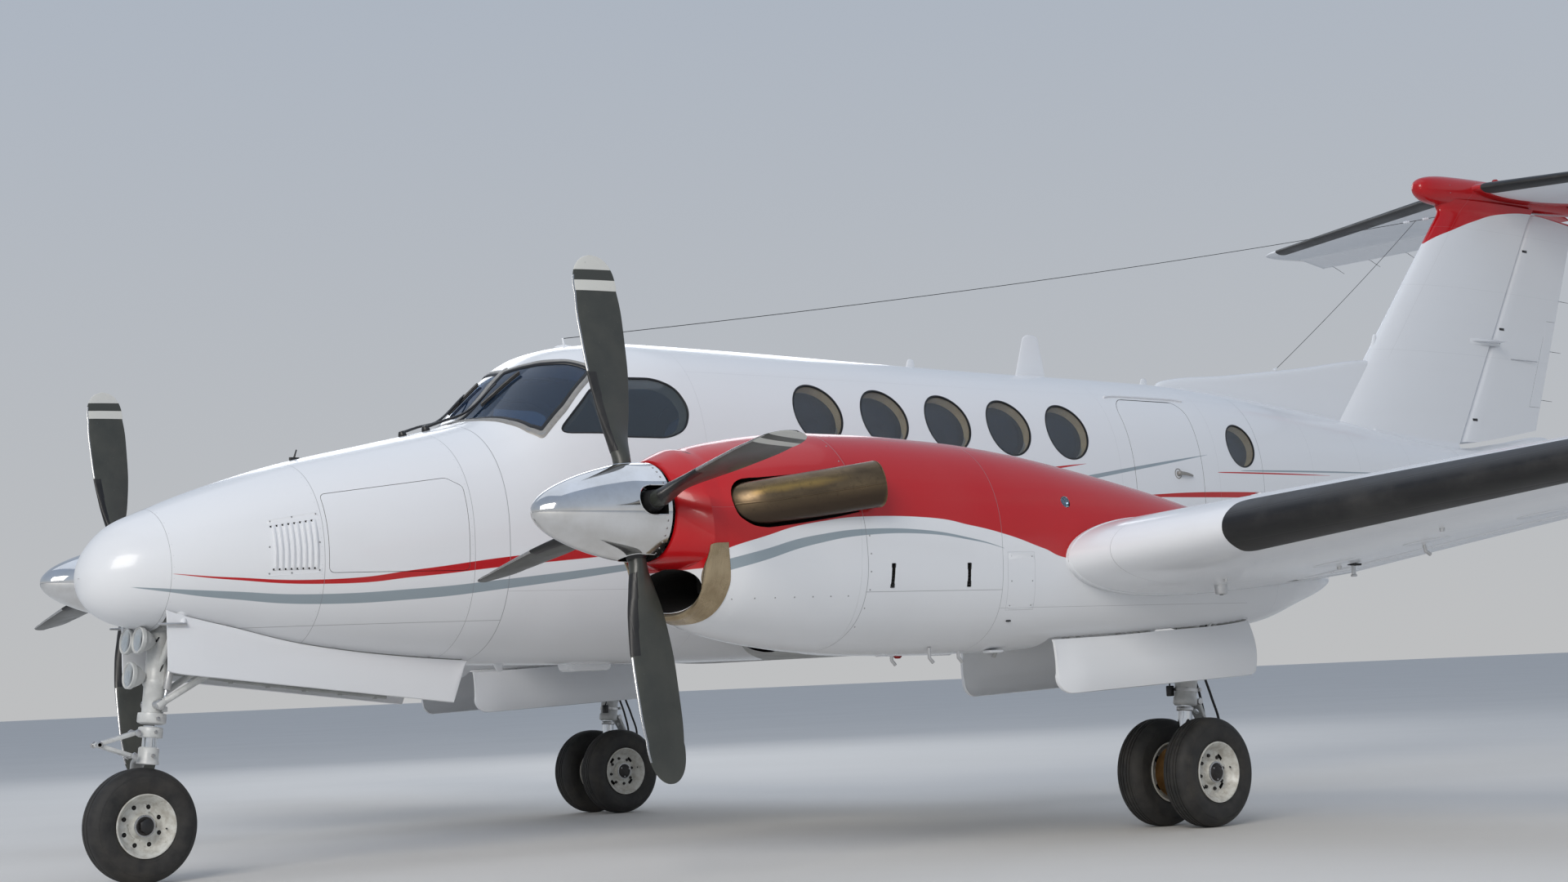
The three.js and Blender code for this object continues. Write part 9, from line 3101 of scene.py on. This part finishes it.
o = rounded([(.478, 1.456), (.748, 1.470), (.748, 1.775), (.500, 1.735)], .018, 5)
g.join(nplate(o, -.005, .0014, 0))
for k in range(8):
    s = .512 + .0285 * k
    z0, z1 = 1.485 + .0004 * k, 1.705 + .004 * k
    # every louvre: a thin plate of painted shade standing in for its open mouth in front, and a raised scoop behind it
    g.join(nplate(np.array([(s - .004, z0), (s + .008, z0), (s + .008, z1), (s - .004, z1)]), -.004, .0019, 1, .0003))
    rings = []
    for a, d in ((.0045, .0014), (.0030, .0105), (.0045, .0128), (.010, .0125), (.016, .0085), (.0215, .0030), (.0225, .0010), (.0225, -.002), (.0045, -.002)):
        zz = np.linspace(z0 - .002, z1 + .002, 13)
        taper = np.sin(np.clip(np.linspace(0, 1, 13) * math.pi, .0, math.pi))**.35
        rings.append(np.column_stack([fus_x(np.full(13, s + a), zz, 0) + (d * np.maximum(taper, .02) if d > 0 else d), np.full(13, s + a), zz]))
    rings = np.swapaxes(np.array(rings), 0, 1)
    g.join(outward(loft(rings, 0)))
for s, z in ((.492, 1.470), (.60, 1.472), (.735, 1.483), (.737, 1.762), (.62, 1.748), (.513, 1.727), (.495, 1.60), (.739, 1.62)):
    x = float(fus_x(s, z))
    n_ = unit(np.array((1, -.15, .10)))
    g.join(revolve([(0, -.004), (.0042, -.004), (.0042, .0020), (.0030, .0030), (0, .0024)], (x, s, z), n_, 12, 2))
# air data masts low on the nose sides
for s, z in ((.125, 1.285),):
    x = float(fus_x(s, z))
    root_ = np.array((x - .006, s, z))
    tipm = root_ + np.array((.050, -.012, -.045))
    g.join(tube(smooth_path([root_, root_ + np.array((.028, .000, -.022)), tipm], 12), np.linspace(.012, .0085, 12), 14, 0, 1.6, hint=(0, 1, 0)))
    g.join(rod(tipm + np.array((0, .018, 0)), tipm + np.array((0, -.105, .002)), .0085, .0062, 18, 3), rod(tipm + np.array((0, -.103, .002)), tipm + np.array((0, -.128, .002)), .0062, .0048, 16, 3, .1))
    g.join(revolve([(0, -.004), (.026, -.004), (.026, .003), (.016, .007), (0, .007)], (x, s, z), unit(np.array((.75, -.2, -.6))), 26, 0))
# static ports
for s, z in ((9.15, 2.02), (9.20, 2.02)):
    x = float(fus_x(s, z))
    g.join(revolve([(0, -.004), (.014, -.004), (.014, .0010), (.004, .0014), (.002, -.001), (0, -.001)], (x, s, z), (1, .08, 0), 24, 3))
both("nose_fittings_{side}", g, [MAT["white"], MAT["dark"], MAT["screw"], MAT["alu"]])
g = Geo()
s = .872
zt = float(fus_top(0, s))
g.join(loft([[(x, s + a, zt + z) for x, a in ((.006, -.020), (.007, 0), (.003, .030), (0, .034), (-.003, .030), (-.007, 0), (-.006, -.020), (0, -.026))] for z in (-.004, .012)], 0))
g = outward(g)
g.join(rod((0, s, zt), (0, s + .018, zt + .052), .0055, .0035, 12, 0))
# windscreen wipers: pivot, arm, blade with its rubber
for x0, s0_, tip, b0, b1 in ((-.020, 1.53, (-.20, 2.03), (-.15, 2.09), (-.24, 1.95)), (.020, 1.65, (.10, 2.045), (.215, 2.125), (.115, 1.94))):
    w = lambda x, s, d: np.array((x, s, float(fus_top(x, s, 0)) + d))
    p = w(x0, s0_, 0)
    g.join(revolve([(0, -.006), (.022, -.006), (.023, .006), (.019, .018), (.013, .028), (0, .030)], p, unit(np.array((0, -.35, .94))), 26, 0))
    mid = ((x0 + tip[0]) / 2, (s0_ + tip[1]) / 2)
    g.join(tube(smooth_path([w(x0, s0_, .020), w(x0 + (tip[0] - x0) * .25, s0_ + (tip[1] - s0_) * .25, .030), w(*mid, .030), w(*tip, .024)], 22), np.linspace(.0085, .0050, 22), 10, 0, 1.5, hint=(1, 0, 0)))
    bl = [w(b0[0] + (b1[0] - b0[0]) * k, b0[1] + (b1[1] - b0[1]) * k, .016) for k in np.linspace(0, 1, 16)]
    g.join(tube(bl, .0058, 8, 0, 1.3, hint=(0, 0, 1)))
    bl = [w(b0[0] + (b1[0] - b0[0]) * k, b0[1] + (b1[1] - b0[1]) * k, .0075) for k in np.linspace(0, 1, 16)]
    g.join(tube(bl, .0045, 8, 1, 1.8, hint=(0, 0, 1)))
piece("wipers", g, [MAT["black"], MAT["rubber"]])



for b in BLANK:
    bpy.data.materials.remove(b)



# ------------------------------------------------------------------- studio
def floor_material():
    g = Graph("floor_pale", (.78, .765, .74), .85)
    n = g.noise(.35, 5, .6)
    c = g.mix(n.ramp(.3, .7), (.72, .700, .665), (.695, .675, .640))
    g.bump(g.noise(40, 4, .6), .15, .002)
    return g.done(c, .85)


bm = bmesh.new()
bmesh.ops.create_circle(bm, cap_ends=True, cap_tris=False, segments=96, radius=260)
me = bpy.data.meshes.new("floor")
bm.to_mesh(me)
bm.free()
me.materials.append(floor_material())
floor = bpy.data.objects.new("floor", me)
bpy.context.scene.collection.objects.link(floor)

world = bpy.data.worlds.new("studio")
bpy.context.scene.world = world
world.use_nodes = True
nt = world.node_tree
nt.nodes.clear()
out = nt.nodes.new("ShaderNodeOutputWorld")
bg = nt.nodes.new("ShaderNodeBackground")
tc = nt.nodes.new("ShaderNodeTexCoord")
sep = nt.nodes.new("ShaderNodeSeparateXYZ")
ramp = nt.nodes.new("ShaderNodeValToRGB")
nt.links.new(tc.outputs["Generated"], sep.inputs[0])
nt.links.new(sep.outputs[2], ramp.inputs[0])
nt.links.new(ramp.outputs[0], bg.inputs[0])
nt.links.new(bg.outputs[0], out.inputs[0])
e = ramp.color_ramp.elements
e[0].position, e[0].color = 0.0, (.83, .84, .85, 1)
e[1].position, e[1].color = 1.0, (.50, .60, .78, 1)
k = ramp.color_ramp.elements.new(.30)
k.color = (.66, .74, .86, 1)
bg.inputs[1].default_value = .62


def area(name, at, to, size, power, color=(1, 1, 1)):
    l = bpy.data.lights.new(name, "AREA")
    l.shape, l.size, l.size_y, l.energy, l.color = "RECTANGLE", size[0], size[1], power, color
    o = bpy.data.objects.new(name, l)
    bpy.context.scene.collection.objects.link(o)
    o.location = (at[0], at[1] - S0, at[2])
    d = Vector((to[0] - at[0], to[1] - at[1], to[2] - at[2]))
    o.rotation_euler = d.to_track_quat("-Z", "Y").to_euler()
    return o


area("key", (17, -20, 15), (0, 4, 1.6), (15, 12), 4700, (1, .955, .89))
area("top", (-2, 5, 16), (0, 5, 0), (16, 20), 420, (.93, .96, 1))
area("rim", (-14, 12, 9), (0, 6, 2), (10, 6), 380, (.95, .97, 1))

# camera where the photograph was taken
AZ, EL, ROLL, FOCAL = math.radians(50.692), math.radians(5.514), math.radians(-2.525), 3016.272
fwd = Vector((-math.sin(AZ) * math.cos(EL), math.cos(AZ) * math.cos(EL), math.sin(EL)))
right0 = Vector((math.cos(AZ), math.sin(AZ), 0))
up0 = right0.cross(fwd)
right = right0 * math.cos(ROLL) + up0 * math.sin(ROLL)
up = -right0 * math.sin(ROLL) + up0 * math.cos(ROLL)
cam = bpy.data.cameras.new("camera")
cam.sensor_width, cam.lens = 36, FOCAL * 36 / 1920
cam.clip_start, cam.clip_end = .1, 600
co = bpy.data.objects.new("camera", cam)
bpy.context.scene.collection.objects.link(co)
m = Matrix((right, up, -fwd)).transposed().to_4x4()
m.translation = Vector((11.325, -5.146 - S0, .850))
co.matrix_world = m
bpy.context.scene.camera = co
bpy.context.scene.view_settings.view_transform = "Standard"
bpy.context.scene.view_settings.look = "None"
bpy.context.scene.view_settings.exposure = 0.0
